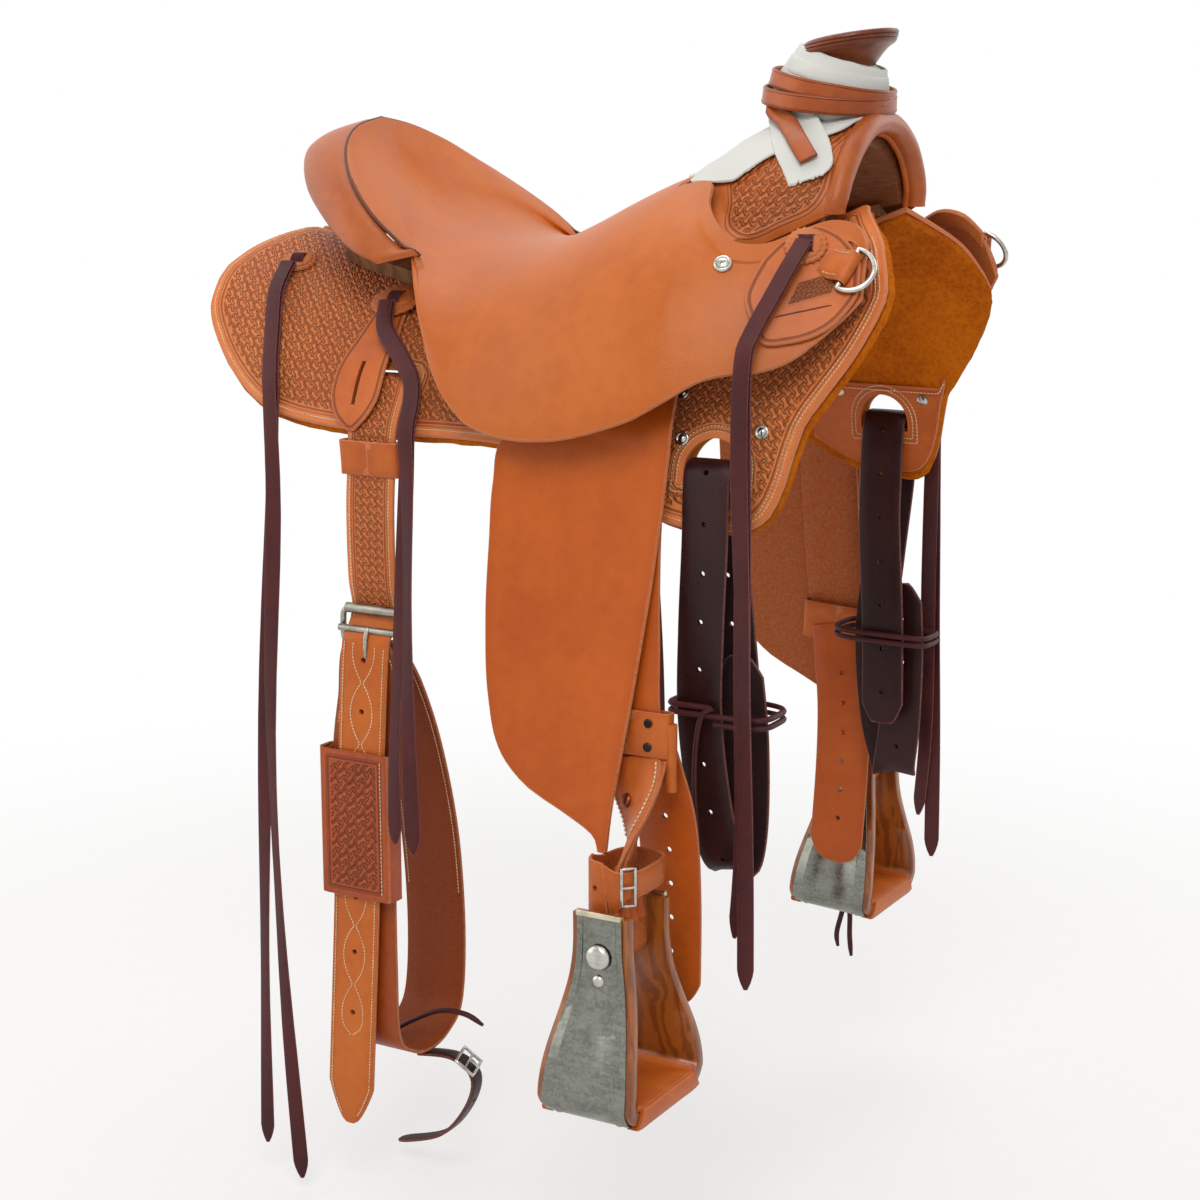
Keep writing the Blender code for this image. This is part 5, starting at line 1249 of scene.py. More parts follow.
@dataclass
class Studio(SubAssembly):
    """Pale floor, soft lamps and the camera."""

    azimuth: float = 30.0
    elevation: float = 12.0
    distance: float = 2.3
    target: tuple = (0.0, 0.0, -0.310)
    lens: float = 69.69
    floor_z: float = -0.8885
    floor_half: float = 8.0
    near_fade: float = 0.7
    far_fade: float = 1.9
    near_glow: float = 0.58
    paper: tuple = (0.93, 0.93, 0.93, 1.0)
    paper_grain: tuple = (0.95, 0.95, 0.95, 1.0)
    sky: tuple = (1.0, 0.98, 0.95, 1.0)
    sky_strength: float = 0.36

    def build(self) -> None:
        """Make the camera, the floor and the lamps."""
        self.camera()
        self.floor()
        self.world()
        for name, place, size, power, colour in (
                ("key", (0.9, -2.1, 1.9), 1.5, 42.0, (1.0, 0.96, 0.90)),
                ("fill", (-2.2, -1.3, 0.6), 2.2, 18.0, (1.0, 0.97, 0.93)),
                ("top", (-0.4, 0.4, 2.4), 2.0, 24.0, (1.0, 0.98, 0.95)),
                ("back", (1.6, 2.0, 1.0), 1.8, 18.0, (1.0, 0.98, 0.95))):
            self.lamp(name, place, size, power, colour)

    def camera(self) -> None:
        """Put the camera at the photograph's angle."""
        a, e = math.radians(self.azimuth), math.radians(self.elevation)
        back = Vector((math.sin(a) * math.cos(e), -math.cos(a) * math.cos(e), math.sin(e)))
        data = bpy.data.cameras.new("camera")
        data.lens, data.sensor_width = self.lens, 36.0
        camera = bpy.data.objects.new("camera", data)
        camera.location = Vector(self.target) + back * self.distance
        camera.rotation_euler = back.to_track_quat("Z", "Y").to_euler()
        bpy.context.scene.collection.objects.link(camera)
        bpy.context.scene.camera = camera

    def lamp(self, name: str, place: tuple, size: float, power: float, colour: tuple) -> None:
        """Add a soft square lamp that faces the saddle."""
        data = bpy.data.lights.new(name, "AREA")
        data.shape, data.size, data.energy, data.color = "SQUARE", size, power, colour
        lamp = bpy.data.objects.new(name, data)
        lamp.location = place
        way = Vector(place) - Vector((0, 0, -0.25))
        lamp.rotation_euler = way.to_track_quat("Z", "Y").to_euler()
        bpy.context.scene.collection.objects.link(lamp)

    def seen(self, tree: bpy.types.NodeTree) -> Signal:
        """1 for what the camera, a mirror or glass sees."""
        path = tree.nodes.new("ShaderNodeLightPath")
        direct, mirrored, through = (Signal(tree, path.outputs[n]) for n in
                                     ("Is Camera Ray", "Is Glossy Ray", "Is Transmission Ray"))
        return direct.maths("MAXIMUM", mirrored).maths("MAXIMUM", through)

    def blend(self, tree: bpy.types.NodeTree, share: Signal, low: bpy.types.Node,
              high: bpy.types.Node, output: str) -> None:
        """Send two shaders, mixed by a share, to an output."""
        mix = tree.nodes.new("ShaderNodeMixShader")
        for source, place in ((share.socket, mix.inputs[0]), (low.outputs[0], mix.inputs[1]),
                              (high.outputs[0], mix.inputs[2]),
                              (mix.outputs[0], tree.nodes[output].inputs["Surface"])):
            tree.links.new(source, place)

    def floor(self) -> None:
        """White floor, a little greyer to the camera near the saddle than far from it."""
        far = self.floor_half
        shape = Shape().add([Vector((x, y, 0)) for x, y in
                             ((-far, -far), (far, -far), (far, far), (-far, far))], [(0, 1, 2, 3)])
        floor = mesh_object("floor", shape)
        floor.location.z = self.floor_z
        bench = Bench("floor_paper")
        grain = bench.noise(40, 2).ramp(0.3, 0.7)
        bench.finish(Base_Color=bench.mix(grain, self.paper, self.paper_grain), Roughness=0.9)
        glow = bench.node("ShaderNodeEmission", Color=(1.0, 1.0, 1.0, 1.0), Strength=1.0)
        place = bench.tree.nodes.new("ShaderNodeTexCoord")
        reach = bench.node("ShaderNodeVectorMath")
        reach.operation = "LENGTH"
        bench.feed(reach.inputs[0], place.outputs["Object"])
        away = Signal(bench.tree, reach.outputs["Value"]).ramp(self.near_fade, self.far_fade)
        share = self.seen(bench.tree) * (away * (1.0 - self.near_glow) + self.near_glow)
        self.blend(bench.tree, share, bench.shader, glow, "Material Output")
        floor.data.materials.append(bench.material)

    def world(self) -> None:
        """White behind the saddle, soft grey light on it."""
        world = bpy.data.worlds.new("studio")
        bpy.context.scene.world = world
        world.use_nodes = True
        tree = world.node_tree
        soft, white = tree.nodes["Background"], tree.nodes.new("ShaderNodeBackground")
        for node, colour, strength in ((soft, self.sky, self.sky_strength),
                                       (white, (1.0, 1.0, 1.0, 1.0), 1.0)):
            node.inputs["Color"].default_value = colour
            node.inputs["Strength"].default_value = strength
        self.blend(tree, self.seen(tree), soft, white, "World Output")


# Laces.

@dataclass
class LacePart(SubAssembly):
    """What every group with laces shares."""

    lace_thick: float = 0.0018

    def lace(self, name: str, route: Sequence[Vector], width: float, across: Vector, body: str,
             hides: Sequence[str] = (), swing: float = 0.0, turns: float = 1.0,
             phase: float = 0.0) -> bpy.types.Object:
        """One hanging flat lace, cut at a slant at its tip.

        Args:
            name: Name of the piece.
            route: Middle line.
            width: Width of the lace.
            across: Direction of its width.
            body: Body that carries it.
            hides: CAD nodes that it stands for.
            swing: Most that it turns about its own length, in degrees.
            turns: How many times it turns back and forth.
            phase: Where in its turn it starts.

        Returns:
            The lace.
        """
        path = even(route, 0.006)
        ways, spread = directions(path), []
        for i, way in enumerate(ways):
            s = i / (len(path) - 1)
            a = math.radians(swing) * smooth((s - 0.12) / 0.25) * math.sin(
                math.pi * 2 * turns * s + phase)
            square = (across - way * across.dot(way)).normalized()
            spread.append(Matrix.Rotation(a, 3, way) @ square)
        strap = Strap(path, spread, width, self.lace_thick, crown=0.0003)
        strap.tapered(1.0, 0.25, 0.016)
        shape = Shape().strap(strap)
        lace = self.piece(name, shape, LACE, body, "dark_leather", hides)
        length_of(path)
        return lace

    def cord(self, name: str, route: Sequence[Vector], radius: float, body: str,
             hides: Sequence[str] = ()) -> bpy.types.Object:
        """One round thong that hangs or winds along a route."""
        path = even(route, 0.004)
        radii = [radius * (1 - 0.5 * smooth((i - len(path) + 4) / 4)) for i in range(len(path))]
        thong = self.piece(name, Shape().tube(path, radii, 10, flat=0.8), LACE, body,
                           "dark_leather", hides)
        length_of(path)
        return thong


@dataclass
class SaddleStrings(LacePart):
    """The strings that hang in pairs from the rosettes."""

    width: float = 0.0150
    gap: float = 0.0030
    flap_face: float = 0.0049
    rosette: float = 0.0045
    inner_proud: float = 0.0056
    outer_proud: float = 0.0006
    tips: dict = field(default_factory=lambda: {-1: (-0.850, -0.876), 1: (-0.430, -0.450)})

    def tails(self, side: int, place: Place, lead: Sequence[tuple], proud: float,
              inner_hang: Sequence[tuple], outer_hang: Sequence[tuple]) -> tuple[list, list]:
        """Routes of both tails of a string.

        Args:
            side: -1 right, 1 left.
            place: Surface that the string starts on.
            lead: x, z and extra height of the points on that surface.
            proud: Height of the string over the surface.
            inner_hang: Points of the inner tail where it hangs free.
            outer_hang: The outer tail's.

        Returns:
            The inner route and the outer route.
        """
        step = Vector((0, side * (self.lace_thick + self.gap), 0))
        first = [place(x, z, side, proud + extra) for x, z, extra in lead]
        inner = spline(first + on_side(inner_hang, side), 33)
        outer = spline([p + step for p in first] + on_side(outer_hang, side), 33)
        r = (self.lace_thick + self.gap) / 2
        out = Vector((0, side, 0))
        middle = inner[0] + out * r
        fold = [middle + Vector((0, 0, math.sin(a))) * r - out * math.cos(a) * r
                for a in (math.pi * k / 6 for k in range(1, 6))]
        return inner, [inner[0]] + fold + outer

    def pair(self, name: str, side: Side, routes: tuple[list, list], swings: tuple) -> None:
        """Make the two tails of one string."""
        node = f"{name}_{side.tag}"
        for route, part, (swing, turns, phase) in zip(routes, ("inner", "outer"), swings):
            self.lace(f"{node}_{part}_tail", route, self.width, AHEAD, "saddle",
                      (node,), swing, turns, phase)

    def build(self) -> None:
        """Hang the strings of both sides."""
        for side in Side:
            s = side.value
            face = self.flap_face + 0.0006 + self.rosette + self.lace_thick
            lead = [(0.288, 0.050, 0.0), (0.282, 0.030, 0.001), (0.274, 0.006, -0.001),
                    (0.265, -0.020, -0.002), (0.262, -0.044, -0.003)]
            self.pair("string_front", side, self.tails(
                s, SEAT_FORM.at, lead, face + 0.0015,
                [(0.262, 0.2125, -0.130), (0.262, 0.2105, -0.300), (0.264, 0.2105, -0.450),
                 (0.258, 0.2105, -0.548)],
                [(0.260, 0.2173, -0.130), (0.266, 0.2155, -0.300), (0.270, 0.2155, -0.450),
                 (0.272, 0.2155, -0.592)]), ((14, 1.2, 0.4), (18, 1.5, 2.0)))
            face = self.inner_proud + self.rosette + self.lace_thick
            lead = [(-0.150, -0.012, 0.002), (-0.136, -0.034, 0.002), (-0.110, -0.056, -0.001),
                    (-0.0875, -0.078, -0.003), (-0.081, -0.100, -0.004), (-0.079, -0.122, -0.003)]
            self.pair("string_inner", side, self.tails(
                s, BACK.skirt, lead, face,
                [(-0.079, 0.2190, -0.180), (-0.081, 0.2300, -0.310), (-0.086, 0.2345, -0.420),
                 (-0.087, 0.2345, -0.511)],
                [(-0.074, 0.2240, -0.180), (-0.069, 0.2350, -0.310), (-0.066, 0.2395, -0.420),
                 (-0.063, 0.2395, -0.516)]), ((16, 1.4, 1.0), (24, 1.2, 3.6)))
            face = self.outer_proud + self.rosette + self.lace_thick
            short, long = self.tips[s]
            lead = [(-0.290, 0.018, 0.001), (-0.281, -0.006, 0.001), (-0.266, -0.040, -0.003),
                    (-0.252, -0.074, -0.003), (-0.241, -0.104, -0.003)]
            self.pair("string_outer", side, self.tails(
                s, BACK.skirt, lead, face,
                [(-0.234, 0.2190, 0.24 * short), (-0.238, 0.2330, 0.48 * short),
                 (-0.246, 0.2345, 0.75 * short), (-0.250, 0.2345, short)],
                [(-0.228, 0.2240, 0.24 * long), (-0.228, 0.2380, 0.48 * long),
                 (-0.220, 0.2395, 0.75 * long), (-0.204, 0.2395, long)]),
                ((20, 1.6, 0.0), (28, 1.3, 2.6)))


@dataclass
class LatigoTies(LacePart):
    """The thongs wound twice round the hanging latigos."""

    x: float = 0.2315
    z: float = -0.352
    radius: float = 0.0028
    turns: int = 2
    pitch: float = 0.0072

    def build(self) -> None:
        """Wind both ties."""
        for side in Side:
            s = side.value
            y_bar = BACK.skirt(RIGGING.bar_x, RIGGING.bar_z, s).y * s
            centre = Vector((self.x, s * (y_bar - 0.0225), self.z))
            points, per_turn = [], 32
            for k in range(self.turns * per_turn + 1):
                a = 2 * math.pi * k / per_turn - math.pi / 2
                cx, cy = math.cos(a), math.sin(a)
                points.append(centre + Vector((
                    math.copysign(abs(cx) ** 0.45, cx) * 0.0494,
                    -s * math.copysign(abs(cy) ** 0.45, cy) * 0.0254,
                    self.pitch * (k / per_turn - self.turns / 2))))
            tail = points[-1]
            drop = spline([tail] + [tail + step for step in on_side((
                (-0.010, 0.002, -0.006), (-0.016, 0.002, -0.030), (-0.018, 0.001, -0.075),
                (-0.014, 0.0, -0.130)), s)], 24)
            self.cord(f"latigo_tie_{side.tag}_thong", points + drop[1:], self.radius,
                      f"latigo_{side.tag}", (f"latigo_tie_{side.tag}",))


# Fork and horn.

@dataclass
class HornAndFork(SubAssembly):
    """Fork with its leather cover, the white hide on it, and the wrapped horn."""

    rear: tuple = ((0.116, 0.000, 0.0981), (0.118, 0.050, 0.0941), (0.132, 0.088, 0.0871),
                   (0.166, 0.108, 0.0852), (0.190, 0.130, 0.0680), (0.212, 0.142, 0.0550))
    front: tuple = ((0.290, 0.000, 0.1605), (0.290, 0.030, 0.1560), (0.290, 0.062, 0.1380),
                    (0.289, 0.084, 0.1130), (0.288, 0.093, 0.0940), (0.286, 0.096, 0.0820))
    crown: float = 0.026
    swell: float = 0.006
    cover_thick: float = 0.0050
    horn_x: float = 0.257
    cap_z: float = 0.2260
    lean: float = 21.0
    middle_x: float = 0.25
    tongue_way: tuple = (0.05, -0.75, 0.66)
    tongue_rear: tuple = ((0.1965, -0.0360, 0.1570), (0.2040, -0.0470, 0.1470),
                          (0.2235, -0.0790, 0.1290), (0.2436, -0.0960, 0.1060),
                          (0.2496, -0.1010, 0.0985))
    tongue_front: tuple = ((0.2380, -0.0400, 0.1660), (0.2520, -0.0500, 0.1540),
                           (0.2690, -0.0650, 0.1370), (0.2800, -0.0800, 0.1190),
                           (0.2770, -0.0905, 0.1085))
    cap_tilt: float = 9.0
    panel: tuple = ((0.1905, 0.1030), (0.1990, 0.0860), (0.2010, 0.0740), (0.2085, 0.0650),
                    (0.2258, 0.0597), (0.2476, 0.0708), (0.2680, 0.0820), (0.2760, 0.0960),
                    (0.2770, 0.1100), (0.2740, 0.1300), (0.2810, 0.1480), (0.2640, 0.1560),
                    (0.2200, 0.1450), (0.1980, 0.1200))
    foot: float = 0.11
    apron_lift: float = 0.0046
    apron_thick: float = 0.0024
    tongue_thick: float = 0.0026
    apron_rear_u: float = 0.03
    apron_front_u: float = 0.975
    apron_right: tuple = ((0.03, 0.16), (0.08, 0.26), (0.14, 0.38), (0.21, 0.50), (0.28, 0.555),
                          (0.36, 0.535), (0.44, 0.505), (0.58, 0.44), (0.70, 0.405),
                          (0.84, 0.355), (0.92, 0.30), (0.975, 0.20))
    apron_left: tuple = ((0.03, 0.12), (0.14, 0.26), (0.28, 0.38), (0.50, 0.40), (0.80, 0.36),
                         (0.975, 0.26))

    def __post_init__(self) -> None:
        """Work out the lines that the cover and the hide's tongue run between."""
        self.rear_line, self.front_line = spline(self.rear, 25), spline(self.front, 25)
        self.tongue_lines = [spline(line, 49) for line in (self.tongue_rear, self.tongue_front)]

    def base(self, u: float, v: float) -> Vector:
        """A point of the cover: u from the seat to the gullet, v from the middle to a foot."""
        side, over, v = (-1.0 if v < 0 else 1.0), max(0.0, abs(v) - 1.0), min(1.0, abs(v))
        p = lerp(share_of(self.rear_line, v), share_of(self.front_line, v), u)
        hump = math.sin(math.pi * max(0.0, (u - 0.12) / 0.88) ** 0.75)
        p.z += self.crown * hump * (1 - v) ** 1.2
        p.y += self.swell * hump * math.sin(math.pi * v ** 1.3)
        p.z -= over * self.foot * (1.0 - 0.75 * u)
        return Vector((p.x, side * p.y, p.z))

    def cover(self, u: float, v: float, proud: float = 0.0) -> Vector:
        """A point on the cover, pushed out along its normal."""
        du = self.base(min(1, u + 0.02), v) - self.base(max(0, u - 0.02), v)
        dv = self.base(u, min(1, v + 0.02)) - self.base(u, max(-1, v - 0.02))
        n = du.cross(dv).normalized()
        p = self.base(u, v)
        good = n.z > -0.2 and n.dot(self.out(p)) > 0
        return p + (n if good else -n) * proud

    def out(self, p: Vector) -> Vector:
        """Direction away from the middle of the fork."""
        return p - Vector((self.middle_x, 0, 0))

    def centre(self, z: float) -> Vector:
        """Middle of the horn at a height, as the neck leans forwards."""
        return Vector((self.horn_x - (self.cap_z - z) * math.tan(math.radians(self.lean)), 0, z))

    def build(self) -> None:
        """Make the fork's and the horn's pieces."""
        self.make_cover()
        self.make_gullet()
        self.make_apron()
        self.make_horn()
        self.make_wraps()
        for name, look in (("fork", LINING), ("tree_bar_right", TREE_WOOD),
                           ("tree_bar_left", TREE_WOOD)):
            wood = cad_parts[name]
            wood.data.materials.clear()
            wood.data.materials.append(look.material())

    def make_cover(self) -> None:
        """Sheet over the fork, tooled inside a panel on each side."""
        rows = [[self.cover(i / 30, k / 44) for i in range(31)] for k in range(-50, 51)]
        shape = sheet_over(rows, self.cover_thick, self.out, lambda p: (p.x, p.z))
        marked = []
        bordered = [(p.x, p.z) for p in
                    spline([Vector((x, 0, z)) for x, z in self.panel + self.panel[:1]], 72)][:-1]
        for p, (u, v, w) in zip(shape.points, shape.lay):
            gap = gap_to(bordered, p.x, p.z) if w > 0 else 0.0
            marked.append((u, v, max(0.002, TOOLED_COVER.groove + 0.0004 + gap) if w > 0 else w))
        shape.lay = marked
        self.piece("fork_cover_leather", shape, TOOLED_COVER, "saddle", "saddle_leather",
                   ("fork_cover",))

    def make_gullet(self) -> None:
        """Fat rolled edge round the gullet, with its lighter inner line."""
        edge, inner = [], []
        for k in range(-47, 48):
            v = k / 40
            p = self.base(1.0, v)
            turn = math.radians(90 * min(1.0, abs(v) * 1.15) ** 1.4)
            inward = Vector((0, -math.copysign(math.sin(turn), v), -math.cos(turn)))
            edge.append(p + Vector((-0.0015, 0, 0)) + inward * 0.0060)
            inner.append(p + Vector((-0.0060, 0, 0)) + inward * 0.0145)
        self.piece("gullet_roll", Shape().tube(edge, 0.0105, 24), ROLL, "saddle",
                   "saddle_leather", ("fork_cover",))
        self.piece("gullet_welt", Shape().tube(inner, 0.0036, 12), SMOOTH, "saddle",
                   "saddle_leather", ("fork_cover",))

    def make_apron(self) -> None:
        """White hide over the fork, its cut edge a little frayed, with the tongue on the right."""
        rows = []
        for i in range(61):
            u = lerp(self.apron_rear_u, self.apron_front_u, i / 60)
            fray = 0.004 * noise.noise(Vector((u * 60, 0, 3)))
            right = read_off(self.apron_right, u) + fray
            left = read_off(self.apron_left, u) + fray
            high = self.apron_lift + 0.0060 * smooth((0.24 - u) / 0.14)
            rows.append([self.cover(u, lerp(-right, left, j / 48), high) for j in range(49)])
        hide = sheet_over(rows, self.apron_thick, self.out, lambda p: (p.x, p.y))
        self.piece("apron_hide", hide, HIDE, "saddle", "white_hide", ("horn_apron",), rough=0.0007)
        rows = [[self.tongue_point(i / 24, j / 20) for j in range(21)] for i in range(25)]
        jag = [Vector((0, 0.0003, 0.0032)) * noise.noise(Vector((j * 0.9, 5, 0)))
               for j in range(21)]
        rows[-1] = [p + d for p, d in zip(rows[-1], jag)]
        tongue = sheet_over(rows, self.tongue_thick, lambda p: Vector((0.2, -1, 0.8)),
                            lambda p: (p.x, p.z))
        self.piece("apron_tongue", tongue, HIDE, "saddle", "white_hide", ("horn_apron",),
                   rough=0.0008)

    def tongue_point(self, t: float, s: float, proud: float = 0.0) -> Vector:
        """A point of the hide's tongue: t down from the horn, s from its rear edge to its front."""
        k = round(t * (len(self.tongue_lines[0]) - 1))
        rear, front = (line[k] for line in self.tongue_lines)
        p = lerp(rear, front, s) + Vector((0.0, -0.0050, 0.0034))
        return p + Vector(self.tongue_way).normalized() * proud

    def make_horn(self) -> None:
        """Leather covered neck and cap, with creased plies round the cap."""
        profile = [(0.0275, 0.162, 0.0), (0.0275, 0.180, -0.4), (0.0280, 0.194, 0.0),
                   (0.0305, 0.2035, 0.3), (0.0345, 0.2105, 0.7), (0.0375, 0.2142, 0.9),
                   (0.0402, 0.2160, 1.0), (0.0424, 0.2174, 1.0), (0.0434, 0.2192, 1.0),
                   (0.0436, 0.2208, 1.0), (0.0427, 0.2215, 1.0), (0.0436, 0.2222, 1.0),
                   (0.0434, 0.2242, 1.0), (0.0424, 0.2249, 1.0), (0.0431, 0.2256, 1.0),
                   (0.0424, 0.2276, 1.0), (0.0408, 0.2292, 1.0), (0.0385, 0.2297, 1.0),
                   (0.0368, 0.2290, 1.0), (0.0355, 0.2281, 1.0), (0.0240, 0.2288, 1.0),
                   (0.0100, 0.2292, 1.0)]
        rings = []
        for radius, z, tilted in profile:
            tilt = math.radians(self.cap_tilt) * tilted
            u, v = Vector((math.cos(tilt), 0, math.sin(tilt))), Vector((0, 1, 0))
            rings.append([self.centre(z) + radius * (u * math.cos(a) + v * math.sin(a))
                          for a in round_angles(64)])
        self.piece("horn_skin", Shape().rings(rings), HORN, "saddle", "dark_leather", ("horn",))

    def ring(self, z: float, radius: float, slope: float, width: float, thick: float,
             start: float, turns: float = 1.0, flare: float = 0.0) -> Strap:
        """A strip laid round the horn in a slanting plane.

        Args:
            z: Height of its middle.
            radius: Its radius.
            slope: How much higher its rear right side is than its front left, in degrees.
            width: Width of the strip.
            thick: Its thickness.
            start: Angle of its start, in degrees.
            turns: How many times round.
            flare: How much wider its lower edge is than the upper.

        Returns:
            The strip.
        """
        tilt = math.radians(slope)
        right, away = Vector((0.8660, 0.5, 0.0)), Vector((-0.5, 0.8660, 0.0))
        up = (UP * math.cos(tilt) + right * math.sin(tilt)
              - away * math.sin(math.radians(7.0))).normalized()
        ahead = (right - up * right.dot(up)).normalized()
        left = up.cross(ahead)
        per_turn, path, across = 56, [], []
        for k in range(round(turns * per_turn) + 1):
            a = math.radians(start) + 2 * math.pi * k / per_turn
            out = ahead * math.cos(a) + left * math.sin(a)
            wobble = 0.0007 * noise.noise(Vector((math.cos(a) * 2, math.sin(a) * 2, z * 90)))
            path.append(self.centre(z) + out * (radius + wobble) + up * wobble * 0.6)
            across.append((up - out * flare / width).normalized())
        return Strap(path, across, width, thick)

    def make_wraps(self) -> None:
        """White hide round the neck, the brown strap over it, and the strap's tail."""
        core = Shape()
        lean = math.radians(self.lean)
        axis = Vector((math.sin(lean), 0, math.cos(lean)))
        core.turned(((0.0340, -0.010), (0.0500, -0.002), (0.0510, 0.014), (0.0450, 0.034),
                     (0.0370, 0.0470), (0.0290, 0.0500)), self.centre(0.166), axis, 48)
        for z, radius, slope, width in (
                (0.1745, 0.0500, 5.0, 0.0180), (0.1860, 0.0478, 9.0, 0.0165),
                (0.1965, 0.0450, 13.0, 0.0160), (0.2045, 0.0410, 16.0, 0.0150)):
            core.strap(self.ring(z, radius, slope, width, 0.0036, 90.0, 1.0, 0.0045))
        self.piece("horn_hide_wrap", core, HIDE, "saddle", "white_hide", ("horn_wrap",),
                   rough=0.0008)
        band, creases = Shape(), Shape()
        for z, radius, slope, start in ((0.1852, 0.0555, 9.5, 84.0), (0.1750, 0.0588, 3.5, 96.0)):
            strap = self.ring(z, radius, slope, 0.0158, 0.0032, start, 1.0, 0.0012)
            band.strap(strap)
            for u in (-0.0058, 0.0058):
                creases.tube(strap.line(u, 0.00005), 0.00042, 6)
        self.piece("horn_band", band, BROWN, "saddle", "saddle_leather", ("horn_strap",))
        self.piece("horn_band_creases", creases, HORN, "saddle", "saddle_leather", ("horn_strap",))
        route = [self.tongue_point(t, s, 0.0042) for t, s in
                 ((0.0, 0.20), (0.15, 0.29), (0.32, 0.40), (0.50, 0.47), (0.69, 0.55))]
        route.insert(0, route[0] + Vector((0.0, 0.0060, 0.0070)))
        path = even(spline(route, 24), 0.003)
        normal = Vector(self.tongue_way).normalized()
        across = [w.cross(normal).normalized() for w in directions(path)]
        end = Strap(path, across, 0.0172, 0.0030, crown=0.0004).facing(Vector((0, -1, 0)), 0)
        self.piece("horn_band_tail", Shape().strap(end), BROWN, "saddle", "saddle_leather",
                   ("horn_strap",))


# Seat and cantle.

@dataclass
class SeatAndCantle(SubAssembly):
    """Seat with its jockeys and front wings, cantle roll and cantle back."""

    jockey: tuple = ((-0.083, 0.174, -0.006), (-0.062, 0.212, -0.038), (-0.034, 0.235, -0.071),
                     (-0.008, 0.246, -0.094), (0.015, 0.251, -0.107), (0.052, 0.254, -0.114),
                     (0.090, 0.255, -0.113), (0.125, 0.254, -0.106), (0.167, 0.252, -0.092))
    rim: tuple = ((-0.250, 0.000, 0.157), (-0.246, 0.045, 0.150), (-0.232, 0.084, 0.135),
                  (-0.212, 0.113, 0.115), (-0.185, 0.137, 0.093), (-0.154, 0.152, 0.069),
                  (-0.126, 0.155, 0.048), (-0.105, 0.147, 0.028))
    wing_top: tuple = ((0.172, 0.104), (0.190, 0.087), (0.209, 0.070), (0.230, 0.056),
                       (0.255, 0.055), (0.278, 0.066), (0.300, 0.074), (0.322, 0.070),
                       (0.336, 0.054))
    wing_low: tuple = ((0.188, -0.081), (0.207, -0.069), (0.226, -0.057), (0.246, -0.051),
                       (0.272, -0.048), (0.296, -0.038), (0.316, -0.020), (0.332, -0.003),
                       (0.343, 0.012))
    roll_outer: tuple = ((-0.318, 0.000, 0.131), (-0.311, 0.050, 0.124), (-0.272, 0.104, 0.094),
                         (-0.218, 0.146, 0.062), (-0.170, 0.171, 0.038), (-0.134, 0.172, 0.024))
    thick: float = 0.0050
    rows: int = 8
    wing_row: int = 2
    dish: int = 7
    seam_stations: int = 3
    seam_turn: float = 0.5
    roll_thick: float = 0.020
    roll_reach: float = 0.97
    cantle_reach: float = 0.42
    rim_step: float = 0.03
    screw: tuple = (0.2263, 0.0379)

    def __post_init__(self) -> None:
        """Work out the rim and the roll's outer line."""
        self.rim_line, self.outer_line = spline(self.rim, 57), spline(self.roll_outer, 121)

    def rim_point(self, tau: float, side: int = 1) -> Vector:
        """The seam at the top of the cantle, from the middle to its end."""
        p = share_of(self.rim_line, tau)
        return Vector((p.x, side * p.y, p.z))

    def roll_place(self, tau: float, side: int) -> tuple[Vector, Vector, Vector, Vector]:
        """Rim, outer edge, way along and way up of the roll, from its middle to its end."""
        inner = self.rim_point(tau, side)
        outer = self.outer_line[round(tau * (len(self.outer_line) - 1))]
        outer, step = Vector((outer.x, side * outer.y, outer.z)), self.rim_step
        ahead, behind = (self.rim_point(t, side) for t in (min(1, tau + step), max(0, tau - step)))
        along = Vector((0, side, 0)) if tau < step else ahead - behind
        up = along.cross(outer - inner).normalized()
        return inner, outer, along, up if up.z > 0 else -up

    def edge_point(self, k: int) -> Vector:
        """Outer edge of the seat at a station."""
        if k <= self.seam_stations:
            return self.rim_point(lerp(self.seam_turn, 1.0, k / self.seam_stations))
        return Vector(self.jockey[k - self.seam_stations - 1])

    def section(self, tau: float, crest: Vector, edge: Vector) -> Vector:
        """Section of the seat between its crest and the jockey's edge."""
        power = 2.0 / SEAT_FORM.squareness
        height = crest.z - BACK.axis_z
        end = math.acos(max(0.0, (edge.z - BACK.axis_z) / height) ** (1 / power))
        a = end * tau
        return Vector((crest.x + (edge.x - crest.x) * tau ** 2,
                       edge.y * (math.sin(a) / math.sin(end)) ** power,
                       BACK.axis_z + height * math.cos(a) ** power))

    def seat_point(self, k: int, tau: float) -> Vector:
        """The dish is a patch between the rim, its middle line, the edge and the first section."""
        def crest(i: int) -> Vector:
            """Middle line of the seat."""
            return Vector((SEAT_FORM.crest[i][0], 0, SEAT_FORM.crest[i][1]))
        edge = self.edge_point(k)
        if k >= self.dish:
            return self.section(tau, crest(k), edge)
        s, last = k / self.dish, self.edge_point(self.dish)
        across = lerp(self.rim_point(tau * self.seam_turn),
                      self.section(tau, crest(self.dish), last), s)
        along = lerp(crest(k), edge, tau)
        corners = lerp(lerp(crest(0), self.edge_point(0), tau),
                       lerp(crest(self.dish), last, tau), s)
        return across + along - corners

    def seat_inside(self, tau: float) -> Vector:
        """A point of the seat a little inside its seam."""
        near = 1.0 - 1.0 / self.rows
        if tau <= self.seam_turn:
            return self.seat_point(1, tau / self.seam_turn * near)
        s = (tau - self.seam_turn) / (1.0 - self.seam_turn) * self.seam_stations
        k = int(s)
        return lerp(self.seat_point(k + 1, near), self.seat_point(k + 2, near), s - k)

    def build(self) -> None:
        """Make the seat's and the cantle's pieces."""
        self.make_seat()
        self.make_roll()
        self.make_cantle()
        self.make_screws()

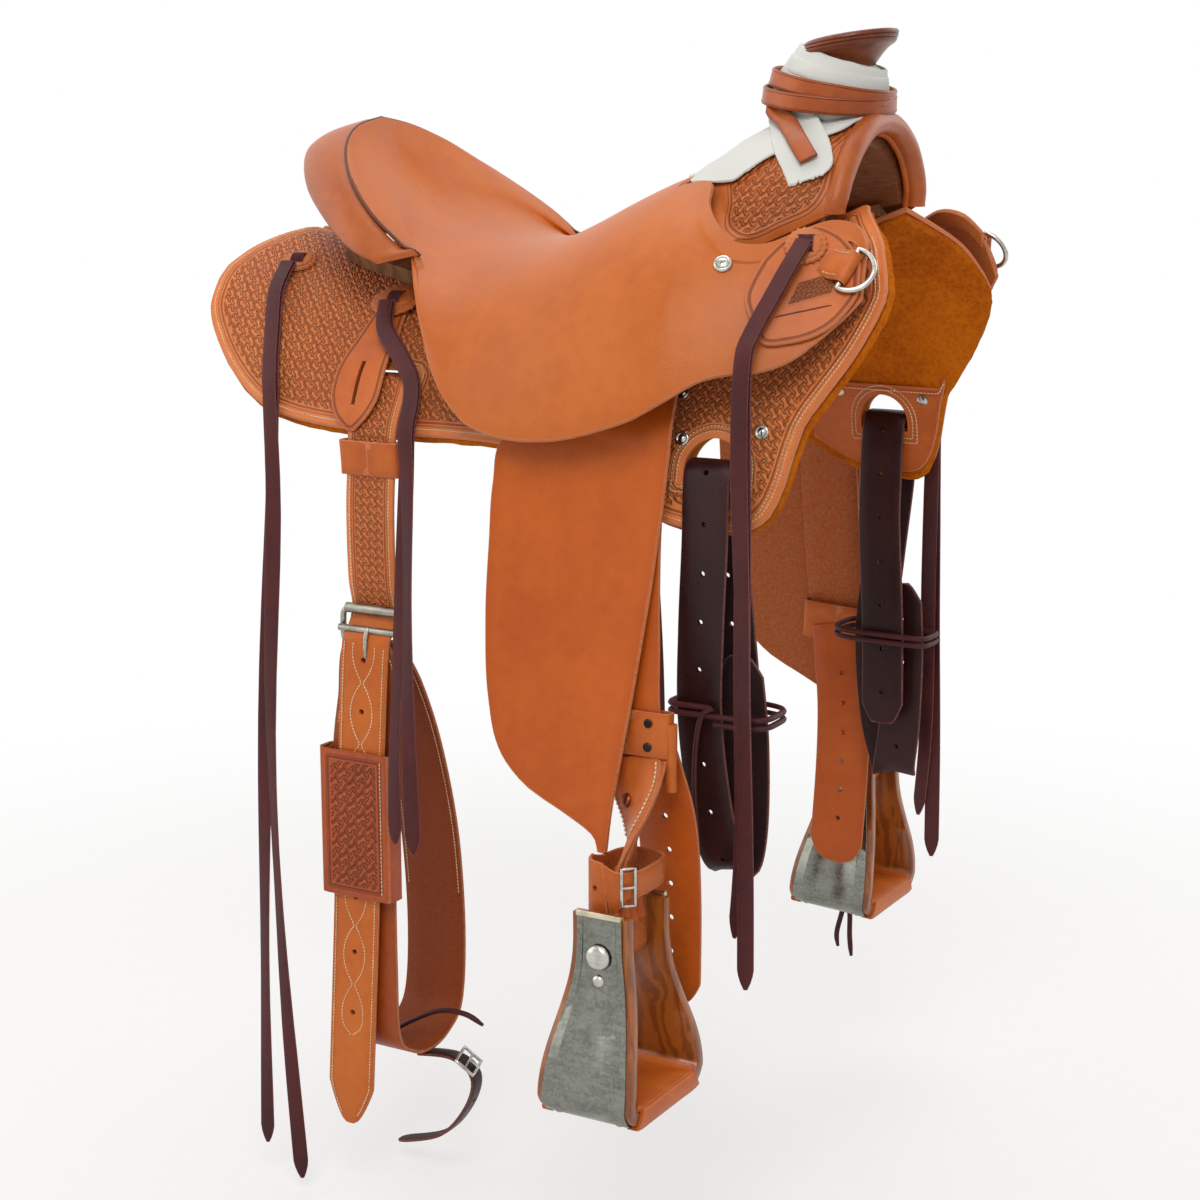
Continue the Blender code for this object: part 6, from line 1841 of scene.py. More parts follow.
    def make_seat(self) -> None:
        """Seat leather: a fine grid through the stations and the two wings."""
        stations, n = len(self.jockey) + self.seam_stations + 1, self.rows
        rows = []
        for k in range(stations):
            half = [self.seat_point(k, j / n) for j in range(n + 1)]
            right = [Vector((p.x, -p.y, p.z)) for p in half]
            rows.append(list(reversed(right)) + half[1:])
        for (top_x, top_z), (low_x, low_z) in zip(self.wing_top, self.wing_low):
            row = [Vector()] * (2 * n + 1)
            for side in (-1, 1):
                for j in range(self.wing_row, n + 1):
                    t = (j - self.wing_row) / (n - self.wing_row)
                    x, z = lerp(top_x, low_x, t), lerp(top_z, low_z, t)
                    row[n + side * j] = Vector((x, side * SEAT_FORM.side_width(x, z), z))
            for j in range(-self.wing_row + 1, self.wing_row):
                row[n + j] = rows[-1][n + j] * 2 - rows[-2][n + j]
            rows.append(row)
        fine, step = 6, 4
        grid = smooth_grid(rows, step, fine)
        wide = len(grid[0])
        bare = (stations - 1) * step
        middle, gap = n * fine, self.wing_row * fine
        faces = [f for f in grid_faces(len(grid), wide)
                 if f[0] // wide < bare or abs(f[0] % wide + 0.5 - middle) > gap]
        shape = Shape().sheet([p for row in grid for p in row], faces, self.thick, BACK.out,
                              BACK.lay)
        self.piece("seat_skin", shape, SEAT, "saddle", "saddle_leather", ("seat_leather",))

    def make_roll(self) -> None:
        """Plump roll behind the rim, with a seam where it meets the seat."""
        section = ((0.0, 0.0), (0.22, 0.30), (0.58, 0.38), (0.88, 0.16), (1.01, -0.22),
                   (0.97, -0.56), (0.80, -0.72), (0.58, -0.58), (0.34, -0.24))
        rings, seam, half = [], [], 60
        for k in range(-half, half + 1):
            tau, side = abs(k) / half * self.roll_reach, (-1 if k < 0 else 1)
            inner, outer, along, up = self.roll_place(tau, side)
            inside = self.seat_inside(min(0.999, tau))
            inside.y *= side
            back = along.cross(inside - inner).normalized() * side
            start = inner + back * (self.thick + 0.0004)
            out, thick = outer - start, self.roll_thick * (1 - 0.60 * tau)
            close = 1 - smooth((tau - 0.90) / 0.10) * 0.35
            loop = [start + out * a + up * thick * b * close for a, b in section]
            loop = spline(loop + loop[:1], 37)[:-1]
            rings.append(loop)
            seam.append(inner + back * (self.thick * 0.55) + up * 0.0012)
        lay = [(i * 0.004, j * 0.003, 0.02) for i in range(len(rings)) for j in range(36)]
        self.piece("cantle_roll", Shape().rings(rings, lay), ROLL, "saddle", "saddle_leather",
                   ("cheyenne_roll",))
        self.piece("cantle_seam", Shape().tube(seam, 0.0016, 8), LINING, "saddle",
                   "saddle_leather", ("cheyenne_roll",))
        spots = [seam[i] for i in (1, 2, -2, -3)]
        ends = Shape()
        for p in spots:
            ends.turned(((0.0009, 0.0), (0.0016, 0.0012), (0.0009, 0.0020)), p,
                        UP, 10)
        self.piece("cantle_seam_knots", ends, LINING, "saddle", "saddle_leather",
                   ("cheyenne_roll",))

    def make_cantle(self) -> None:
        """Leather back of the cantle under the roll."""
        rings, half = [], 24
        for k in range(-half, half + 1):
            tau, side = abs(k) / half * self.cantle_reach, (-1 if k < 0 else 1)
            inner, outer, _, up = self.roll_place(tau, side)
            out = (outer - inner).normalized()
            front = inner + out * 0.014 - up * (self.roll_thick * 0.7)
            back = front + out * 0.020
            ring = [front, back]
            for x in (back.x + 0.026, front.x + 0.030):
                y = back.y * 0.80
                height, wide = BACK.height(x) + BACK.bar_top, BACK.half_width(x) + BACK.bar_top
                z = BACK.axis_z + height * math.sqrt(1 - (y / wide) ** 2)
                ring.append(Vector((x, y, z - 0.0015)))
            rings.append(ring)
        self.piece("cantle_back", Shape().rings(rings), SMOOTH, "saddle", "saddle_leather",
                   ("cantle",), bevel=0.002)

    def make_screws(self) -> None:
        """Slotted screw in a cupped washer on each side of the seat, the shade in its slots painted
        as dark strips.
        """
        for side in Side:
            s = side.value
            n, at = normal_at(SEAT_FORM.at, s, *self.screw), SEAT_FORM.at(*self.screw, s)
            cup = Shape().turned(((0.0080, -0.0005), (0.0084, 0.0008), (0.0074, 0.0024),
                                  (0.0060, 0.0028), (0.0052, 0.0018), (0.0044, 0.0016),
                                  (0.0042, 0.0026), (0.0030, 0.0032), (0.0004, 0.0034)), at, n, 32)
            # Painted shade: thin dark strips over the head stand for the shade in the screw's
            # slots.
            slot = Shape()
            way = n.orthogonal().normalized()
            for arm in (way, n.cross(way)):
                slot.strap(Strap([at + n * 0.0033 - arm * 0.0026, at + n * 0.0034,
                                  at + n * 0.0033 + arm * 0.0026], n.cross(arm), 0.0008, 0.0006))
            self.piece(f"seat_screw_{side.tag}", cup, NICKEL, "saddle", "metal")
            self.piece(f"seat_screw_slot_{side.tag}", slot, HORN, "saddle", "metal")


# Skirts.

def laid_flat(line: Sequence[tuple[float, float]]) -> list[tuple[float, float]]:
    """A side outline of x and z laid flat on the skirt."""
    return [BACK.lay(BACK.skirt(x, z, 1)) for x, z in line]


@dataclass
class Skirts(SubAssembly):
    """Skirts, their fleece, the stitching, and the rigging liners inside."""

    rear_x: float = -0.359
    front_x: float = 0.357
    lower: tuple = ((-0.359, 0.002), (-0.352, -0.022), (-0.326, -0.054), (-0.296, -0.082),
                    (-0.259, -0.106), (-0.209, -0.119), (-0.120, -0.125), (0.000, -0.125),
                    (0.080, -0.134), (0.140, -0.162), (0.190, -0.184), (0.250, -0.186),
                    (0.275, -0.174), (0.289, -0.143), (0.299, -0.099), (0.314, -0.073),
                    (0.338, -0.036), (0.352, -0.006), (0.357, 0.010))
    upper: tuple = ((-0.359, 0.014), (-0.350, 0.031), (-0.335, 0.047), (-0.310, 0.075),
                    (-0.200, 0.120), (0.240, 0.160), (0.300, 0.090), (0.339, 0.058),
                    (0.353, 0.032), (0.357, 0.020))
    spine: tuple = ((-0.360, 0.006), (-0.200, 0.008), (0.000, 0.030), (0.250, 0.060),
                    (0.360, 0.070))
    left_trim: float = 0.018
    columns: int = 111
    rows: int = 27
    thick: float = 0.0060
    fleece_top: float = 0.0100
    rivets: tuple = ((0.1851, -0.0737), (0.1928, -0.1116), (0.2646, -0.1023))

    def trim(self, side: int, x: float) -> float:
        """How much the left skirt's front is shorter than the right one's."""
        return (self.left_trim if side > 0 else 0.0) * smooth((x - 0.20) / 0.157)

    def grid(self, side: int, lift: float, grow: float = 0.0) -> list[Vector]:
        """Points of one layer.

        Args:
            side: -1 right, 1 left.
            lift: Height over the back.
            grow: How far the layer reaches past the skirt's outline.

        Returns:
            Rows of points from the rear to the front, each from the top down.
        """
        points = []
        middle, half = (self.front_x + self.rear_x) / 2, (self.front_x - self.rear_x) / 2
        for i in range(self.columns):
            share = -math.cos(math.pi * i / (self.columns - 1))
            at = middle + half * share
            trim = self.trim(side, at)
            x = at - trim
            nearest = math.asin(read_off(self.spine, x) / (BACK.half_width(x) + BACK.skirt_top))
            top = max(BACK.angle(x, read_off(self.upper, at) - 0.9 * trim, BACK.skirt_top), nearest)
            low = BACK.angle(x, read_off(self.lower, at) - 0.9 * trim, BACK.skirt_top)
            x += grow * math.copysign(abs(share) ** 20, share)
            top, low = top - grow / BACK.lay_radius, low + grow / BACK.lay_radius
            points += [BACK.point(x, lerp(top, low, j / (self.rows - 1)), lift, side)
                       for j in range(self.rows)]
        return points

    def rig_slot(self, grow: float = 0.0) -> list[tuple[float, float]]:
        """D shaped hand slot over the bar that the latigo hangs on."""
        x, top, bottom, half = RIGGING.bar_x, -0.110, -0.146, 0.026 + grow
        arch = [(x - half * math.cos(math.pi * k / 20), bottom + 0.010
                 + (top - bottom - 0.010 + grow) * math.sin(math.pi * k / 20)) for k in range(21)]
        return arch + [(x + half, bottom - grow), (x - half, bottom - grow)]

    def flank_slot(self, grow: float = 0.0) -> list[tuple[float, float]]:
        """Slot that the flank billet comes through."""
        x, z, half, high = RIGGING.flank_x, RIGGING.flank_z, 0.031 + grow, 0.006 + grow
        return [(x - half, z - high), (x + half, z - high), (x + half, z + high * 0.4),
                (x + half * 0.8, z + high), (x - half * 0.8, z + high), (x - half, z + high * 0.4)]

    def outline(self, side: int) -> list[tuple[float, float]]:
        """Outline of the skirt laid flat: distance along the horse and round it."""
        grid, rows = self.grid(side, BACK.skirt_top), self.rows
        top = [grid[i * rows] for i in range(self.columns)]
        low = [grid[i * rows + rows - 1] for i in range(self.columns)]
        front = grid[(self.columns - 1) * rows + 1:self.columns * rows - 1]
        loop = top + front + list(reversed(low)) + list(reversed(grid[1:rows - 1]))
        return [BACK.lay(p) for p in loop]

    def on(self, flat: tuple[float, float], side: int, proud: float) -> Vector:
        """A point of the laid out skirt back on the horse."""
        lift, turn = BACK.skirt_top + proud, flat[1] / BACK.lay_radius
        wide, high = BACK.half_width(flat[0]) + lift, BACK.height(flat[0]) + lift
        angle = math.atan2(high * math.sin(turn), wide * math.cos(turn))
        return BACK.point(flat[0], angle, lift, side)

    def build(self) -> None:
        """Make the skirts of both sides."""
        for side in Side:
            s, tag = side.value, side.tag
            slots = [laid_flat(self.rig_slot()), laid_flat(self.flank_slot())]
            faces = grid_faces(self.columns, self.rows)
            punch = prism(self.rig_slot(), s)
            slot = prism(self.flank_slot(), s)
            punch.add(slot.points, slot.faces, slot.lay)

            def marks(p: Vector, lay: Lay) -> Lay:
                """Keep the stamp off the borders of the slots."""
                u, v = BACK.lay(p)
                near = min([abs(lay[2])] + [max(0.0, -gap_to(line, u, v)) for line in slots])
                return u, v, math.copysign(near, lay[2])

            fleece = Shape().sheet(self.grid(s, self.fleece_top, 0.0016), faces,
                                   self.fleece_top - 0.0002, BACK.out, BACK.lay)
            self.piece(f"skirt_fleece_{tag}", fleece, WOOL, "saddle", "wool",
                       (f"fleece_{tag}",), cut=punch, rough=0.0011)
            skirt = Shape().sheet(self.grid(s, BACK.skirt_top), faces, self.thick, BACK.out,
                                  BACK.lay)
            self.piece(f"skirt_leather_{tag}", skirt, TOOLED, "saddle", "tooled_leather",
                       (f"skirt_{tag}",), cut=punch, relay=marks)
            self.make_stitching(side)
            self.make_rivets(side)
            self.make_liner(side)

    def make_stitching(self, side: Side) -> None:
        """Rows of thread along the edges and round the slots."""
        s = side.value
        outline = self.outline(s)
        shape = Shape()

        def row(flat: Sequence[tuple[float, float]], keep: Callable[[Vector], bool]) -> None:
            """Stitch the parts of a line that are kept."""
            run: list[Vector] = []
            for spot in [*flat, None]:
                p = self.on(spot, s, 0.0002) if spot else None
                if p is not None and keep(p):
                    run.append(p)
                    continue
                if len(run) > 2:
                    shape.stitches(run, BACK.out_way, 0.0034)
                run = []
        row(inset(outline, 0.0045), lambda p: p.z < 0.062)
        row(inset(outline, 0.0080), lambda p: p.z < 0.050 and p.x > 0.262)
        for line in (self.rig_slot(0.0060), self.rig_slot(0.0105), self.flank_slot(0.0060)):
            flat = laid_flat(line)
            row([*flat, flat[0]], lambda p: True)
        self.piece(f"skirt_stitching_{side.tag}", shape, THREAD, "saddle", "tooled_leather")

    def make_rivets(self, side: Side) -> None:
        """Flat rivets with washers on the rigging."""
        shape = Shape()
        for x, z in self.rivets:
            n = normal_at(BACK.skirt, side.value, x, z)
            shape.turned(((0.0060, -0.0003), (0.0062, 0.0006), (0.0056, 0.0013), (0.0044, 0.0014),
                          (0.0038, 0.0008), (0.0034, 0.0010), (0.0028, 0.0019), (0.0004, 0.0022)),
                         BACK.skirt(x, z, side.value), n, 28)
        self.piece(f"skirt_rivets_{side.tag}", shape, NICKEL, "saddle", "metal")

    def make_liner(self, side: Side) -> None:
        """Leather plate inside the fleece that carries the rigging."""
        s, tag = side.value, side.tag
        across, down, points = 27, 13, []
        for i in range(across):
            x = lerp(0.142, 0.300 if s < 0 else 0.292, i / (across - 1))
            trim = self.trim(s, x)
            low = read_off(self.lower, x + trim) - 0.9 * trim + 0.004
            top = max(-0.100 - 0.010 * smooth((0.165 - x) / 0.02), low + 0.006)
            points += [BACK.point(x, BACK.angle(x, lerp(top, low, j / (down - 1)), -0.001),
                                  -0.0036, s) for j in range(down)]
        plate = Shape().sheet(points, grid_faces(across, down), 0.0032,
                              lambda p: -BACK.out(p), BACK.lay)
        self.piece(f"rig_liner_{tag}", plate, SMOOTH, "saddle", "saddle_leather",
                   cut=prism(self.rig_slot(), s))
        seam, rivets = Shape(), Shape()
        for grow in (0.006, 0.0105):
            line = self.rig_slot(grow)
            path = [BACK.point(x, BACK.angle(x, z, -0.001), -0.0038, s)
                    for x, z in [*line, line[0]]]
            seam.stitches(path, lambda p: -BACK.out_way(p), 0.0036)
        edge = [points[i * down] for i in range(across)]
        seam.stitches([p + Vector((0, 0, -0.004)) for p in edge],
                      lambda p: -BACK.out_way(p), 0.0036)
        for x, z in ((0.1760, -0.1080), (0.2680, -0.1120)):
            p = BACK.point(x, BACK.angle(x, z, -0.001), -0.0036, s)
            rivets.turned(((0.0058, -0.0003), (0.0056, 0.0010), (0.0030, 0.0020), (0.0004, 0.0024)),
                          p, -BACK.out_way(p), 20)
        self.piece(f"rig_liner_stitching_{tag}", seam, THREAD, "saddle", "saddle_leather")
        self.piece(f"rig_liner_rivets_{tag}", rivets, NICKEL, "saddle", "metal")


# Trim.

@dataclass
class Trim(SubAssembly):
    """Rosettes, dee flaps with their dees, and leaf dangles."""

    flap_thick: float = 0.0035
    flap_face: float = 0.0049
    wire: float = 0.0024
    dee_radius: float = 0.0195
    clearance: float = 0.0006
    thick: float = 0.0045
    flap: tuple = ((0.258, 0.040), (0.252, 0.012), (0.262, -0.010), (0.2735, -0.0262),
                   (0.292, -0.0255), (0.310, -0.0205), (0.325, -0.011), (0.335, 0.002),
                   (0.340, 0.014), (0.338, 0.028), (0.333, 0.042), (0.320, 0.054),
                   (0.306, 0.062), (0.288, 0.066), (0.270, 0.056))
    hub: tuple = (0.298, 0.020)
    stamp_panel: tuple = ((0.2897, 0.0222), (0.3243, 0.0336), (0.3196, 0.0130), (0.2843, 0.0021))
    leaf_half: tuple = ((0.012, 0.011), (0.002, 0.014), (-0.014, 0.017), (-0.032, 0.021),
                        (-0.050, 0.024), (-0.066, 0.026), (-0.084, 0.025), (-0.100, 0.017),
                        (-0.113, 0.004))
    leaf_drift: float = 0.06
    dee_spot: tuple = (0.328, 0.032)
    front_spot: tuple = (0.288, 0.050)
    inner_spot: tuple = (-0.150, -0.012)
    outer_spot: tuple = (-0.290, 0.018)

    def build(self) -> None:
        """Make the trim of both sides."""
        for side in Side:
            self.make_flap(side)
            self.make_dee(side)
            self.make_leaf(side)
            for name, place, spot, radius, proud in (
                    ("front", SEAT_FORM.at, self.front_spot, 0.0190,
                     self.flap_face + self.clearance),
                    ("inner", BACK.skirt, self.inner_spot, 0.0260, 0.0056),
                    ("outer", BACK.skirt, self.outer_spot, 0.0190, self.clearance)):
                self.make_rosette(name, place, spot, radius, side, proud)

    def make_rosette(self, name: str, place: Place, spot: tuple, radius: float, side: Side,
                     proud: float) -> None:
        """Scalloped leather disc, the string's crossing, and painted shade in its string cuts.

        Args:
            name: Which rosette.
            place: Surface that it lies on.
            spot: x and z of its middle.
            radius: Its radius.
            side: Which side.
            proud: Height of its foot over the surface.
        """
        s, t = side.value, self.thick
        n, at = normal_at(place, s, *spot), place(*spot, s, proud)
        shape = Shape().turned(((radius, 0.0), (radius, t * 0.34), (radius * 0.94, t * 0.52),
                                (radius * 0.80, t * 0.62), (radius * 0.40, t * 0.70)), at, n, 140,
                               0.085, 20)
        share = 0.74 if radius > 0.02 else 0.78
        shape.turned(((radius * share, t * 0.50), (radius * share, t * 0.86),
                      (radius * share * 0.92, t * 0.98), (radius * share * 0.5, t * 1.10),
                      (radius * 0.05, t * 1.14)), at, n, 112, 0.085, 16)
        self.piece(f"rosette_{name}_leather_{side.tag}", shape, ROSETTE, "saddle",
                   "saddle_leather", (f"rosette_{name}_{side.tag}",))
        down = (n * n.z - UP).normalized()
        wide = n.cross(down).normalized()
        knot = [at + down * (0.0075 * math.cos(math.pi * k / 8))
                + n * (t * 0.9 + 0.0034 * math.sin(math.pi * k / 8)) for k in range(9)]
        strap = Strap(knot, wide, 0.0128, 0.0018, 0.0003)
        # Painted shade: thin dark strips stand for the shade in the two cuts that the string goes
        # through.
        slit_shades = Shape()
        for way in (-1, 1):
            spots = [at + down * way * 0.0082 + wide * x + n * t * 1.06
                     for x in (-0.0075, 0, 0.0075)]
            slit_shades.strap(Strap(spots, down, 0.0014, 0.0008))
        self.piece(f"rosette_{name}_crossing_{side.tag}", Shape().strap(strap), LACE, "saddle",
                   "dark_leather")
        self.piece(f"rosette_{name}_slits_{side.tag}", slit_shades, HORN, "saddle", "saddle_leather")

    def dee_frame(self, side: int) -> tuple[Vector, Vector, Vector, Vector]:
        """Middle of the dee's bar, the bar's direction, the way it hangs and the normal."""
        x, z = self.dee_spot
        n = normal_at(SEAT_FORM.at, side, x, z)
        ahead = SEAT_FORM.at(x + 0.003, z + 0.0095, side) - SEAT_FORM.at(x, z, side)
        axis = (ahead - n * ahead.dot(n)).normalized()
        hang = axis.cross(n).normalized()
        hang = hang if hang.x > 0 else -hang
        return SEAT_FORM.at(x, z, side, self.flap_face + self.wire + self.clearance), axis, hang, n

    def make_flap(self, side: Side) -> None:
        """Small flap over the front jockey, with the chape that holds the dee."""
        s, tag = side.value, side.tag
        flat = [Vector((x, 0, z)) for x, z in self.flap]
        loop = [(p.x, p.z) for p in spline([*flat, flat[0]], 97)[:-1]]
        steps = (0.12, 0.25, 0.38, 0.5, 0.62, 0.74, 0.84, 0.91, 0.96, 1.0)
        points = [SEAT_FORM.at(*self.hub, s, self.flap_face)]
        for t in steps:
            points += [SEAT_FORM.at(lerp(self.hub[0], x, t), lerp(self.hub[1], z, t), s,
                                    self.flap_face) for x, z in loop]
        n = len(loop)
        faces = [(0, 1 + (i + 1) % n, 1 + i) for i in range(n)]
        for r in range(len(steps) - 1):
            a = 1 + r * n
            faces += [(a + i, a + (i + 1) % n, a + n + (i + 1) % n, a + n + i) for i in range(n)]
        shape = Shape().sheet(points, faces, self.flap_thick, BACK.out, lambda p: (p.x, p.z))
        self.piece(f"dee_flap_leather_{tag}", shape, FLAP, "saddle", "saddle_leather",
                   (f"dee_flap_{tag}",))
        centre, axis, hang, up = self.dee_frame(s)
        path = [centre + hang * a + up * b for a, b in
                ((-0.0240, -0.0016), (-0.0170, -0.0014), (-0.0105, -0.0002), (-0.0060, 0.0022),
                 (-0.0025, 0.0040), (0.0008, 0.0043), (0.0034, 0.0031), (0.0044, 0.0008),
                 (0.0040, -0.0016), (0.0020, -0.0030))]
        chape = Strap(spline(path, 25), axis, 0.0300, 0.0026, 0.0004).tapered(0.72, 1.0, 0.010)
        self.piece(f"dee_chape_{tag}", Shape().strap(chape), SMOOTH, "saddle", "saddle_leather")
        seam = Shape()
        for u in (-0.011, 0.011):
            seam.stitches(chape.line(u, 0.0002, 2, 11), up, 0.0030)
        # Painted shade: a thin dark strip on the flap stands for the shade in its slit.
        slit = [SEAT_FORM.at(lerp(0.2775, 0.3216, t), lerp(-0.0060, 0.0043, t), s,
                             self.flap_face + 0.0001) for t in (k / 12 for k in range(13))]
        cut = Strap(slit, Vector((0.2, 0, 1)), 0.0017, 0.0004).tapered(0.3, 0.3, 0.004)
        self.piece(f"dee_flap_slit_{tag}", Shape().strap(cut), HORN, "saddle", "saddle_leather")
        self.piece(f"dee_chape_stitching_{tag}", seam, THREAD, "saddle", "saddle_leather")
        rows = []
        a, b, c, d = (Vector((x, 0, z)) for x, z in self.stamp_panel)
        for i in range(13):
            row = []
            for j in range(9):
                p = lerp(lerp(a, b, i / 12), lerp(d, c, i / 12), j / 8)
                row.append(SEAT_FORM.at(p.x, p.z, s, self.flap_face + 0.0003))
            rows.append(row)
        panel = sheet_over(rows, 0.0004, BACK.out, lambda p: (p.x, p.z))
        self.piece(f"dee_flap_panel_{tag}", panel, PANEL, "saddle", "saddle_leather")

    def make_dee(self, side: Side) -> None:
        """Nickel ring in the chape."""
        centre, axis, hang, _ = self.dee_frame(side.value)
        path = []
        for a in round_angles(60):
            reach = max(math.cos(a), -0.15) + 0.15
            path.append(centre + hang * reach * self.dee_radius
                        + axis * math.sin(a) * self.dee_radius)
        self.piece(f"dee_ring_{side.tag}", Shape().tube(path, self.wire, 14, closed=True), NICKEL,
                   f"dee_{side.tag}", "metal", (f"dee_{side.tag}",))

    def make_leaf(self, side: Side) -> None:
        """Leaf shaped dangle with a slot, under the inner rosette."""
        s, rows = side.value, []
        for drop, width in self.leaf_half:
            x, z = self.inner_spot[0] + self.leaf_drift * -drop, self.inner_spot[1] + drop
            lift = 0.0044 + 0.0074 * smooth((-drop - 0.03) / 0.03)
            row = []
            for t in (-1, -0.5, 0.0, 0.5, 1):
                p = BACK.skirt(x + t * width, max(z, -0.116), s, lift)
                row.append(Vector((p.x, p.y, z)))
            rows.append(row)
        shape = sheet_over(smooth_grid(rows, 4, 5), 0.0030, BACK.out, lambda p: (p.x, p.z))
        x = self.inner_spot[0] + self.leaf_drift * 0.072
        slot = [(x - 0.003, -0.064), (x + 0.001, -0.064), (x + 0.004, -0.102), (x, -0.102)]
        self.piece(f"leaf_leather_{side.tag}", shape, FLAP, "saddle", "saddle_leather",
                   (f"leaf_{side.tag}",), cut=prism(slot, s))


# Stirrup legs.

@dataclass
class LegPart(SubAssembly):
    """What the pieces of a stirrup leg share."""

    pivot: tuple = (0.165, 0.0, 0.020)
    left_lean: float = -3.5
    inner_y: float = 0.158
    width: float = 0.0635
    strap_thick: float = 0.0040
    fender_thick: float = 0.0042
    bolt_x: float = 0.192
    bolt_y: float = 0.295
    bolt_z: float = -0.538

    def leaned(self, p: Vector, side: int) -> Vector:
        """A point of a leg turned to the angle that the leg hangs at."""
        turn = Matrix.Rotation(math.radians(self.left_lean if side > 0 else 0.0), 3, "Y")
        return turn.transposed() @ (Vector(p) - Vector(self.pivot)) + Vector(self.pivot)

    def outer_y(self, r: float) -> float:
        """Distance of the fender's face from the middle of the horse."""
        return self.inner_y + 0.0585 * smooth(r / 0.140) + 0.190 * max(0.0, r - 0.140)

    def hang(self, name: str, shape: Shape, finish: Finish, side: Side, body: str, slot: str,
             hides: Sequence[str] = (), cut: Shape | None = None) -> None:
        """Make one piece of a leg.

        Args:
            name: Its name, without the side.
            shape: Its mesh, for a leg that hangs straight.
            finish: What it is dressed in.
            side: Which leg.
            body: Body that carries it, without the side.
            slot: The record's slot of its finish.
            hides: CAD nodes that it stands for, without the side.
            cut: Shape of its holes.
        """
        for part in (shape, cut):
            if part:
                part.points = [self.leaned(p, side.value) for p in part.points]
        self.piece(f"{name}_{side.tag}", shape, finish, f"{body}_{side.tag}", slot,
                   [f"{node}_{side.tag}" for node in hides], cut=cut)


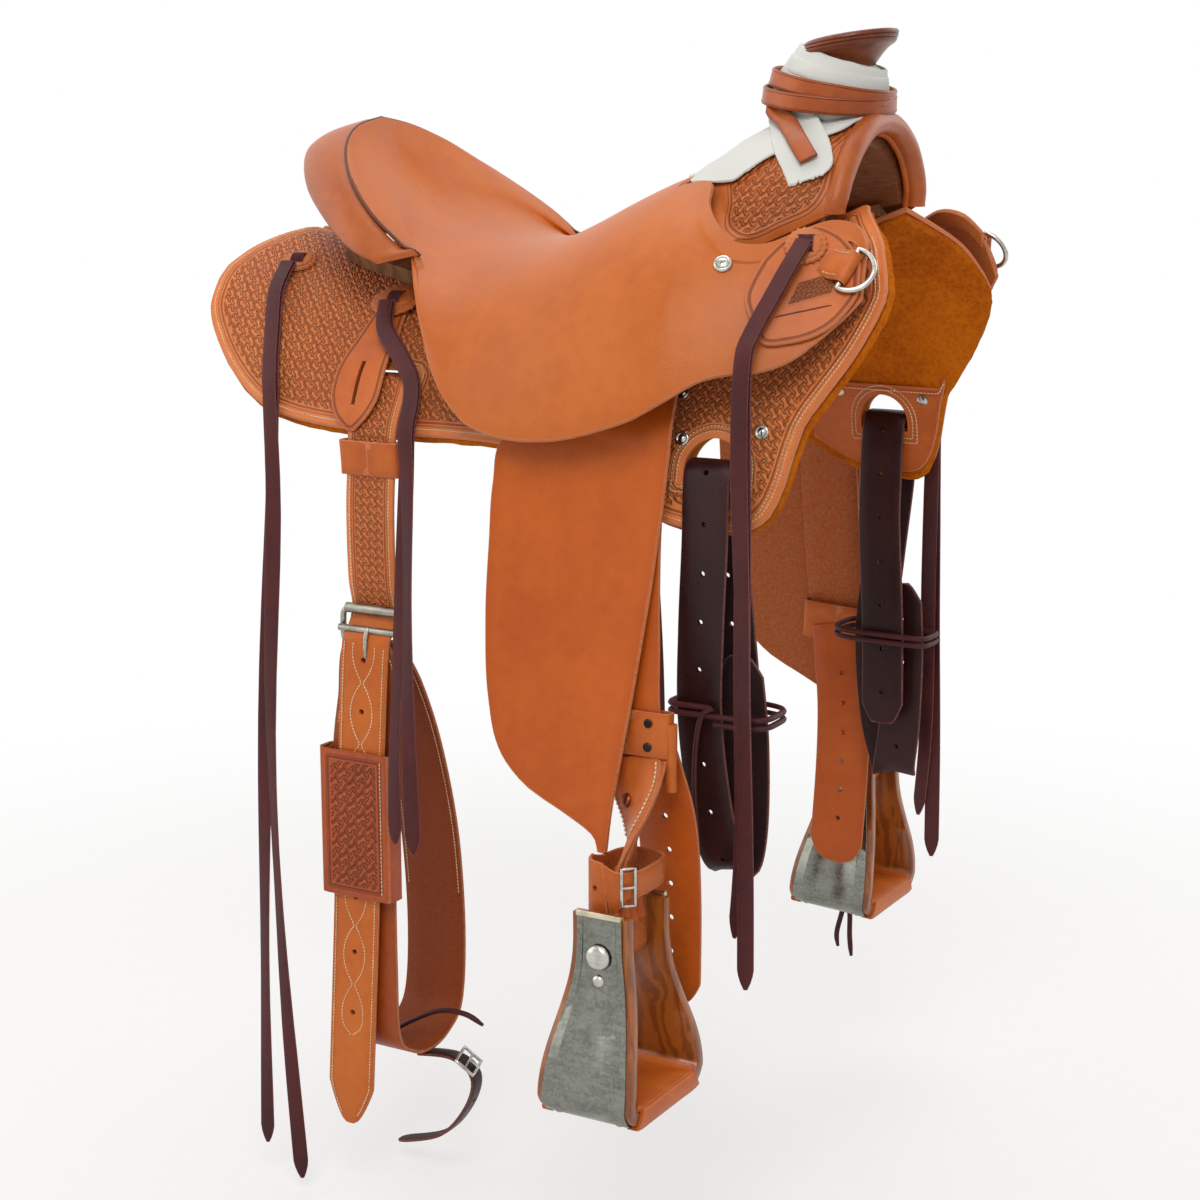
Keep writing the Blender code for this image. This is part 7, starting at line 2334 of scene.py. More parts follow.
@dataclass
class LegGear(LegPart):
    """Fenders, stirrup leathers with their collars and tails, and hobbles."""

    rear: tuple = ((0.085, -24.0), (0.115, -27.0), (0.145, -31.0), (0.178, -37.5),
                   (0.195, -43.5), (0.226, -38.3), (0.269, -31.3), (0.327, -24.8),
                   (0.388, -19.2), (0.425, -15.3), (0.445, -10.8), (0.457, -5.5),
                   (0.470, -1.6), (0.486, -0.5))
    front: tuple = ((0.085, 17.5), (0.142, 11.0), (0.200, 7.2), (0.258, 4.8), (0.309, 3.2),
                    (0.369, 1.8), (0.411, 1.0), (0.445, 0.5), (0.486, 0.3))
    fender_reach: tuple = (0.085, 0.484)
    wrap: float = 0.0106

    def build(self) -> None:
        """Make both legs."""
        for side in Side:
            self.make_fender(side)
            self.make_leather(side)
            self.make_collar(side)
            self.make_tail(side)
            self.make_hobble(side)

    def make_fender(self, side: Side) -> None:
        """Wide leather that keeps the rider's leg off the straps."""
        s, rows, steps, columns = side.value, [], 85, 24
        for i in range(steps + 1):
            r = lerp(*self.fender_reach, i / steps)
            a, b = read_off(self.rear, r), read_off(self.front, r)
            turns = [math.radians(lerp(a, b, j / columns)) for j in range(columns + 1)]
            rows.append([Vector((self.pivot[0] + r * math.sin(t), s * self.outer_y(r),
                                 self.pivot[2] - r * math.cos(t))) for t in turns])
        shape = sheet_over(rows, self.fender_thick, lambda p: Vector((0, s, 0)),
                           lambda p: (p.x, p.z))
        self.hang("fender_leather", shape, FENDER, side, "leg", "saddle_leather", ("fender",))

    def inset(self, r: float) -> float:
        """How far the middle of the stirrup leather lies inside the fender's face."""
        return self.fender_thick + 0.004 + 0.006 * smooth((r - 0.20) / 0.15)

    def leather_rows(self) -> list[tuple[tuple, float]]:
        """Stations of the stirrup leather with the angle that it is turned by."""
        tab_z = self.pivot[2] + 0.0146
        ride = self.outer_y(0) - self.inset(0)
        rows = [((0.160, 0.126, tab_z), 0), ((0.160, ride - 0.009, tab_z), 0),
                ((0.160, ride, tab_z - 0.004), 0), ((0.160, ride + 0.004, 0.018), 0)]
        for x, z in ((0.160, -0.004), (0.159, -0.030), (0.158, -0.055), (0.157, -0.080),
                     (0.156, -0.110), (0.156, -0.145), (0.157, -0.190), (0.160, -0.240),
                     (0.164, -0.290), (0.169, -0.340)):
            r = math.hypot(x - self.pivot[0], z - self.pivot[2])
            rows.append(((x, self.outer_y(r) - self.inset(r), z), 0))
        rows += [((0.177, 0.2460, -0.385), 0), ((0.184, 0.2540, -0.408), 20),
                 ((0.189, 0.2640, -0.430), 42), ((0.191, 0.2750, -0.452), 64),
                 ((0.193, 0.2850, -0.474), 82), ((0.196, 0.2938, -0.494), 89)]
        wrap, x, y, z = self.wrap, self.bolt_x, self.bolt_y, self.bolt_z
        rows.append(((x + wrap * 0.8, y, z + 0.022), 90))
        for k in range(9):
            a = math.radians(10 - 200 * k / 8)
            rows.append(((x + wrap * math.cos(a), y, z + wrap * math.sin(a)), 90))
        return rows

    def route(self, s: int, first: int, last: int, count: int, wide: float,
              thick: float) -> Strap:
        """The stirrup leather between two stations.

        Args:
            s: -1 right, 1 left.
            first: Station that it starts from.
            last: Station that it ends before.
            count: How many points.
            wide: Its width.
            thick: Its thickness.

        Returns:
            The strap.
        """
        rows = self.leather_rows()[first:last]
        path = spline(on_side([place for place, _ in rows], s), count)
        turns = [p.x for p in spline([(t, 0, 0) for _, t in rows], count)]
        across = [Vector((-s * math.cos(math.radians(t)), -math.sin(math.radians(t)), 0))
                  for t in turns]
        widths = [wide * (1 - 0.25 * smooth(t / 90)) for t in turns]
        return Strap(path, across, widths, thick)

    def make_leather(self, side: Side) -> None:
        """Stirrup leather over the bar, twisted above the stirrup, and its sewn cover."""
        s = side.value
        strap = self.route(s, 0, None, 220, self.width, self.strap_thick)
        self.hang("stirrup_strap", Shape().strap(strap), FENDER, side, "leg", "saddle_leather",
                  ("stirrup_leather",))
        cover = self.route(s, 14, 19, 60, self.width * 0.98, 0.0086)
        cover.width = [w * (0.82 + 0.18 * math.sin(math.pi * min(1, i / 40)))
                       for i, w in enumerate(cover.width)]
        self.hang("leather_cover", Shape().strap(cover), SMOOTH, side, "leg", "saddle_leather")
        seam = Shape()
        for u in (0.0036, -0.0036):
            path = cover.line(u, 0.0002, 6, 42, from_edge=True)
            seam.stitches(path, cover.normal[20], 0.0042, 0.0008)
        self.hang("leather_cover_seam", seam, THREAD, side, "leg", "saddle_leather")
        rivet = Shape().turned(((0.0062, -0.0006), (0.0064, 0.0010), (0.0052, 0.0026),
                                (0.0030, 0.0034), (0.0004, 0.0036)), cover.at(22, -s * -0.010, 0),
                               cover.normal[22], 28)
        self.hang("leather_cover_rivet", rivet, RIVET, side, "leg", "metal")
        legs = Shape()
        for u in (-0.013, 0.0, 0.013):
            ply = self.route(s, 18, 21, 24, 0.020, 0.0062)
            path = [p + a * u for p, a in zip(ply.path, ply.across)]
            legs.tube(path, [0.0078] * len(path), 14, flat=0.85)
        self.hang("twist_plies", legs, FENDER, side, "leg", "saddle_leather")

    def make_collar(self, side: Side) -> None:
        """Keeper that holds the plies of the stirrup leather, with its two studs."""
        s = side.value
        centre, up = Vector((0.1730, s * 0.2437, -0.3625)), Vector((0, -s * 0.06, 1)).normalized()
        deep = Vector((0, s, 0.06)).normalized()
        path = hoop(up, centre, AHEAD, deep, 0.0377, 0.0068, 0.34, 96, -90 * s)
        band = Strap(path, up, 0.0400, 0.0024)
        self.hang("leather_collar", Shape().strap(band), SMOOTH, side, "leg", "saddle_leather",
                  ("leather_sleeve",))
        studs = Shape()
        face = centre + deep * 0.0082
        for x, z in ((-0.020, 0.010), (-0.020, -0.011), (0.020, 0.010), (0.020, -0.011)):
            studs.turned(((0.0038, -0.0006), (0.0040, 0.0008), (0.0030, 0.0016), (0.0004, 0.0019)),
                         face + Vector((x, 0, 0)) + up * z, deep, 20)
        self.hang("leather_collar_studs", studs, DARK_METAL, side, "leg", "metal")
        rod = [Vector((0.2122, s * 0.2440, -0.352 - 0.060 * t)) for t in (0, 0.25, 0.5, 0.75, 1)]
        self.hang("leather_collar_post", Shape().tube(rod, 0.0050, 14), SMOOTH, side, "leg",
                  "saddle_leather")

    def make_tail(self, side: Side) -> None:
        """Spare end of the stirrup leather with its row of holes."""
        s = side.value
        path = [(0.176, 0.2360, -0.362), (0.186, 0.2280, -0.400), (0.196, 0.2210, -0.450),
                (0.200, 0.2195, -0.520), (0.200, 0.2195, -0.616)]
        strap = Strap(even(spline(on_side(path, s), 60), 0.0035), AHEAD, self.width * 0.94,
                      0.0034, 0.0003)
        strap.tapered(1.0, 0.30, 0.022, 0.55)
        count = len(strap.path)
        spots = [(strap.at(round(count * t)), strap.normal[round(count * t)])
                 for t in (0.20, 0.32, 0.44, 0.56, 0.68, 0.80)]
        self.hang("leather_tail", Shape().strap(strap), FENDER, side, "leg", "saddle_leather",
                  ("leather_sleeve",), cut=self.hole_tool(spots, 0.0028))

    def make_hobble(self, side: Side) -> None:
        """Strap buckled round the twisted leather, wider at its rear end."""
        s = side.value
        centre, up = Vector((0.1900, s * 0.2824, -0.4780)), UP
        path = hoop(up, centre, AHEAD, Vector((0, s, 0)), 0.0242, 0.0362, 0.62, 96, 90)
        widths, slim = [], 0.0240

        def nearest(x: float, y: float) -> int:
            """The loop's point nearest to a spot seen from its middle."""
            spot = centre + Vector((x, s * y, 0))
            return min(range(len(path)), key=lambda i: (path[i] - spot).length)
        for p in path:
            rear = max(0.0, -(p - centre).dot(Vector((0.70, -s * 0.72, 0)).normalized()) / 0.030)
            widths.append(slim + slim * smooth((rear - 0.35) / 0.65))
        low = [p + Vector((0, 0, -0.005 * (w - slim) / slim)) for p, w in zip(path, widths)]
        band, hole = Strap(low, up, widths, 0.0034), nearest(-0.010, 0.0352)
        self.hang("hobble_strap", Shape().strap(band), SMOOTH, side, "leg", "saddle_leather",
                  ("hobble",), cut=self.hole_tool([(band.at(hole), band.normal[hole])], 0.0026))
        i = nearest(0.0175, 0.0310)
        n, way = band.normal[i], directions(path)[i]
        n = n if n.dot(path[i] - centre) > 0 else -n
        spot = path[i] + n * 0.0036
        corners = [spot + way * a + up * b for a, b in
                   ((-0.006, -0.0165), (0.006, -0.0165), (0.006, 0.0165), (-0.006, 0.0165))]
        buckle = Shape().tube(divided(corners, 4), 0.0014, 8, closed=True)
        buckle.tube([spot + way * 0.006 + n * 0.0004, spot + n * 0.0018,
                     spot - way * 0.0062 + n * 0.001], 0.0012, 8)
        self.hang("hobble_buckle", buckle, NICKEL, side, "leg", "metal")


# Stirrups.

@dataclass
class Stirrups(LegPart):
    """Laminated wood stirrups bound in galvanised steel, with a leather tread."""

    top_z: float = -0.502
    tread_z: float = -0.678
    neck: float = 0.0375
    foot: float = 0.0660
    wood: float = 0.0100
    metal: float = 0.0016
    top_depth: float = 0.054
    tread_depth: float = 0.092
    trim: float = 0.0052
    rounding: float = 0.0007
    hole: float = 0.0056

    def profile(self, gap: float, count: int = 121) -> list[tuple[float, float]]:
        """Line of the stirrup at a distance inside its outer face."""
        neck, foot, floor = self.neck - gap, self.foot - gap, self.tread_z + gap
        corner = 0.020 - gap * 0.6
        half = [(neck, self.top_z), (neck + 0.0004, self.top_z - 0.052),
                (lerp(neck, foot, 0.28), self.top_z - 0.085),
                (lerp(neck, foot, 0.78), self.top_z - 0.125), (foot, floor + corner)]
        half += [(foot - corner * (1 - math.cos(a)), floor + corner * (1 - math.sin(a)))
                 for a in (math.radians(d) for d in (30, 60, 90))]
        half += [(foot * 0.35, floor)]
        line = half + [(-y, z) for y, z in reversed(half)]
        return [(p.x, p.y) for p in spline([(y, z, 0) for y, z in line], count)]

    def depth(self, z: float) -> float:
        """Depth of the stirrup at a height."""
        t = smooth((self.top_z - z - 0.02) / (self.top_z - self.tread_z - 0.04))
        return lerp(self.top_depth, self.tread_depth, t)

    def place(self, s: int, x: float, y: float, z: float) -> Vector:
        """A point of the stirrup from its middle plane."""
        return Vector((self.bolt_x + x, s * (self.bolt_y - y), z))

    def band(self, s: int, near: float, far: float, trim: float, first: int = 0,
             last: int = 121, ridge: float = 0.0) -> Shape:
        """A band of the stirrup between two insets.

        Args:
            s: -1 right, 1 left.
            near: Inset of the outer face.
            far: Inset of the inner face.
            trim: How much narrower than the wood it is, on each side.
            first: First point of the profile.
            last: Point to stop before.
            ridge: Height of the pressed lines along it.

        Returns:
            The band.
        """
        outer, inner = self.profile(near)[first:last], self.profile(far)[first:last]
        edge, groove = 0.985, 0.73
        face = (-1, -edge, -0.76, -0.74, -0.72, -0.70, 0, 0.70, 0.72, 0.74, 0.76, edge, 1)
        back = (1, edge, 0, -edge, -1)
        rings, lay, run = [], [], 0.0
        for i, ((y0, z0), (y1, z1)) in enumerate(zip(outer, inner)):
            run += math.hypot(y0 - outer[i - 1][0], z0 - outer[i - 1][1]) if i else 0.0
            half = self.depth(z0) / 2 - trim
            out = Vector((y0 - y1, z0 - z1, 0)).normalized()
            ring = []
            for m in face:
                rise = ridge if abs(abs(m) - groove) < 0.012 else 0.0
                rise -= self.rounding if abs(m) == 1 else 0.0
                ring.append(self.place(s, m * half, y0 + out.x * rise, z0 + out.y * rise))
            for m in back:
                rise = self.rounding if abs(m) == 1 else 0.0
                ring.append(self.place(s, m * half, y1 + out.x * rise, z1 + out.y * rise))
            rings.append(ring)
            lay += [(m * half, run, 0.01) for m in face] + [(m * half, run, 0.03) for m in back]
        return Shape().rings(rings, lay)

    def build(self) -> None:
        """Make both stirrups."""
        for side in Side:
            s = side.value
            axis, centre = Vector((0, s, 0)), Vector((self.bolt_x, s * self.bolt_y, self.bolt_z))
            reach, wood = self.neck + 0.02, self.band(s, 0.0, self.wood, 0.0)
            steel = self.band(s, -0.0006 - self.metal, -0.0006, self.trim, ridge=0.0008)
            for name, band, look, slot, node in (
                    ("stirrup_wood", wood, WOOD, "wood", "stirrup_frame"),
                    ("stirrup_steel", steel, ZINC, "metal", "stirrup_binding")):
                hole = Shape().turned(((self.hole, -reach), (self.hole, reach)), centre, axis, 24)
                self.hang(name, band, look, side, "stirrup", slot, (node,), cut=hole)
            self.make_beads(side)
            self.make_tread(side)
            self.make_bolt(side)

    def make_beads(self, side: Side) -> None:
        """Rolled top edges of the steel, made lighter as a painted highlight, and the small rivets.
        """
        s, bead, rivets = side.value, Shape(), Shape()
        half = self.top_depth / 2 - self.trim
        for way in (-1, 1):
            y = way * (self.neck + 0.0006)
            bead.tube([self.place(s, x, y, self.top_z + 0.0004) for x in
                       (-half, -half * 0.5, 0, half * 0.5, half)], 0.0030, 14)
            spot = self.place(s, 0, way * (self.neck + 0.0024), self.bolt_z - 0.0215)
            rivets.turned(((0.0062, -0.0006), (0.0062, 0.0006), (0.0050, 0.0026), (0.0028, 0.0036),
                           (0.0004, 0.0039)), spot, Vector((0, -s * way, 0)), 28)
        self.hang("stirrup_bead", bead, HIGHLIT_STEEL, side, "stirrup", "metal")
        self.hang("stirrup_rivets", rivets, NICKEL, side, "stirrup", "metal")

    def make_tread(self, side: Side) -> None:
        """Leather tread, turned over the wood's edges and laced underneath."""
        s = side.value
        gap = self.wood + 0.0006
        tread = self.band(s, gap, gap + 0.0045, 0.001, 36, 85)
        self.hang("tread_leather", tread, BILLET, side, "stirrup", "saddle_leather",
                  ("stirrup_tread",))
        wrap = Shape()
        for way in (-1, 1):
            outer, inner = self.profile(-0.0030)[44:77], self.profile(gap + 0.0040)[44:77]
            rings = []
            for (y0, z0), (y1, z1) in zip(outer, inner):
                half = self.depth(z0) / 2
                ring = [self.place(s, way * (half + lift), lerp(y0, y1, t), lerp(z0, z1, t))
                        for t, lift in ((0.0, -0.009), (0.0, 0.0005), (0.10, 0.0022), (0.5, 0.0028),
                                        (0.9, 0.0022), (1.0, 0.0005), (1.0, -0.009), (0.86, -0.009),
                                        (0.84, -0.0005), (0.16, -0.0005), (0.14, -0.009))]
                rings.append(ring)
            wrap.rings(rings)
        self.hang("tread_wrap", wrap, BILLET, side, "stirrup", "saddle_leather")
        lace = Shape()
        for k in range(7):
            y = lerp(-0.036, 0.036, k / 6)
            z = self.tread_z - 0.0042
            a, b = self.place(s, -0.034, y, z), self.place(s, 0.034, y + 0.008, z)
            lace.strap(Strap([lerp(a, b, t / 6) for t in range(7)], Vector((0, 1, 0)), 0.0050,
                             0.0016))
        self.hang("tread_lacing", lace, LACE, side, "stirrup", "dark_leather")

    def make_bolt(self, side: Side) -> None:
        """Bolt with domed heads and its sleeve."""
        s = side.value
        centre = Vector((self.bolt_x, s * self.bolt_y, self.bolt_z))
        reach, sleeve = self.neck + self.metal + 0.0018, self.neck - self.wood - 0.0006
        half = [(0.0008, reach + 0.0052), (0.0052, reach + 0.0050), (0.0086, reach + 0.0042),
                (0.0106, reach + 0.0026), (0.0115, reach + 0.0010), (0.0115, reach),
                (0.0050, reach), (0.0050, sleeve), (0.0080, sleeve)]
        profile = [(r, -h) for r, h in half] + [(r, h) for r, h in reversed(half)]
        self.hang("stirrup_pin", Shape().turned(profile, centre, Vector((0, s, 0)), 40), NICKEL,
                  side, "stirrup", "metal", ("stirrup_bolt",))


# Latigos.

@dataclass
class Latigos(SubAssembly):
    """Long dark straps over the rigging bars."""

    width: float = 0.0445
    thick: float = 0.0040
    first_hole: float = 0.030
    hole_pitch: float = 0.0440

    def build(self) -> None:
        """Make both latigos."""
        for side in Side:
            s, bar = side.value, RIGGING.bar_x
            y = BACK.skirt(bar, RIGGING.bar_z, s).y * s
            path = [(0.238, y - 0.0430, -0.440), (0.234, y - 0.0390, -0.340),
                    (0.226, y - 0.0340, -0.240), (bar, y - 0.0290, -0.195),
                    (bar, y - 0.0275, -0.160), (bar, y - 0.0220, -0.1355),
                    (bar, y - 0.0085, -0.1295), (bar, y + 0.0045, -0.1355),
                    (bar, y + 0.0078, -0.160), (0.223, y + 0.0070, -0.200),
                    (0.217, y + 0.0010, -0.280), (0.213, y - 0.0070, -0.360),
                    (0.222, y - 0.0110, -0.440), (0.234, y - 0.0125, -0.482),
                    (0.242, y - 0.0190, -0.494), (0.246, y - 0.0265, -0.482),
                    (0.250, y - 0.0265, -0.440), (0.250, y - 0.0235, -0.370),
                    (0.244, y - 0.0190, -0.300)]
            points = even(spline(on_side(path, s), 220), 0.004)
            strap = Strap(points, Vector((-s, 0, 0)), self.width, self.thick, 0.0002)
            strap.tapered(0.5, 0.4, 0.020)
            run, next_hole, spots = 0.0, self.first_hole, []
            for i in range(1, len(points)):
                run += (points[i] - points[i - 1]).length
                if run > next_hole:
                    spots.append((strap.at(i, 0, -self.thick / 2), strap.normal[i]))
                    next_hole += self.hole_pitch
            self.piece(f"latigo_strap_{side.tag}", Shape().strap(strap), LATIGO,
                       f"latigo_{side.tag}", "dark_leather", (f"latigo_{side.tag}",),
                       cut=self.hole_tool(spots, 0.0025, 0.0034))


# Flank rigging.

@dataclass
class FlankRig(SubAssembly):
    """Rear billets, and the cinch with its buckle, keeper and connector strap."""

    x: float = RIGGING.flank_x
    slot_z: float = RIGGING.flank_z
    strap_y: float = 0.2150
    width: float = 0.0538
    thick: float = 0.0040
    tooled_end: float = -0.300
    buckle_z: float = -0.310
    half_wide: float = 0.0335
    half_high: float = 0.0170
    wire: float = 0.0030
    wave_end: float = -0.722
    wave_length: float = 0.0610
    wave_half: float = 0.0125
    cinch_x: float = -0.138
    cinch_width: float = 0.0700
    bend_y: float = 0.154
    bend_half: float = 0.060
    bottom: float = -0.748
    keeper_half: float = 0.0725
    keeper_skin: float = 0.0014

    def build(self) -> None:
        """Make both sides."""
        self.make_billet(Side.RIGHT, [
            (self.x, self.strap_y - 0.0010, -0.262), (self.x, self.strap_y - 0.0062, -0.291),
            (self.x, self.strap_y + 0.0005, -0.308), (self.x, self.strap_y + 0.0085, -0.3165),
            (self.x - 0.001, self.strap_y + 0.0112, -0.329), (-0.127, 0.2250, -0.370),
            (-0.133, 0.2225, -0.440), (-0.139, 0.2220, -0.520), (-0.143, 0.2220, -0.600),
            (-0.149, 0.2220, -0.700), (-0.154, 0.2220, -0.780), (-0.156, 0.2220, -0.812)])
        self.make_billet(Side.LEFT, [(self.x, self.strap_y, z) for z in (-0.280, -0.400, -0.520)])
        self.make_buckle()
        self.make_cinch()
        self.make_keeper()
        self.make_connector()

    def make_billet(self, side: Side, lower: Sequence[tuple]) -> None:
        """Tooled strap through the slot, and its plain stitched part below the buckle."""
        s, body = side.value, f"flank_{side.tag}"
        y = abs(BACK.skirt(self.x, self.slot_z, s).y)
        path = [(self.x, y - 0.030, self.slot_z - 0.030), (self.x, y - 0.026, self.slot_z - 0.010),
                (self.x, y - 0.018, self.slot_z - 0.0005),
                (self.x, y - 0.006, self.slot_z + 0.0005),
                (self.x, y + 0.0055, self.slot_z - 0.003),
                (self.x, y + 0.0130, self.slot_z - 0.016),
                (self.x, 0.2082, -0.122), (self.x, 0.2115, -0.155),
                (self.x, self.strap_y, -0.200)] + list(lower)
        points = even(spline(on_side(path, s), 300), 0.0030)
        split = next(i for i, p in enumerate(points) if p.z < self.tooled_end)
        upper = Strap(points[:split + 1], Vector((-s, 0, 0)), self.width, self.thick, 0.0003)
        self.piece(f"billet_tooled_{side.tag}", Shape().strap(upper), TOOLED_STRAP, body,
                   "tooled_leather", (f"flank_billet_{side.tag}",))
        seam = Shape()
        start = next(i for i, p in enumerate(points) if i > 25 and p.z < -0.090)
        for u in (-0.0050, 0.0050):
            seam.stitches(upper.line(u, 0.0003, start, None, from_edge=True), Vector((0, s, 0.1)),
                          0.0033)
        up = Vector((0, s * 0.1, 1)).normalized()
        keeper = hoop(up, Vector((self.x, s * 0.2112, -0.150)), AHEAD,
                      Vector((0, s, 0)), 0.0310, 0.0060, 0.30, 96, 90)
        self.piece(f"billet_keeper_{side.tag}", Shape().strap(Strap(keeper, up, 0.0330, 0.0026)),
                   SMOOTH, body, "saddle_leather")
        if side is Side.RIGHT:
            self.make_plain(points[split - 1:], seam)
        self.piece(f"billet_stitching_{side.tag}", seam, THREAD, body, "tooled_leather")

    def make_plain(self, points: list[Vector], seam: Shape) -> None:
        """Plain part of the near billet under the buckle, with its holes.

        Args:
            points: Its middle line.
            seam: Where its threads are added.
        """
        strap = Strap(points, AHEAD, self.width * 0.985, self.thick, 0.0003)
        strap.tapered(1.0, 0.20, 0.040, 0.35)
        marks = [min(range(len(points)), key=lambda i: abs(points[i].z - z))
                 for z in (-0.338, -0.390, -0.455, -0.520, -0.575, -0.632, -0.694)]
        spots = [(strap.at(i), strap.normal[i]) for i in marks]
        self.piece("billet_plain_right", Shape().strap(strap), BILLET, "flank_right",
                   "saddle_leather", ("flank_billet_right",), cut=self.hole_tool(spots, 0.0028))
        first, last = (next(i for i, p in enumerate(points) if p.z < z)
                       for z in (-0.322, self.wave_end))
        for u in (-0.0042, 0.0042):
            seam.stitches(strap.line(u, 0.0003, first, len(points) - 3, from_edge=True),
                          Vector((0, -1, 0)), 0.0033)
        for sign in (-1, 1):
            wave = []
            for i in range(first, last):
                a = math.pi * (points[i].z + 0.361) / self.wave_length
                close = smooth((points[i].z - self.wave_end) / 0.012)
                wide = sign * self.wave_half * abs(math.sin(a)) ** 0.8 * close
                wave.append(strap.at(i, wide, 0.0003))
            seam.stitches(wave, Vector((0, -1, 0)), 0.0033)

    def make_buckle(self) -> None:
        """Roller buckle with its tongue."""
        s = -1
        centre = Vector((self.x, s * self.strap_y, self.buckle_z))
        loop = oval(centre, AHEAD, UP, self.half_wide, self.half_high,
                    0.35, 72)[:-1]
        shape = Shape().tube(loop, self.wire, 12, closed=True)
        reach = self.half_wide - 0.004
        top = centre + Vector((0, 0, self.half_high))
        shape.tube([top + Vector((reach * t, 0, 0)) for t in (-1, -0.98, 0, 0.98, 1)],
                   [0.0036, 0.0050, 0.0050, 0.0050, 0.0036], 16)
        bar = centre + Vector((0, s * 0.0076, -0.0010))
        shape.tube([bar + Vector((x, 0, 0)) for x in (-reach - 0.003, 0, reach + 0.003)],
                   0.0034, 14)
        tongue = [bar + Vector((x, s * y, z)) for x, y, z in
                  ((0.001, 0.0014, 0.002), (0.001, 0.0045, -0.004), (0.001, 0.0062, -0.014),
                   (0.0005, 0.0052, -0.025))]
        shape.tube(tongue, [0.0026, 0.0026, 0.0024, 0.0020], 10)
        self.piece("flank_roller_buckle", shape, OLD_NICKEL, "flank_right", "metal",
                   ("flank_buckle",))

    def make_cinch(self) -> None:
        """Wide leather cinch round the buckle and down under the belly."""
        low = self.buckle_z - self.half_high
        loop = self.wire + 0.0006 + self.thick / 2
        path = [(self.cinch_x + 0.016, self.strap_y - loop * math.cos(a), low + loop * math.sin(a))
                for a in (math.radians(d) for d in (-30, 15, 60, 105, 150, 190))]
        path += [(self.cinch_x + 0.014, self.strap_y + 0.0040, low - 0.014),
                 (self.cinch_x + 0.010, 0.2150, -0.380), (self.cinch_x, 0.2125, -0.440),
                 (self.cinch_x, 0.2120, -0.540), (self.cinch_x, 0.2120, -0.640)]
        path += [(self.cinch_x, self.bend_y + self.bend_half * math.cos(a),
                  self.bottom + 0.055 * (1 - math.sin(a)))
                 for a in (math.radians(d) for d in (25, 60, 90, 120, 155))]
        path += [(self.cinch_x + 0.002, 0.0960, -0.640), (self.cinch_x + 0.004, 0.1080, -0.540),
                 (self.cinch_x + 0.008, 0.1360, -0.440), (self.cinch_x + 0.014, 0.1680, -0.372),
                 (self.cinch_x + 0.016, 0.1930, -0.335)]
        points = spline(on_side(path, -1), 240)
        widths = []
        for k in range(len(points)):
            t = k / (len(points) - 1)
            widths.append(lerp(0.046, self.cinch_width,
                               smooth((t - 0.20) / 0.14) * smooth((1 - t) / 0.16)))
        strap = Strap(points, AHEAD, widths, self.thick)
        strap.facing(Vector((0, -1, 0)), len(points) // 2)
        self.piece("cinch_leather", Shape().strap(strap), CINCH, "flank_right", "saddle_leather",
                   ("flank_cinch",))
        seam = Shape()
        for first, last in ((46, 92), (196, 234)):
            for u in (-0.0050, 0.0050):
                for face in (0.0002, -self.thick - 0.0002):
                    seam.stitches(strap.line(u, face, first, last, from_edge=True),
                                  Vector((0, -1 if face > 0 else 1, 0)), 0.0036)
        self.piece("cinch_stitching", seam, THREAD, "flank_right", "saddle_leather")

    def make_keeper(self) -> None:
        """Wide tooled keeper round the cinch and the billet."""
        centre = Vector((self.cinch_x - 0.001, -0.2168, -0.502))
        half = self.cinch_width / 2 + 0.0046
        skin, high, rows = self.keeper_skin, self.keeper_half, 30
        path = hoop(UP, centre, AHEAD, Vector((0, -1, 0)), half, 0.0104, 0.26, 128, -90)
        strap = Strap(path, UP, 2 * high, 2 * skin)
        rings, lay = [], []
        for p, n in zip(path, strap.normal):
            ring = []
            for k in range(rows + 1):
                h = lerp(-high, high, k / rows)
                ring.append(p + UP * h + n * skin)
                near = min(high - abs(h), half - abs(p.x - centre.x) - 0.002)
                lay.append((h, p.x, max(0.0004, near) if n.y < -0.6 else 0.004))
            for k in range(rows + 1):
                h = lerp(high - 0.001, 0.001 - high, k / rows)
                ring.append(p + UP * h - n * skin)
                lay.append((h, p.x, -0.02))
            rings.append(ring)
        self.piece("keeper_leather", Shape().rings(rings, lay), KEEPER, "flank_right",
                   "tooled_leather", ("cinch_keeper",))
        reach = half - 0.0080
        row = [Vector((centre.x + reach, centre.y - 0.0122, centre.z + lerp(-0.066, 0.066, t / 20)))
               for t in range(21)]
        self.piece("keeper_stitching", Shape().stitches(row, Vector((0, -1, 0)), 0.0040), THREAD,
                   "flank_right", "tooled_leather")

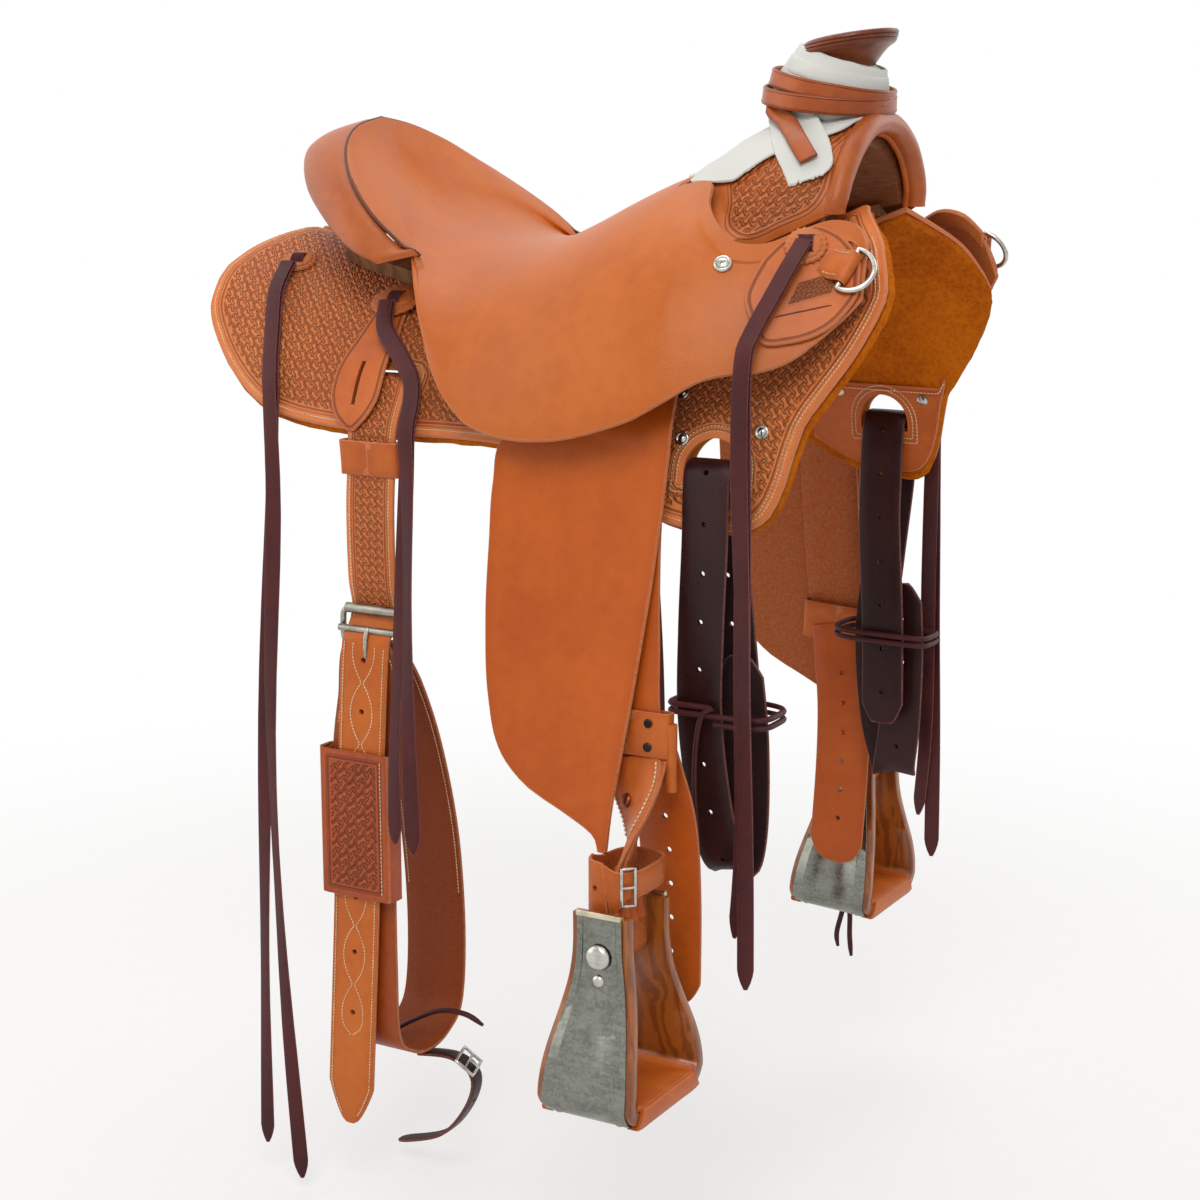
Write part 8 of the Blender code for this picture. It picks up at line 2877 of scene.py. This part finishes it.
    def make_connector(self) -> None:
        """Thin strap from the bottom of the cinch, with its small buckle; SmallLaces ties its lace.
        """
        x, z = self.cinch_x, self.bottom
        path = [(x + 0.022, -0.1560, z - 0.0056), (x + 0.060, -0.1500, z - 0.0050),
                (x + 0.078, -0.1420, z - 0.0260), (x + 0.066, -0.1380, z - 0.0620),
                (x + 0.034, -0.1360, z - 0.0980), (x - 0.020, -0.1340, z - 0.1180)]
        points = even(spline(path, 80), 0.003)
        strap = Strap(points, Vector((0, 1, 0)), 0.0180, 0.0034, 0.0002)
        strap.tapered(1.0, 0.5, 0.012, 0.5).facing(AHEAD, 30)
        spots = [(strap.at(i), strap.normal[i]) for i in (32, 42, 52)]
        self.piece("connector_leather", Shape().strap(strap), LATIGO, "flank_right",
                   "dark_leather", ("connector_strap",), cut=self.hole_tool(spots, 0.0020, 0.006))
        i = 17
        spot, way, wide, n = points[i], directions(points)[i], strap.across[i], strap.normal[i]
        corners = [spot + way * a * 0.0110 + wide * b * 0.0125 for a, b in
                   ((-1, -1), (1, -1), (1, 1), (-1, 1))]
        line = [p + n * 0.0034 for p in divided(corners, 5)]
        buckle = Shape().tube(line, 0.0017, 10, closed=True)
        buckle.tube([spot + wide * 0.0125 * b + n * 0.0034 for b in (-1, 0, 1)], 0.0015, 8)
        buckle.tube([spot + n * 0.0050, spot + way * 0.006 + n * 0.0056,
                     spot + way * 0.0118 + n * 0.0048], 0.0013, 8)
        self.piece("connector_buckle", buckle, NICKEL, "flank_right", "metal")


@dataclass
class SmallLaces(LacePart):
    """Short laces on the cinch and on the far stirrup's tread."""

    tread_tails: dict = field(default_factory=lambda: {
        "rear": ((0.1862, 0.2900, -0.6830), (0.1840, 0.2905, -0.7000),
                 (0.1800, 0.2900, -0.7250), (0.1830, 0.2895, -0.7400)),
        "front": ((0.1900, 0.2920, -0.6830), (0.1930, 0.2920, -0.7020),
                  (0.1950, 0.2915, -0.7260), (0.1990, 0.2910, -0.7480))})

    def build(self) -> None:
        """Tie the laces."""
        route = spline([(-0.158, -0.150, -0.7440), (-0.1305, -0.152, -0.7257),
                        (-0.0965, -0.152, -0.7082), (-0.0669, -0.150, -0.7064),
                        (-0.0471, -0.148, -0.7149)], 30)
        self.cord("cinch_lace", route, 0.0028, "flank_right")
        leg, side = LegGear(), Side.LEFT
        for name, points in self.tread_tails.items():
            path = spline([leg.leaned(Vector(p), side.value) for p in points], 20)
            self.cord(f"tread_lace_{name}_{side.tag}", path, 0.0030, f"stirrup_{side.tag}")


def main() -> None:
    """Make every group in order."""
    groups: tuple[SubAssembly, ...] = (
        Studio(), SaddleStrings(), LatigoTies(), SmallLaces(), HornAndFork(), SeatAndCantle(),
        Skirts(), Trim(), LegGear(), Stirrups(), Latigos(), FlankRig())
    for group in groups:
        logging.info("building %s", type(group).__name__)
        group.build()
    bpy.context.scene.view_settings.view_transform = "Standard"


if __name__ == "__main__":
    main()
